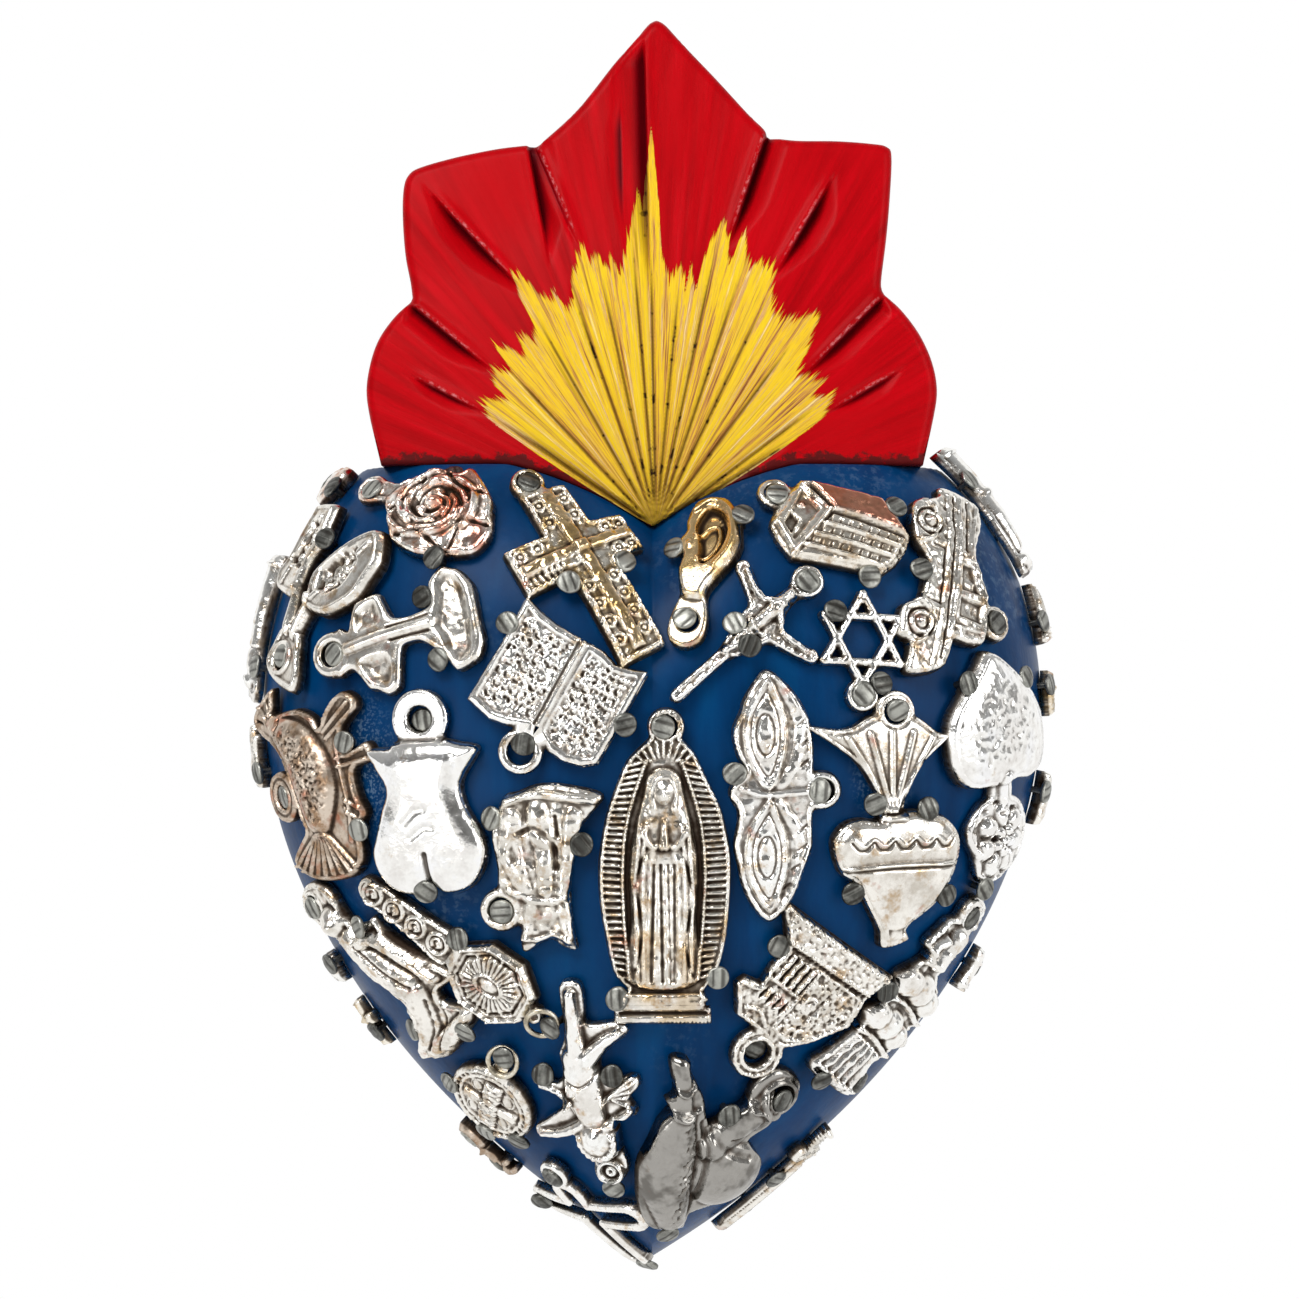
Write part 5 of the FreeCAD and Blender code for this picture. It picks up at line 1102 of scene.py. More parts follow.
def carveRoundMedal(r):
    for radius, height in ((5.5, 0.55), (4.6, 0.3)):
        ringLine(r, 0.3, 0, radius, 0.6, height)
    for k in range(32):
        angle = 2 * pi * k / 32
        blob(r, *polar(0.3, 0, 5.05, 5.05, angle), 0.24, 0.24, 0.45)
    raised(r, [-1, 3.9, 1.6, 3.9, 1.6, -3.9, -1, -3.9], 0.7, 0.4, False)
    raised(r, [-3.7, 0.8, 4.3, 0.8, 4.3, -0.8, -3.7, -0.8], 0.6, 0.4, False)
    for k in range(9):
        y = 3.4 - 0.85 * k
        lines(r, 0.25, -0.35, [-0.9, y, 1.5, y - 0.7], [1.5, y, -0.9, y - 0.7], smooth=False)
    for x, y in ((-1.9, 2.2), (2.5, 2.2), (-1.9, -2.2), (2.5, -2.2)):
        blob(r, x, y, 0.7, 0.9, 0.6, 30)
        ringLine(r, x, y, 1, 0.25, 0.25)
    grain(r, 0.5, 0.1)


# cherub, pinned upside down
cherub = {"seat": (191, 38, -4), "seed": 25, "fillet": 0.6, "loops": [[-1.5, 14, 1, 14, 1.2, 11, 1.2, 8.8, 5.5, 8.6, 6,
    7, 3.8, 5.6, 1.9, 3.4, 2.8, 1.2, 6, 1.5, 6.4, 0, 4.9, -1.5, 5.5, -3, 5.3, -3.9, 2.8, -3.8, 2.8, -6, 2.6, -8.5, 3,
    -11, 2, -13, 0.5, -13.9, -1.5, -13.4, -1.7, -11.5, -1.3, -9.5, -2.3, -7.5, -3, -6, -6, -6.6, -8.2, -6.8, -8.4,
    -5.5, -7, -4.6, -4, -2.5, -4, -0.7, -7, 0.8, -6.7, 1.8, -4, 1.1, -3, 2.5, -3, 5, -2, 7, -1.7, 9.5]]}


def carveCherub(r):
    each(limb, r, ([0, -4.4, -0.6, -0.6, -0.5, 4.4], [3.4, 5, 4.2], 2),
        ([-0.6, 3.6, -0.4, 8.2, -0.2, 13], [2.8, 2.2, 1.5], 1.8), ([0.6, 4.2, 3, 6.4, 5, 7.4], [2.6, 2, 1.4], 1.7),
        ([1.4, -5, 3.4, -4, 4.9, -3], [1.8, 1.5, 1.2], 1.6),
        ([-1.6, -4.6, -4.6, -5.8, -7.4, -6], [1.9, 1.6, 1.1], 1.6))
    blob(r, 0, -6.6, 2.7, 2.8, 2.5)
    for k in range(11):
        angle = pi * (0.42 + 0.116 * k)
        blob(r, *polar(0.1, -6.8, 2.2, 2.3, angle), 0.8, 0.8, 2.1)
    blob(r, 0, -6, 1.5, 1.6, 2.75)
    for x in (-0.5, 0.5):
        blob(r, x, -6.3, 0.24, 0.18, 2.85)
    blob(r, 0, -5.6, 0.25, 0.34, 2.95)
    each(ringLine, r, (0.6, -11.7, 1.5, 0.8, 0.9), (0.6, -11.7, 0.5, 0.5, 0.6))
    for k in range(5):
        for side, x, top, step in ((1, 6.2, 1.6, 1), (-1, -6.8, 1.4, 0.8)):
            line(r, [2.2 * side, -1, x - 0.35 * side * k, top - step * k], 0.45, 0.6)
    line(r, [-2.2, 1.8, -0.4, 1.2, 1.6, 2.4], 0.5, -0.35)
    blob(r, -0.6, -0.2, 0.25, 0.3, 1.6)
    grain(r, 1, 0.1)


# hollow cross: a round-ended outline of bar
def crossBars(half, top, arm, foot):
    pts = []
    for cx, cy, start in ((0, top, -90), (arm, 0, 0), (0, foot, 90), (-arm, 0, 180)):
        for k in range(9):
            pts.append(polar(cx, cy, half, half, radians(start + 22.5 * k)))
        pts.append({-90: (half, half), 0: (half, -half), 90: (-half, -half), 180: (-half, half)}[start])
    return pts + pts[:1]


hollowOutline = crossBars(1.9, 4, 8, -10)
hollowCross = {"seat": (188, 69, 3), "seed": 26, "fillet": 0.3, **eyelet(0, 7.7),
    "bars": [([a, b], 1.25) for a, b in zip(hollowOutline, hollowOutline[1:])]}


# stomach
stomachLoop = [-4.6, 16.4, -2.4, 16.4, -2, 14.5, -0.5, 11, 0, 8, 0.8, 6.8, 3.5, 8.3, 5, 9, 6, 11.5, 8, 13, 10, 13,
    12.3, 11, 12.7, 9, 11.5, 7, 9.5, 5.5, 8.6, 4.5, 6, 3, 7.5, 0.5, 8.4, -1.5, 8, -3.5, 6, -6, 3, -7.1, -1, -7.6, -1.6,
    -10, -5.4, -9.2, -7, -7.5, -8, -4.5, -8.4, -1.5, -8.4, 2, -7, 5.5, -6, 8, -4.7, 9.7, -5.2, 11, -4.1, 12]
stomach = {"seat": (173.2, 51, -10), "seed": 27, "loops": [stomachLoop], "holes": [(9.4, 9.4, 1.35)]}


def carveStomach(r):
    swell(r, 0.5, 1.2)
    each(limb, r, ([-3.4, 15.9, -3.2, 12.6, -3.6, 9.2], [2, 2.4, 3.4], 1.4),
        ([-3.6, 9, -4.6, 4, -4.8, -1.4, -3.6, -7], [4, 6.6, 6.8, 4.6], 2.4))
    blob(r, 3.2, -1.6, 5.2, 5.3, 2.5, 20)
    limb(r, [0.8, 3.6, 4.6, 6.6, 8, 8.6], [4.6, 4.4, 4.6], 2)
    band = [-3.6, 8.6, -1.6, 8.2, -0.8, 3, -1.6, -2, -2.6, -7.4, -4.6, -8, -4.4, -2, -4, 4]
    grain(r, 0.45, 0.34, inLoop(r, band, 1))
    each(line, r, ([-0.6, 7.6, 0, 3, -0.8, -2, -1.8, -7], 1.1, -0.5), ([0.4, 6.4, 2.6, 3.2, 5.6, 1.4], 1.4, -0.4),
        ([-4.6, 12.9, -3.2, 12.5, -1.8, 13], 0.8, 0.7), ([-5, 9.8, -3, 9.2, -1, 9.8], 0.8, 0.5))
    ringLine(r, 9.4, 9.4, 2.3, 0.9, 0.7)
    each(line, r, ([6.2, 5.4, 7.4, 6.6, 7, 8.4, 5.6, 8.8], 0.6, 0.5), ([2.8, 5.2, 5, 5, 7.4, 6.2], 0.5, -0.35))


# house with rows of windows
windowHouse = {"seat": (142.7, 36, 39), "seed": 28, "sharp": [[-10.2, 5.8, -3, 6.4, 8.1, 7.4, 7.1, 3, 8, -1, 5, -6,
    2.6, -8.4, -5.4, -8.9, -8.4, -6, -8, -4.5, -6, -3.9, -6.5, -1.5, -6.2, 1, -10.2, 4.7]],
    **eyelet(0.5, -10.9, 3.4, 1.7)}


def carveWindowHouse(r):
    raised(r, [-9.8, 5.5, 7.7, 7, 6.7, 3.4, -7.4, 2], 0.9, 0.5, False)
    each(beads, r, ([-7.2, 2.1, 6.6, 3.5], 0.7, 0.34, 0.5), ([-9.4, 5, 7.2, 6.4], 0.9, 0.26, 0.3))
    wall = [-0.8, 1.9, 6.2, 2.5, 7.2, -0.9, 4.6, -5.4, 2, -7.4, -0.6, -7]
    each(line, r, (wall + wall[:2], 0.4, 0.35, False), ([2.6, 2.2, 2.2, -6.8], 0.35, -0.25))
    grain(r, 0.4, 0.2, inLoop(r, wall, 0.4, False))
    for k in range(4):
        x = -5 + 1.15 * k
        each(line, r, ([x, 1.4, x, -2.2], 0.5, 0.55, False), ([x + 0.55, 1.2, x + 0.55, -2], 0.4, -0.6, False))
        ringLine(r, x + 0.1, -4.6, 0.5, 0.35, 0.35, 2)
        line(r, [x + 0.1, -3.6, x + 0.1, -5.6], 0.4, -0.5, False)
    each(line, r, ([-6, -2.6, -0.9, -2.3], 0.55, 0.5, False), ([-7.6, -5.2, -5.8, -4.6, -6.2, -2.8], 0.5, 0.4),
        ([-5.4, -7.4, -3.6, -6.6, -1.6, -7.6], 0.5, 0.5))
    rimLine(r, 0.4, 0.5, 0.3)
    grain(r, 0.42, 0.16)


# flower with a heart-shaped head
crownLoop = [0, 13.8, -2.8, 11.8, -5.5, 9.3, -7.8, 6.8, -8.7, 4, -8.4, 0, -6.4, -2.4, -2.5, -3, 2.5, -3, 5.5, -3.4,
    8.6, -1.8, 9.1, 3, 7.5, 7, 4, 10.8]
flowerLoop = [-2.8, -4.6, -5.8, -7, -6.4, -9, -5, -11.5, -3.6, -15, -0.4, -16, 4.2, -14, 5.9, -10, 4.5, -6.6, 2, -5]
spade = {"seat": (87.5, 54, -11), "seed": 29, "loops": [crownLoop, flowerLoop], "bars": [([0, -2, 0, -6], 4.2)],
    "hug": 0.7}


def carveSpade(r):
    inside = raised(r, crownLoop, 1.5, 3.4)
    grain(r, 1, 0.12, inside)
    pits(r, 0.7, 0.1, inside, 0.45)
    line(r, [0, -2.2, 0, -5.4], 1.6, 0.8)
    for k in range(7):
        angle = 2 * pi * k / 7
        blob(r, *polar(-0.2, -10.4, 3.1, 3.2, angle), 1.7, 1.4, 1.1, -degrees(angle) + 90)
    for k in range(5):
        angle = 2 * pi * (k + 0.5) / 5
        blob(r, *polar(-0.2, -10.4, 1.4, 1.4, angle), 0.9, 0.8, 1.5, -degrees(angle) + 90)
    blob(r, -0.2, -10.4, 0.7, 0.7, 1.9)
    pits(r, 0.7, 0.4, inLoop(r, flowerLoop, 0.8), 0.25)
    rimLine(r, 0.4, 0.5, 0.25)


# dancer
dancer = {"seat": (131.4, 60.6, 31), "seed": 30, "loops": [[-5.6, 10.8, -2.5, 11.6, 0.2, 10.4, 0.2, 7, -0.2, 4.6, 3, 3,
    4.4, 0.5, 3.5, -1.5, 2.6, -4.5, 3.3, -6, 1.6, -10.5, 3.6, -14, -1, -14.9, -6.9, -15, -6.4, -11, -6, -7, -7.3, -5,
    -5.6, -1.5, -7.3, 0.7, -5.1, 5, -6.8, 6, -6.4, 8.5]], **eyelet(-2.4, 12.8, 2.7, 1.4), "hug": 0.7}


def carveDancer(r):
    each(limb, r, ([-2.8, 9.6, -2.6, 5.4], [3, 2.2], 1.7), ([-4.6, 8.2, -5.6, 6.4, -4.6, 4.6], [1.3, 1.2, 1], 1.4))
    for x, y, rx, ry, turn in ((-4.6, 1.2, 2.4, 2, 10), (-1.6, 1.6, 2.6, 2.2, 0), (1.8, 1, 2.2, 1.9, -10),
            (-5, -4.6, 2, 1.9, 20), (-2, -4.4, 2.4, 2.2, 0), (1, -4.8, 2, 1.9, -15)):
        blob(r, x, y, rx, ry, 1.6, turn)
    lines(r, 0.8, 0.8, [-5.8, -1.7, -2, -1.2, 3.2, -1.7], [-6, -7.4, -2.4, -7, 2.6, -7.4])
    for x0, x1 in ((-5, -5.8), (-3.8, -4.2), (-2.4, -2.4), (-1, -0.6), (0.4, 1.6)):
        line(r, [x0, -8.2, x1, -14.2], 0.8, 0.7)
    line(r, [-6.4, -14.2, -1.6, -14.1, 3, -13.5], 0.7, 0.7)
    rimLine(r, 0.4, 0.5, 0.3)
    grain(r, 0.9, 0.14)


front = [("rose_charm", rose, carveRose, rosyMetal), ("leaf_sprig_charm", leafSprig, carveSprig, greyMetal),
    ("kidneys_charm", kidneys, carveKidneys, greyMetal),
    ("filigree_cross_charm", filigreeCross, carveFiligreeCross, goldMetal),
    ("open_book_charm", openBook, carveBook, brightMetal), ("ear_charm", ear, carveEar, goldMetal),
    ("house_charm", house, carveHouse, tiledMetal), ("crucifix_charm", crucifix, carveCrucifix, brightMetal),
    ("star_charm", star, carveBars, brightMetal), ("pickup_truck_charm", pickup, carvePickup, greyMetal),
    ("flaming_heart_charm", flamingHeart, carveFlamingHeart, greyMetal),
    ("eyes_charm", eyePair, carveEyes, brightMetal), ("robed_figure_charm", robed, carveRobed, greyMetal),
    ("torso_charm", torso, carveTorso, cleanMetal), ("bodice_charm", bodice, carveBodice, greyMetal),
    ("fish_charm", fish, carveFish, brownMetal), ("bar_medal_charm", barMedal, carveBarMedal, greyMetal),
    ("kneeling_figure_charm", kneeling, carveKneeling, greyMetal),
    ("round_medal_charm", roundMedal, carveRoundMedal, greyMetal), ("cherub_charm", cherub, carveCherub, brightMetal),
    ("hollow_cross_charm", hollowCross, carveBars, brightMetal), ("stomach_charm", stomach, carveStomach, darkMetal),
    ("window_house_charm", windowHouse, carveWindowHouse, greyMetal), ("spade_charm", spade, carveSpade, cleanMetal),
    ("dancer_charm", dancer, carveDancer, brightMetal)]
for name, spec, carve, metal in front:
    castCharm(name, spec, carve, metal)
print("front charms made:", len(castings))


# small castings round the sides, in traditional shapes
def bothSides(half):
    return list(half) + [(-x, y) for x, y in reversed(half) if x]


smallHeart = {"seat": (312, 80, 0), "seed": 40,
    "loops": [bothSides([(0, 1.7), (1.4, 2.7), (2.9, 1.4), (2.4, -0.8), (0, -3.4)])]}
smallArm = {"seat": (290, 80, 0), "seed": 41, "loops": [[-1.7, 9.4, 0.1, 9.6, 1.9, 9.4, 1.8, 4, 1.5, -2, 1.9, -4.2,
    2.3, -7.6, 1.6, -9.1, 0.2, -9.6, -1.2, -8.9, -1.6, -7.6, -1.4, -2, -2, 3]]}
smallHand = {"seat": (272, 80, 0), "seed": 42, "fillet": 0.35,
    "loops": [[-1.9, -3.6, -2.3, 0.4, 0, 0.7, 2.1, 0.4, 1.9, -3.6]], "bars": [([-1.6, 0.2, -1.9, 3], 0.95),
    ([-0.5, 0.2, -0.5, 3.8], 1), ([0.6, 0.2, 0.8, 3.5], 1), ([1.6, 0.2, 2.1, 2.5], 0.9),
    ([-1.5, -1.8, -3.6, 0], 1.05)]}
smallTooth = {"seat": (238, 80, 0), "seed": 43,
    "loops": [[-1.6, 1.8, -0.6, 2.1, 0.6, 2.1, 1.6, 1.8, 1.8, 0.2, 1.1, -2.2, 0.2, -0.8, -1, -2.2, -1.8, 0.2]]}
smallCross = {"seat": (228, 80, 0), "seed": 44, "sharp": [bothSides([
    (0, 3.4), (0.8, 3.4), (0.8, 1.4), (2.6, 1.4), (2.6, -0.2), (0.8, -0.2), (0.8, -3.8), (0, -3.8)])]}
smallKey = {"seat": (203, 80, 0), "seed": 45, "fillet": 0.4, "discs": [(0, 2.7, 2.3)], "holes": [(0, 2.7, 1.25)],
    "bars": [([0, 1, 0, -4.6], 1.1), ([0.2, -2.6, 2, -2.6], 0.9), ([0.2, -4.1, 2, -4.1], 0.9)]}
smallLeg = {"seat": (52, 80, 0), "seed": 46, "loops": [[-2.4, 9.2, 0, 9.4, 2.4, 9.2, 2.2, 5.2, 1.6, 1.4, 2, -1.2, 1.8,
    -3.4, 1.2, -7, 3, -8, 4.3, -9, 3.9, -9.8, 1.4, -9.8, -1.2, -9.8, -1.4, -8.2, -1.4, -6.6, -2.1, -2.6, -1.6, 1.6,
    -2.1, 5.4]]}
smallHands = {"seat": (68, 80, 0), "seed": 47,
    "loops": [bothSides([(0, 4.2), (0.7, 3.3), (1.2, 1.8), (1.5, 0.2), (1.2, -1.6), (1.8, -3.6)])]}
smallMedal = {"seat": (79, 82, 0), "seed": 48, "discs": [(0, 0, 3)]}
smallBoot = {"seat": (94, 82, 0), "seed": 49, "loops": [[-1.3, 3.2, 0, 3.3, 1.3, 3.2, 1.2, 1.2, 1.2, -0.8, 2.4, -1.6,
    3.3, -2.4, 3.2, -3.4, 0.8, -3.4, -1.4, -3.4, -1.3, -0.2]]}
smallBell = {"seat": (122, 82, 0), "seed": 50,
    "loops": [bothSides([(0, 3), (1, 2.5), (1.5, 0), (2.5, -2.4), (0, -3.2)])]}
smallDagger = {"seat": (163, 76, 0), "seed": 51, "fillet": 0.4,
    "discs": [(-2.3, 4.8, 1.25), (0, 4.8, 1.25), (2.3, 4.8, 1.25)],
    "sharp": [[-1.1, 4.2, 1.1, 4.2, 1, -9.4, 0, -11.6, -1, -9.4]], "bars": [([0, 4.6, 0, 8.7], 1.6)]}


def carveSmall(r):
    swell(r, 0.9, 1.5)
    rimLine(r, 0.3, 0.4, 0.15)
    grain(r, 0.9, 0.08)


def carveArm(r):
    limb(r, [0.1, 8.8, 0.2, 3, 0.1, -2.6, 0.4, -5], [3, 2.9, 2.3, 2.4], 1.3)
    blob(r, 0.4, -6.2, 1.5, 1.9, 1)
    for x in (-0.9, -0.1, 0.7, 1.5):
        line(r, [0.4 * x + 0.2, -6.4, x, -8.8], 0.55, 0.35)
    each(line, r, ([-1.5, 8.6, 1.7, 8.6], 0.6, 0.4), ([-1.2, -2.6, 1.4, -2.6], 0.4, -0.3))
    grain(r, 0.9, 0.07)


def carveHand(r):
    swell(r, 0.5, 0.6)
    blob(r, 0, -1.4, 1.8, 1.9, 0.9)
    for x, y in ((-1.75, 1.8), (-0.5, 2.2), (0.7, 2), (1.85, 1.5)):
        line(r, [x - 0.4, y, x + 0.4, y], 0.25, -0.2, False)
    line(r, [-1.6, -2.9, 1.6, -2.9], 0.4, -0.3)


def carveTooth(r):
    swell(r, 0.8, 1.2)
    each(line, r, ([-1.1, 1.3, 0, 0.9, 1.1, 1.3], 0.4, -0.3), ([0.1, 1, 0.15, -0.6], 0.4, -0.25))


def carveCross(r):
    rimLine(r, 0.28, 0.4, 0.35)
    lines(r, 0.7, 0.5, [0, 2.9, 0, -3.3], [-2.1, 0.6, 2.1, 0.6], smooth=False)
    blob(r, 0, 0.6, 0.7, 0.7, 0.9)


def carveKey(r):
    swell(r, 0.4, 0.5)
    ringLine(r, 0, 2.7, 1.75, 0.4, 0.3)
    each(line, r, ([0, 0.6, 0, -4.4], 0.5, 0.35, False), ([-0.6, 0.2, 0.6, 0.2], 0.6, 0.5, False))


def carveLeg(r):
    each(limb, r, ([0, 8.6, 0, 4.6, 0.1, 1.8], [3.8, 3.4, 2.6], 1.5),
        ([0.1, 1.8, 0.1, -1.6, 0, -6.4], [2.6, 3.1, 1.7], 1.4),
        ([-0.3, -8.2, 1.2, -8.8, 3.3, -9.2], [1.8, 1.7, 1], 1.1))
    blob(r, 0.1, 1.6, 1, 1.1, 1.7)
    line(r, [-2, 8.6, 2, 8.6], 0.6, 0.35)
    grain(r, 1.1, 0.07)


def carvePrayer(r):
    swell(r, 0.8, 1.1)
    line(r, [0, 3.9, 0, -1.8], 0.35, -0.5, False)
    for x in (-0.75, 0.75):
        line(r, [x * 0.5, 3.2, x, 0.4, x, -1.4], 0.25, -0.25)
    for y in (-2, -2.7, -3.3):
        line(r, [-1.5, y, 1.5, y], 0.4, 0.25, False)


def carveSmallMedal(r):
    ringLine(r, 0, 0, 2.5, 0.45, 0.4)
    beads(r, [polar(0, 0, 1.9, 1.9, a) for a in np.linspace(0, 2 * pi, 17)], 0.5, 0.17, 0.3)
    each(blob, r, (0, 0.1, 1, 1.4, 0.5), (0, 0.7, 0.5, 0.5, 0.8))


def carveBell(r):
    swell(r, 0.9, 1.4)
    each(line, r, ([-2.2, -2.1, 0, -2.5, 2.2, -2.1], 0.5, 0.35), ([-1.2, 1.3, 0, 1.1, 1.2, 1.3], 0.35, 0.3))
    blob(r, 0, -3, 0.5, 0.35, 1.2)


def carveDagger(r):
    each(line, r, ([0, 3.4, 0, -11], 1.1, 0.55, False), ([0, 3.4, 0, -10.8], 0.24, 0.2, False))
    for x in (-2.3, 0, 2.3):
        ringLine(r, x, 4.8, 0.85, 0.45, 0.5)
        blob(r, x, 4.8, 0.4, 0.4, 0.8)
    for k in range(6):
        line(r, [-0.8, 5.9 + 0.5 * k, 0.8, 6.1 + 0.5 * k], 0.3, 0.35, False)
    blob(r, 0, 8.9, 0.8, 0.5, 1)


sides = [("small_heart_charm", smallHeart, carveSmall, rosyMetal), ("arm_charm", smallArm, carveArm, brightMetal),
    ("hand_charm", smallHand, carveHand, greyMetal), ("tooth_charm", smallTooth, carveTooth, brightMetal),
    ("small_cross_charm", smallCross, carveCross, goldMetal), ("key_charm", smallKey, carveKey, brownMetal),
    ("leg_charm", smallLeg, carveLeg, brightMetal), ("praying_hands_charm", smallHands, carvePrayer, greyMetal),
    ("small_medal_charm", smallMedal, carveSmallMedal, goldMetal),
    ("small_boot_charm", smallBoot, carveSmall, greyMetal), ("small_bell_charm", smallBell, carveBell, brightMetal),
    ("dagger_charm", smallDagger, carveDagger, greyMetal)]
for name, spec, carve, metal in sides:
    castCharm(name, spec, carve, metal)
print("side charms made:", len(castings))


def paintedWood(name, colours):
    # brushed gloss paint over carved wood, with worn patches, and two pale speckled patches that are painted glints of
    # light
    mat, shader, coords = newMaterial(name)
    streaks = noiseTexture(stretched(coords, (160, 160, 26), (0, 0.25, 0)), 1, 5, 0.6, 0.4)
    patches = noiseTexture(coords, 42, 4, 0.55)
    colour = ramp(streaks, (0.25, colours["deep"]), (0.5, colours["main"]), (0.78, colours["pale"]))
    colour = mix(fadeIn(patches, 0.35, 0.7, 0.55), colour, colours["main"])
    scuffs = noiseTexture(coords, 900, 3, 0.7)
    worn = times(fadeIn(noiseTexture(coords, 30, 3, 0.5), 0.56, 0.68), fadeIn(scuffs, 0.5, 0.62))
    colour = mix(times(worn, 0.25), colour, colours["scuffAndGlint"])
    # two pale speckled patches: painted glints of light on the rough paint
    for (x, z), reach in colours["spots"]:
        near = node("ShaderNodeVectorMath", {0: stretched(coords, (1, 0, 0.55)), 1: (x * mm, 0, 0.55 * z * mm)},
            operation="DISTANCE").outputs["Value"]
        glintFalloff = ramp(times(near, 1 / (reach * mm)), (0.3, 1), (1, 0))
        glintSpeckle = fadeIn(noiseTexture(coords, 2600, 2, 0.6), 0.5, 0.6)
        colour = mix(times(times(glintFalloff, glintSpeckle), 0.55), colour, colours["scuffAndGlint"])
    feed(shader, {"Base Color": colour, "Roughness": ramp(patches, (0.3, 0.3), (0.7, 0.46)),
        "Specular IOR Level": 0.07, "Coat Weight": 0.03, "Coat Roughness": 0.2})
    under = bumpOn(shader, streaks, 0.0002, 0.35)
    bumpOn(shader, noiseTexture(coords, 700, 4, 0.6), 0.00008, 0.5, under)
    return mat


blue = {"deep": (0, 0.02, 0.075), "main": (0, 0.036, 0.125), "pale": (0, 0.06, 0.18), "scuffAndGlint": (0.16, 0.25, 0.36),
    "spots": [((-36.5, -21.5), 6), ((28.5, -21), 4.5)]}
bluePaint = paintedWood("bluePaint", blue)


def heartPiece():
    clocks, bands = heart["clocks"], heart["bands"]
    angles = np.arange(clocks) * 360 / clocks
    reach = rimReach(angles)
    sx, sz = np.sin(np.radians(angles)), np.cos(np.radians(angles))
    rows = []
    for band in range(bands):
        share = radians(90 * band / bands)
        scale = cos(share) ** (2 / heart["fullness"])
        y = -heart["depth"] * sin(share) ** (2 / heart["fullness"])
        rows.append(np.stack([sx * reach * scale, np.full(clocks, y), heart["core"] + sz * reach * scale], 1))
    points = np.vstack(rows + [np.array([[0, -heart["depth"], heart["core"]]])])
    for p in points:
        # shallow marks of the carving tool, always inwards
        place = Vector((p[0] * 0.045, p[1] * 0.06, p[2] * 0.045))
        depth = heart["carving"] * (0.5 + 0.5 * noise.noise(place))
        depth += 0.16 * (0.5 + 0.5 * noise.noise(Vector((p[0] * 0.16, p[1] * 0.2, p[2] * 0.16)) + Vector((9, 2, 5))))
        if p[1] < -1:
            p[1] += depth
    top = seamLine(points[:, 0])
    points[:, 2] = np.minimum(points[:, 2], top)
    verts = list(points)
    faces = []
    for band in range(bands - 1):
        for i in range(clocks):
            a, b = band * clocks + i, band * clocks + (i + 1) % clocks
            faces.append((a, b, b + clocks, a + clocks))
    tip = len(points) - 1
    last = (bands - 1) * clocks
    faces += [(last + i, last + (i + 1) % clocks, tip) for i in range(clocks)]
    # the flat back runs in to the hanging hole
    rim = points[:clocks]
    hole = np.stack([sx * heart["hole"], np.zeros(clocks), sz * heart["hole"]], 1)
    previous = 0
    for ring in range(1, heart["backRings"] + 1):
        start = len(verts)
        verts += list(rim + (hole - rim) * ring / heart["backRings"])
        faces += [(previous + (i + 1) % clocks, previous + i, start + i,
            start + (i + 1) % clocks) for i in range(clocks)]
        previous = start
    start = len(verts)
    verts += list(hole - np.array([0, heart["holeDepth"], 0]))
    faces += [(previous + (i + 1) % clocks, previous + i, start + i, start + (i + 1) % clocks) for i in range(clocks)]
    faces.append(tuple(start + i for i in reversed(range(clocks))))
    piece = makeMesh("heart_block", np.array(verts) * mm, faces, bluePaint, sharpAngle=55)
    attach(piece, "root")
    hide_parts("heart_body")
    return piece


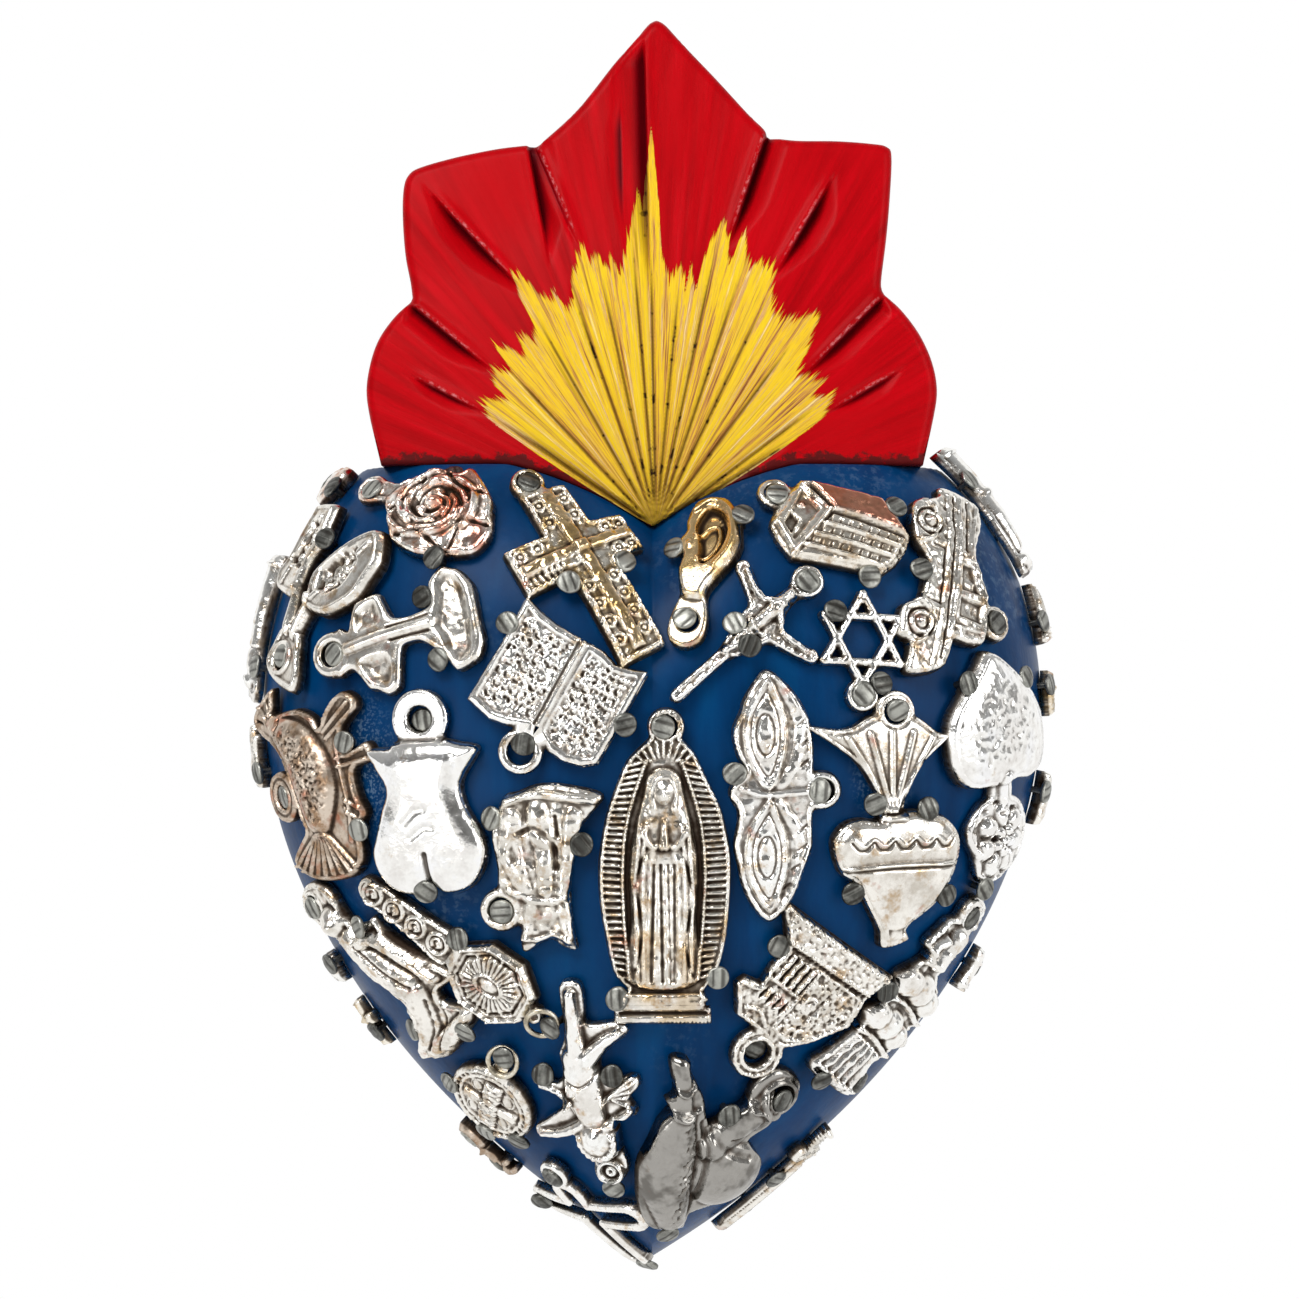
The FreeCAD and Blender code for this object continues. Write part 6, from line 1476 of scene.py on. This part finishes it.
# the flame: overlapping petals with a sharp lip at each crease, and a brushed burst in the middle
flame = {
    "root": 8.0, "proud": 1.2, "slope": 0.18, "spacing": 0.3, "edge": 1.2, "seamHalf": 34.5, "lipWidth": 0.38,
    "right": [
        [0.56, 74.7, 1.7, 74.1, 4.2, 71.3, 8.3, 66.9, 12.4, 62.3, 14.3, 60.4, 14.9, 59.3],
        [14.9, 59.3, 18.6, 58.9, 23.7, 58.9, 28.3, 58.6, 30.2, 58.2, 30.8, 56.9, 30.5, 51.3, 30, 46.1, 29.3, 40.6,
         29.5, 39.1],
        [29.5, 39.1, 31.9, 36.9, 34.2, 33.8, 35.8, 30.2, 36.4, 26.6, 35.9, 23, 35, 19.4, 34.5, 17]],
    "left": [
        [-34.5, 17, -35.3, 20.4, -36, 23, -36.5, 26.6, -36, 30.2, -34.9, 33.3, -32.9, 36.1, -30.6, 38.2],
        [-30.6, 38.2, -30.9, 40.5, -31.6, 44.1, -32, 49.2, -31.9, 52.8, -31.3, 54.5, -29.8, 55.5, -25.1, 56.8,
         -20, 57.8, -16.4, 58.2, -14.6, 58.2],
        [-14.6, 58.2, -13.8, 58.9, -10.2, 62.2, -7.7, 65.2, -4.6, 69.3, -2.5, 71.6, -0.5, 74.1, 0.56, 74.7]],
    # each crease: outer end, inner end, width and depth, height of its lip, and the side that is cut away
    "creases": [
        ((-0.9, 72.3), (0.1, 34), 4.6, 1.9, 0.1, -1, 0.12), ((-16.2, 58.8), (-13.2, 42.5), 3.6, 2.3, 0.2, 1, 0.08),
        ((-15, 58.8), (-8.6, 43.5), 1.3, 0.8, 0.35, -1, 0.08), ((-29.6, 53.6), (-15, 38), 3.4, 2.4, 0.4, -1, 0.42),
        ((-31.2, 38.2), (-19.5, 28.5), 3, 2, 0.35, -1, 0.15), ((-31.8, 29.2), (-20, 23), 2, 1.2, 0.25, -1, 0.4),
        ((14.6, 60.2), (9.2, 44), 3.4, 2.6, 0.35, 1, 0.08), ((23.6, 55.2), (14.8, 40), 3.4, 2.4, 0.4, 1, 0.42),
        ((29.8, 39.2), (18, 27.2), 3, 2, 0.35, 1, 0.15), ((32.8, 30), (21, 23), 2.1, 1.2, 0.35, 1, 0.4),
        ((-3.9, 65), (-3.4, 45), 2.4, 0.3, 0, -1, 0.3),
    ],
    # carved lines under the yellow paint, from where they start to the burst's root
    "spokes": [(-22.4, 24.6), (-19.6, 30.6), (-16.2, 38.4), (-10.6, 40.4), (-6.9, 43.2), (-2.6, 47), (-0.2, 46),
        (3.6, 42), (8.4, 46), (11.9, 43.2), (15.6, 40.5), (18.6, 33.6), (22.2, 25.4), (-18.4, 22.2), (18.4, 20.4)],
    "burstRoot": (0.5, 8.8),
    "burst": [-20.6, 22.6, -21.8, 24, -21.8, 25.6, -18.8, 25.6, -20.8, 29.2, -17.6, 28.6, -20.3, 32.4, -16.2, 31,
        -17.4, 33.4, -14.4, 33.4, -18.5, 42.4, -15.6, 40.4, -13.6, 37.8, -12.5, 39.8, -11.4, 37.4, -10.2, 38.4,
        -9.9, 37.4, -9.2, 45.2, -7.8, 43.4, -7.1, 44.3, -6, 42.4, -5.1, 44.1, -4.1, 40.8, -2.8, 47.2, -1.8, 52.9,
        -1.2, 49.2, -0.1, 61, 0.7, 52.3, 1.3, 43.6, 2.2, 40.4, 3.6, 43.2, 4.3, 39.6, 4.9, 43.4, 5.5, 39, 6.9, 44.6,
        9.3, 48.8, 10, 43.2, 11.7, 47, 12.3, 42.8, 15.6, 43.2, 15.4, 38.2, 16.6, 35.4, 18.8, 36.2, 21.1, 36.2,
        19.6, 31.2, 18.6, 28.8, 20.4, 28.4, 21.9, 27.8, 20.6, 25.6, 23.4, 26.4, 22, 23.6, 21.1, 22.3],
}
flameRoot = np.array([0.0, flame["root"]])
rootDepth = float(domeDepth((flame["root"] - heart["core"]) / (heart["cleft"] - heart["core"]))) + flame["proud"]


def evenly(points, gap):
    # a path cut into steps of one length, first point kept and last left out
    along = stepsAlong(points)[1]
    places = np.linspace(0, along[-1], max(int(round(along[-1] / gap)), 2) + 1)[:-1]
    return np.stack([np.interp(places, along, points[:, 0]), np.interp(places, along, points[:, 1])], 1)


def flameLoop(gap):
    rightSide = [evenly(smoothPath(part, 6), gap) for part in flame["right"]]
    leftSide = [evenly(smoothPath(part, 6), gap) for part in flame["left"]]
    seamX = np.linspace(flame["seamHalf"], -flame["seamHalf"], 180)
    seam = evenly(np.stack([seamX, seamLine(seamX)], 1), gap)
    return np.vstack(rightSide + [seam] + leftSide)


def creaseFrame(points, outer, inner):
    # how far along a crease each point is, and how far to its side
    a, b = np.array(outer), np.array(inner)
    length = np.linalg.norm(b - a)
    u = (b - a) / length
    along = (points - a) @ u
    side = (points - a) @ np.array([-u[1], u[0]])
    return along / length, side


def flameHeights(points):
    # how far the front stands from the back plane, with masks for the lips, which get worn paint and a painted
    # highlight, and for the creases, which get painted shade
    away = np.linalg.norm(points - flameRoot, axis=1)
    h = rootDepth - flame["slope"] * away
    lips, creases = np.zeros(len(points)), np.zeros(len(points))
    for outer, inner, width, depth, lip, hand, opens in flame["creases"]:
        t, side = creaseFrame(points, outer, inner)
        side = side * hand
        taper = np.clip(np.minimum((t + 0.02) / opens, (1.06 - t) / 0.55), 0, 1)
        taper = taper * taper * (3 - 2 * taper)
        wide = width * (0.2 + 0.8 * taper)
        step = np.clip(side / flame["lipWidth"], 0, 1)
        slope = np.clip(1 - side / wide, 0, 1)
        h = h - depth * taper * step * slope ** 1.35
        h = h + lip * taper * np.exp(-((side + 0.35) / 0.55) ** 2)
        within = (t > -0.02) & (t < 1.05)
        lips = np.maximum(lips, np.where(within & (lip > 0.2), taper * np.exp(-((side + 0.1) / 0.28) ** 2), 0))
        creases = np.maximum(creases, np.where(within, taper * step * np.clip(1 - side / (0.5 * wide), 0, 1), 0))
    root = flame["burstRoot"]
    for spoke in flame["spokes"]:
        t, side = creaseFrame(points, spoke, root)
        taper = np.clip(np.minimum((t - 0.02) / 0.22, (1.0 - t) / 0.12), 0, 1)
        half = 0.25 + 0.5 * np.clip(1 - t, 0, 1) ** 0.5
        v = np.clip(1 - np.abs(side) / half, 0, 1)
        h = h - 0.5 * taper * v * v * (3 - 2 * v)
        creases = np.maximum(creases, taper * np.clip(1.05 - np.abs(side) / 0.3, 0, 1))
    return h, lips, creases


def burstField(points):
    # millimetres inside the ragged edge of the burst, with the fan's angle and reach
    root = np.array(flame["burstRoot"])
    edge = pairs(flame["burst"]) - root
    edgeAngles = np.degrees(np.arctan2(edge[:, 0], edge[:, 1]))
    order = np.argsort(edgeAngles)
    offset = points - root
    angle = np.degrees(np.arctan2(offset[:, 0], offset[:, 1]))
    reach = np.linalg.norm(offset, axis=1)
    limit = np.interp(angle, edgeAngles[order], np.linalg.norm(edge, axis=1)[order])
    ends = edgeAngles[order][0], edgeAngles[order][-1]
    outside = np.maximum(ends[0] - angle, angle - ends[1])
    limit = limit - np.clip(outside, 0, None) * 7.0
    return limit - reach, angle, reach


def flamePiece():
    gap = flame["spacing"] * 1
    loop = flameLoop(gap)
    n = len(loop)
    step = 0.4
    lo, hi = loop.min(0) - 2, loop.max(0) + 2
    xs, ys = np.arange(lo[0], hi[0], step), np.arange(lo[1], hi[1], step)
    x, z = np.meshgrid(xs, ys)
    r = {"x": x, "y": z, "xs": xs, "ys": ys, "lo": lo, "step": step, "d": loopDistance(x, z, loop)}
    normals = np.roll(loop, -1, 0) - np.roll(loop, 1, 0)
    normals = np.stack([normals[:, 1], -normals[:, 0]], 1) / np.linalg.norm(normals, axis=1, keepdims=True)
    points, edges = [loop], [(k, (k + 1) % n) for k in range(n)]
    for inset in (0.22, 0.55):
        row = loop + normals * inset * (-1 if gridSample(r, r["d"], (loop + normals)[:1])[0] > 0 else 1)
        points.append(row[gridSample(r, r["d"], row) < -0.8 * inset])
    # lines of the mesh follow each lip and each spoke, so that they stay crisp
    total = sum(len(p) for p in points)
    for crease in flame["creases"]:
        a, b, hand = np.array(crease[0]), np.array(crease[1]), crease[5]
        u = (b - a) / np.linalg.norm(b - a)
        across = np.array([-u[1], u[0]]) * hand
        for shift in (0, flame["lipWidth"]):
            track = evenly(np.array([a, b]) + across * shift, gap)
            track = track[gridSample(r, r["d"], track) < -0.7]
            edges += [(total + k, total + k + 1) for k in range(len(track) - 1)]
            points.append(track)
            total += len(track)
    for spoke in flame["spokes"]:
        track = evenly(np.array([spoke, flame["burstRoot"]]), gap)
        track = track[:int(0.86 * len(track))]
        edges += [(total + k, total + k + 1) for k in range(len(track) - 1)]
        points.append(track)
        total += len(track)
    inner = lattice(xs, ys, gap)
    points.append(inner[gridSample(r, r["d"], inner) < -0.8])
    flat, faces = triangles(r, np.vstack(points), edges, 1e-5, 0.05)
    used = np.unique(faces)
    renumber = np.full(len(flat), -1)
    renumber[used] = np.arange(len(used))
    flat, faces = flat[used], renumber[faces]
    border, ring, place = borderOf(faces)
    h, lips, creases = flameHeights(flat)
    d = np.minimum(gridSample(r, r["d"], flat), -0.02)
    d[ring] = 0
    atSeam = flat[:, 1] < seamLine(flat[:, 0]) + 1.2
    fall = rounding(d, flame["edge"])
    h = h - np.where(atSeam, 0.5 * fall, fall)
    for k in range(len(h)):
        # tool marks that run with the petals
        px, pz = flat[k]
        clock, away = atan2(px, pz - flame["root"]), hypot(px, pz - flame["root"])
        h[k] -= 0.13 * (0.5 + 0.5 * noise.noise(Vector((clock * 22, away * 0.05, 0))))
        h[k] -= 0.45 * (0.5 + 0.5 * noise.noise(Vector((px * 0.07, pz * 0.07, 4))))
    front = np.stack([flat[:, 0], -h, flat[:, 1]], 1)
    m, rings = len(flat), 10
    back = front.copy()
    back[:, 1] = 0
    verts, walls = [front, back], []
    previous = np.array(ring)
    for k in range(1, rings):
        start = 2 * m + (k - 1) * len(ring)
        wall = front[ring].copy()
        wall[:, 1] *= 1 - k / rings
        verts.append(wall)
        walls += [(int(previous[place[b]]), int(previous[place[a]]), start + place[a], start + place[b]) for a,
            b in border]
        previous = start + np.arange(len(ring))
    walls += [(int(previous[place[b]]), int(previous[place[a]]), m + a, m + b) for a, b in border]
    backFaces = [(f[2] + m, f[1] + m, f[0] + m) for f in faces.tolist()]
    solid = np.vstack(verts)
    flatPlace = solid[:, [0, 2]]
    burst, angle, reach = burstField(flatPlace)
    burst = np.where(-solid[:, 1] < 6, -9, burst)
    extra = len(solid) - m
    fields = {"burst": burst, "fanAngle": angle, "fanReach": reach, "seamRise": solid[:, 2] - seamLine(solid[:, 0]),
        "lip": np.concatenate([lips, np.zeros(extra)]), "crease": np.concatenate([creases, np.zeros(extra)])}
    piece = makeMesh("flame_block", solid * mm, faces.tolist() + backFaces + walls, redPaint, fields, sharpAngle=40)
    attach(piece, "root")
    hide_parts("flame_crown")
    return piece


def fanVector(angleScale, reachScale):
    # texture coordinates that run out from the burst's root
    made = node("ShaderNodeCombineXYZ",
        {0: times(attribute("fanAngle"), angleScale), 1: times(attribute("fanReach"), reachScale), 2: 0.0})
    return made.outputs[0]


def flamePaint():
    mat, shader, coords = newMaterial("redPaint")
    streaks = noiseTexture(fanVector(0.5, 0.04), 1, 5, 0.6)
    patches = noiseTexture(coords, 36, 4, 0.55)
    colour = ramp(streaks, (0.36, (0.3, 0, 0.002)), (0.52, (0.42, 0, 0.003)), (0.66, (0.52, 0, 0.005)))
    colour = mix(ramp(patches, (0.4, 0.15), (0.66, 0.85)), colour, (0.46, 0, 0.003))
    crease = attribute("crease")
    lip = attribute("lip")
    specks = noiseTexture(coords, 1600, 3, 0.7)
    # painted shade in the creases
    colour = mix(fadeIn(crease, 0.05, 0.6, 0.9), colour, (0.07, 0, 0.003))
    # worn pinkish-white paint along the lips, which is also a painted highlight on their sharp edges
    worn = times(fadeIn(lip, 0.35, 0.9), fadeIn(specks, 0.46, 0.66, 0.55))
    colour = mix(worn, colour, (0.72, 0.33, 0.34))
    # yellow strokes over the red, ragged at their ends
    burst = attribute("burst")
    hairs = noiseTexture(fanVector(1.9, 0.02), 1, 4, 0.75)
    rags = maths("ADD", burst, times(maths("SUBTRACT", hairs, 0.53), 9))
    covered = fadeIn(maths("MULTIPLY_ADD", rags, 0.5, 0.5), 0.38, 0.56)
    strokes = noiseTexture(fanVector(0.62, 0.03), 1, 5, 0.72)
    yellow = ramp(strokes, (0.37, (0.2, 0.06, 0.015)), (0.43, (0.52, 0.23, 0.07)), (0.48, (0.76, 0.46, 0.02)),
        (0.53, (0.82, 0.55, 0.02)), (0.57, (0.55, 0.26, 0.11)), (0.63, (0.86, 0.66, 0.26)))
    bright = fadeIn(noiseTexture(fanVector(0.3, 0.02), 1, 3, 0.6), 0.48, 0.6, 0.5)
    yellow = mix(bright, yellow, (0.86, 0.61, 0.01))
    # painted shade along the carved spokes under the yellow
    olive = fadeIn(times(crease, ramp(hairs, (0.3, 0.6), (0.6, 1))), 0.1, 0.75, 0.92)
    yellow = mix(olive, yellow, (0.15, 0.075, 0.01))
    blots = noiseTexture(coords, 620, 2, 0.5)
    grit = times(fadeIn(crease, 0.2, 0.7), fadeIn(blots, 0.6, 0.66))
    yellow = mix(grit, yellow, (0.02, 0.008, 0.003))
    colour = mix(covered, colour, yellow)
    # chipped dark line where the flame meets the heart
    rise = attribute("seamRise")
    chips = noiseTexture(coords, 520, 4, 0.7)
    seam = fadeIn(maths("MULTIPLY_ADD", rise, -0.2, maths("ADD", chips, 0.2)), 0.42, 0.52, 0.9)
    seam = times(seam, maths("SUBTRACT", 1, times(covered, 0.8)))
    colour = mix(seam, colour, (0.07, 0.008, 0.008))
    feed(shader, {"Base Color": colour, "Roughness": ramp(patches, (0.3, 0.36), (0.7, 0.5)),
        "Specular IOR Level": 0.05, "Coat Weight": 0.02, "Coat Roughness": 0.25})
    under = bumpOn(shader, streaks, 0.0002, 0.4)
    under = bumpOn(shader, times(covered, strokes), 0.0005, 0.6, under)
    bumpOn(shader, noiseTexture(coords, 800, 4, 0.6), 0.00007, 0.5, under)
    return mat


redPaint = flamePaint()


# nails and jump rings
nail = {"count": 91, "radius": 1.46, "height": 0.62, "dome": 0.16, "sink": 0.06, "tilt": 4.0, "shank": 0.42,
    "rings": 11, "around": 30, "grooves": 2.3, "grooveDepth": 0.07, "lean": 0.3, "press": 0.8, "length": 5.0,
    "feelers": ((0, 1), (0.7, 8), (1.52, 18))}
jumpRing = {"around": 72, "across": 20, "lean": 0.9, "press": 0.9, "feelers": 24}


def steel(name, tone, rough):
    mat, shader, coords = newMaterial(name)
    stain = maths("MULTIPLY_ADD", attribute("tone"), 0.42, noiseTexture(coords, 520, 4, 0.6))
    fine = noiseTexture(coords, 2400, 4, 0.7)
    shade = ramp(stain, (0.32, tuple(0.35 * c for c in tone)), (0.5, tone),
        (0.7, tuple(min(1.9 * c, 0.85) for c in tone)))
    scores = node("ShaderNodeCombineXYZ", {0: times(attribute("score"), 1.1), 1: 0.0, 2: 0.0})
    scores = noiseTexture(scores.outputs[0], 1.0, 3, 0.7)
    shade = mix(fadeIn(scores, 0.52, 0.66, 0.45), shade, tuple(min(2.0 * c, 0.9) for c in tone))
    # painted shade: dark in the score grooves of the nail heads, on their sides and shanks, and on the inner side of
    # the ring wire; the dark stripes across the scoring vary at random
    groove = maths("MAXIMUM", attribute("cavity"), ramp(scores, (0.3, 0.9), (0.42, 0.0)))
    groove = fadeIn(groove, 0.1, 0.8, 0.75)
    shade = mix(groove, shade, (0.03, 0.026, 0.022))
    feed(shader, {"Base Color": shade, "Metallic": 1.0, "Roughness": ramp(fine, (0.3, rough), (0.7, rough + 0.25))})
    bumpOn(shader, fine, 0.00006, 0.7)
    return mat


nailSteel = steel("nailSteel", (0.22, 0.22, 0.2), 0.3)
ringSteel = steel("ringSteel", (0.62, 0.55, 0.42), 0.2)


def nailPlaces():
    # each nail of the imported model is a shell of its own, all with as many points, one after the other
    corners = np.array([tuple(v.co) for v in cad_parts["nails"].data.vertices]) / mm
    found = []
    for shell in corners.reshape(nail["count"], -1, 3):
        p = np.array(list(dict.fromkeys(tuple(q) for q in np.round(shell, 3))))
        middle = p.mean(0)
        axis = np.linalg.svd(p - middle)[2][0]
        if axis @ (middle - np.array([0, 0, heart["core"]])) < 0:
            axis = -axis
        rise = (p - middle) @ axis
        found.append((p[rise > rise.max() - 0.25].mean(0), axis))
    return sorted(found, key=lambda item: tuple(np.round(item[0], 2)))


def treesOf(pieces):
    return [BVHTree.FromPolygons([v.co for v in o.data.vertices],
        [tuple(p.vertices) for p in o.data.polygons]) for o in pieces]


def layOn(trees, base, side, tall, out, circles, lean, press):
    # a disc or ring comes down along its axis and leans, until it lies on what is under it
    places, hits = [], []
    for radius, count in circles:
        for k in range(count):
            u, v = radius * cos(2 * pi * k / count), radius * sin(2 * pi * k / count)
            start = (base + side * u + tall * v + out * 5) * mm
            found = [hit for hit in (tree.ray_cast(start, -out, 0.012)[0] for tree in trees) if hit]
            if found:
                places.append((1, u, v))
                hits.append(max((hit / mm - base).dot(out) for hit in found))
    if len(hits) < 6:
        return base, side, tall, out
    places, hits = np.array(places), np.array(hits)
    plane = np.linalg.lstsq(places, hits, rcond=None)[0]
    slope = hypot(plane[1], plane[2])
    plane[1:] *= min(1, lean / max(slope, 1e-6))
    plane[0] += press * (hits - places @ plane).max()
    out = (out - side * plane[1] - tall * plane[2]).normalized()
    side = (side - out * side.dot(out)).normalized()
    return base + out * plane[0], side, side.cross(out), out


def nailTop(x, y, turn):
    # height of the scored head at a place on it, and how much painted shade its grooves get
    c, s = cos(turn), sin(turn)
    across = (x * c + y * s) / nail["radius"]
    wave = 0.5 + 0.5 * np.cos((across + 0.12 * np.sin(5 * turn + 3 * across)) * pi * nail["grooves"])
    away = np.hypot(x, y) / nail["radius"]
    groove = (1 - wave) ** 4 * np.clip((1 - away) * 6, 0, 1)
    edge = np.clip((away - 0.86) / 0.14, 0, 1)
    return nail["dome"] * (1 - away ** 2) - nail["grooveDepth"] * groove - 0.16 * edge ** 2, groove


def nailPiece(under):
    trees = treesOf(under)
    verts, faces, dark, scores, tones = [], [], [], [], []
    draw = random.Random(21)
    for head, axis in nailPlaces():
        out = Vector(axis).normalized()
        lean = Vector((draw.uniform(-1, 1), draw.uniform(-1, 1), draw.uniform(-1, 1)))
        out = (out + lean * sin(radians(nail["tilt"])) * 0.6).normalized()
        side = out.cross(Vector((0.3, 0.2, 1))).normalized()
        tall = side.cross(out)
        turn = draw.uniform(0, pi)
        base = Vector(head)
        base, side, tall, out = layOn(trees, base, side, tall, out, nail["feelers"], nail["lean"], nail["press"])
        low = -nail["sink"]
        start = len(verts)
        rings, around = nail["rings"], nail["around"]
        stretch = 1 + draw.uniform(-0.05, 0.05)
        tone, shift = draw.uniform(-0.5, 0.5), draw.uniform(0, 90)
        wobble = [1 + 0.02 * sin(3 * a + turn) for a in np.linspace(0, 2 * pi, around, endpoint=False)]
        profile = [(nail["radius"] * k / rings, nail["height"], True) for k in range(1, rings + 1)]
        profile += [(nail["radius"] * 1.02, nail["height"] * 0.55, False),
            (nail["radius"], nail["height"] * 0.15, False), (nail["radius"] * 0.9, 0.0, False),
            (nail["shank"], -0.02, False), (nail["shank"], -nail["length"], False)]
        top, groove = nailTop(np.array([0.0]), np.array([0.0]), turn)
        verts.append((base + out * (low + nail["height"] + float(top[0]))) * mm)
        dark.append(float(groove[0]))
        scores.append(shift)
        for radius, height, scored in profile:
            for k in range(around):
                angle = 2 * pi * k / around
                x, y = radius * cos(angle) * stretch * wobble[k], radius * sin(angle) / stretch * wobble[k]
                # off the scored face, the rim, underside and shank get a fixed painted shade
                rise, groove = nailTop(x, y, turn) if scored else (0.0, 0.5)
                verts.append((base + side * x + tall * y + out * (low + height + float(rise))) * mm)
                dark.append(float(groove))
                scores.append(shift + x * cos(turn) + y * sin(turn))
        faces += [(start, start + 1 + k, start + 1 + (k + 1) % around) for k in range(around)]
        for row in range(len(profile) - 1):
            a = start + 1 + row * around
            faces += [(a + k, a + around + k, a + around + (k + 1) % around,
                a + (k + 1) % around) for k in range(around)]
        tones += [tone] * (len(verts) - start)
        last = start + 1 + (len(profile) - 1) * around
        faces.append(tuple(last + k for k in range(around)))
    piece = makeMesh("nail_heads", verts, faces, nailSteel, {"cavity": dark, "score": scores, "tone": tones},
        sharpAngle=50)
    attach(piece, "root")
    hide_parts("nails")
    return piece


def ringPiece(name, cadName, trees):
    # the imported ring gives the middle, the plane and the two radii
    points = np.array([tuple(v.co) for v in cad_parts[cadName].data.vertices]) / mm
    points = np.unique(np.round(points, 4), axis=0)
    middle = points.mean(0)
    wide, tall, out = np.linalg.svd(points - middle)[2]
    flat = np.stack([(points - middle) @ wide, (points - middle) @ tall], 1)
    away = np.linalg.norm(flat, axis=1)
    radius, wire = (away.max() + away.min()) / 2, (away.max() - away.min()) / 2
    if out[1] > 0:
        out = -out
    base, wide, tall, out = layOn(trees, Vector(middle), Vector(wide), Vector(tall), Vector(out),
        [(reach, jumpRing["feelers"]) for reach in (radius - wire, radius, radius + wire)], jumpRing["lean"],
        jumpRing["press"])
    middle, wide, tall, out = [np.array(v) for v in (base + out * wire, wide, tall, out)]
    verts, faces, dark = [], [], []
    around, across = jumpRing["around"], jumpRing["across"]
    for i in range(around):
        # the ends of the wire meet at a small gap, closed by a pinch
        u = 2 * pi * i / around
        thick = wire * (1 - 0.25 * exp(-((u - pi) / 0.12) ** 2))
        for j in range(across):
            v = 2 * pi * j / across
            p = middle + (wide * cos(u) + tall * sin(u)) * (radius + thick * cos(v)) + out * thick * sin(v)
            verts.append(Vector(p) * mm)
            # painted shade on the inner side of the wire
            dark.append(0.3 * (cos(v) < -0.5))
            a, b = i * across, (i + 1) % around * across
            faces.append((a + j, b + j, b + (j + 1) % across, a + (j + 1) % across))
    piece = makeMesh(name, verts, faces, ringSteel, {"cavity": dark})
    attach(piece, "root")
    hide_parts(cadName)
    return piece


wood = [heartPiece(), flamePiece()]
print("heart and flame made")
trees = treesOf(castings + wood)
rings = [ringPiece("bar_medal_ring", "bar_medal_jump_ring", trees),
    ringPiece("round_medal_ring", "round_medal_jump_ring", trees)]
nailPiece(castings + wood + rings)
print("nails and jump rings made")


# stage: pale floor and backdrop, soft lamps, and the camera that the photo was taken from
stage = {
    "floor": -140, "backdrop": 1000, "wide": 6000, "wallColour": (0.86, 0.86, 0.87), "skyStrength": 0.6,
    "camera": (-0.33, -480, -6.44), "lens": 100.54, "sensor": 36, "lampTarget": (0, -15, -5),
    # each lamp: name, place, size and power
    "lamps": [("keyLamp", (-350, -700, 620), (500, 420), 6.2), ("fillLamp", (620, -520, 160), (420, 520), 2.4),
              ("lowLamp", (-420, -560, -110), (300, 300), 1.0)],
}


def backdropMaterial():
    mat, shader, coords = newMaterial("paleBackdrop")
    feed(shader, {"Base Color": (*stage["wallColour"], 1), "Roughness": 0.9})
    grainy = noiseTexture(coords, 400, 3)
    bumpOn(shader, grainy, 0.0001, 0.2)
    path = node("ShaderNodeLightPath")
    seen = maths("MAXIMUM", path.outputs["Is Camera Ray"],
        maths("MAXIMUM", path.outputs["Is Glossy Ray"], path.outputs["Is Transmission Ray"]))
    white = node("ShaderNodeEmission", {"Color": (1, 1, 1, 1), "Strength": 1.0}).outputs[0]
    blend = node("ShaderNodeMixShader", {0: seen, 1: shader.outputs[0], 2: white})
    feed(tree.nodes["Material Output"], {0: blend.outputs[0]})
    return mat


def softLamp(name, place, size, power):
    lamp = bpy.data.lights.new(name, "AREA")
    lamp.shape = "RECTANGLE"
    lamp.size, lamp.size_y = size[0] * mm, size[1] * mm
    lamp.energy = power
    obj = addObject(name, lamp)
    obj.location = Vector(place) * mm
    obj.rotation_euler = (Vector(stage["lampTarget"]) - Vector(place)).to_track_quat("-Z", "Y").to_euler()


def setStage():
    global tree
    wide, floor, wall = stage["wide"], stage["floor"], stage["backdrop"]
    corners = [(-wide, -wide, floor), (wide, -wide, floor), (wide, wall, floor), (-wide, wall, floor),
        (wide, wall, wide), (-wide, wall, wide)]
    backdrop = makeMesh("paleBackdrop", np.array(corners) * mm, [(0, 1, 2, 3), (3, 2, 4, 5)], backdropMaterial())
    for lamp in stage["lamps"]:
        softLamp(*lamp)
    camera = bpy.data.cameras.new("photoCamera")
    camera.lens = stage["lens"]
    camera.sensor_width = stage["sensor"]
    camera.clip_start = 0.01
    eye = addObject("photoCamera", camera)
    eye.location = Vector(stage["camera"]) * mm
    eye.rotation_euler = (radians(90), 0, 0)
    bpy.context.scene.camera = eye
    world = bpy.data.worlds.new("studio")
    bpy.context.scene.world = world
    world.use_nodes = True
    tree = world.node_tree
    split = node("ShaderNodeSeparateXYZ", {0: node("ShaderNodeTexCoord").outputs["Generated"]})
    # darker towards the front and below, so polished metal keeps its contrast
    front = ramp(maths("MULTIPLY_ADD", split.outputs["Y"], 0.5, 0.5), (0.1, 0.36), (0.75, 1.0))
    height = ramp(maths("MULTIPLY_ADD", split.outputs["Z"], 0.5, 0.5), (0.26, 0.12), (0.66, 1.0))
    light = mix(1.0, front, height, "MULTIPLY")
    feed(tree.nodes["Background"], {0: light, 1: stage["skyStrength"]})


setStage()
bpy.context.scene.view_settings.view_transform = "Standard"
print("stage set; most faces on a piece:", max(len(o.data.polygons) for o in castings + wood))
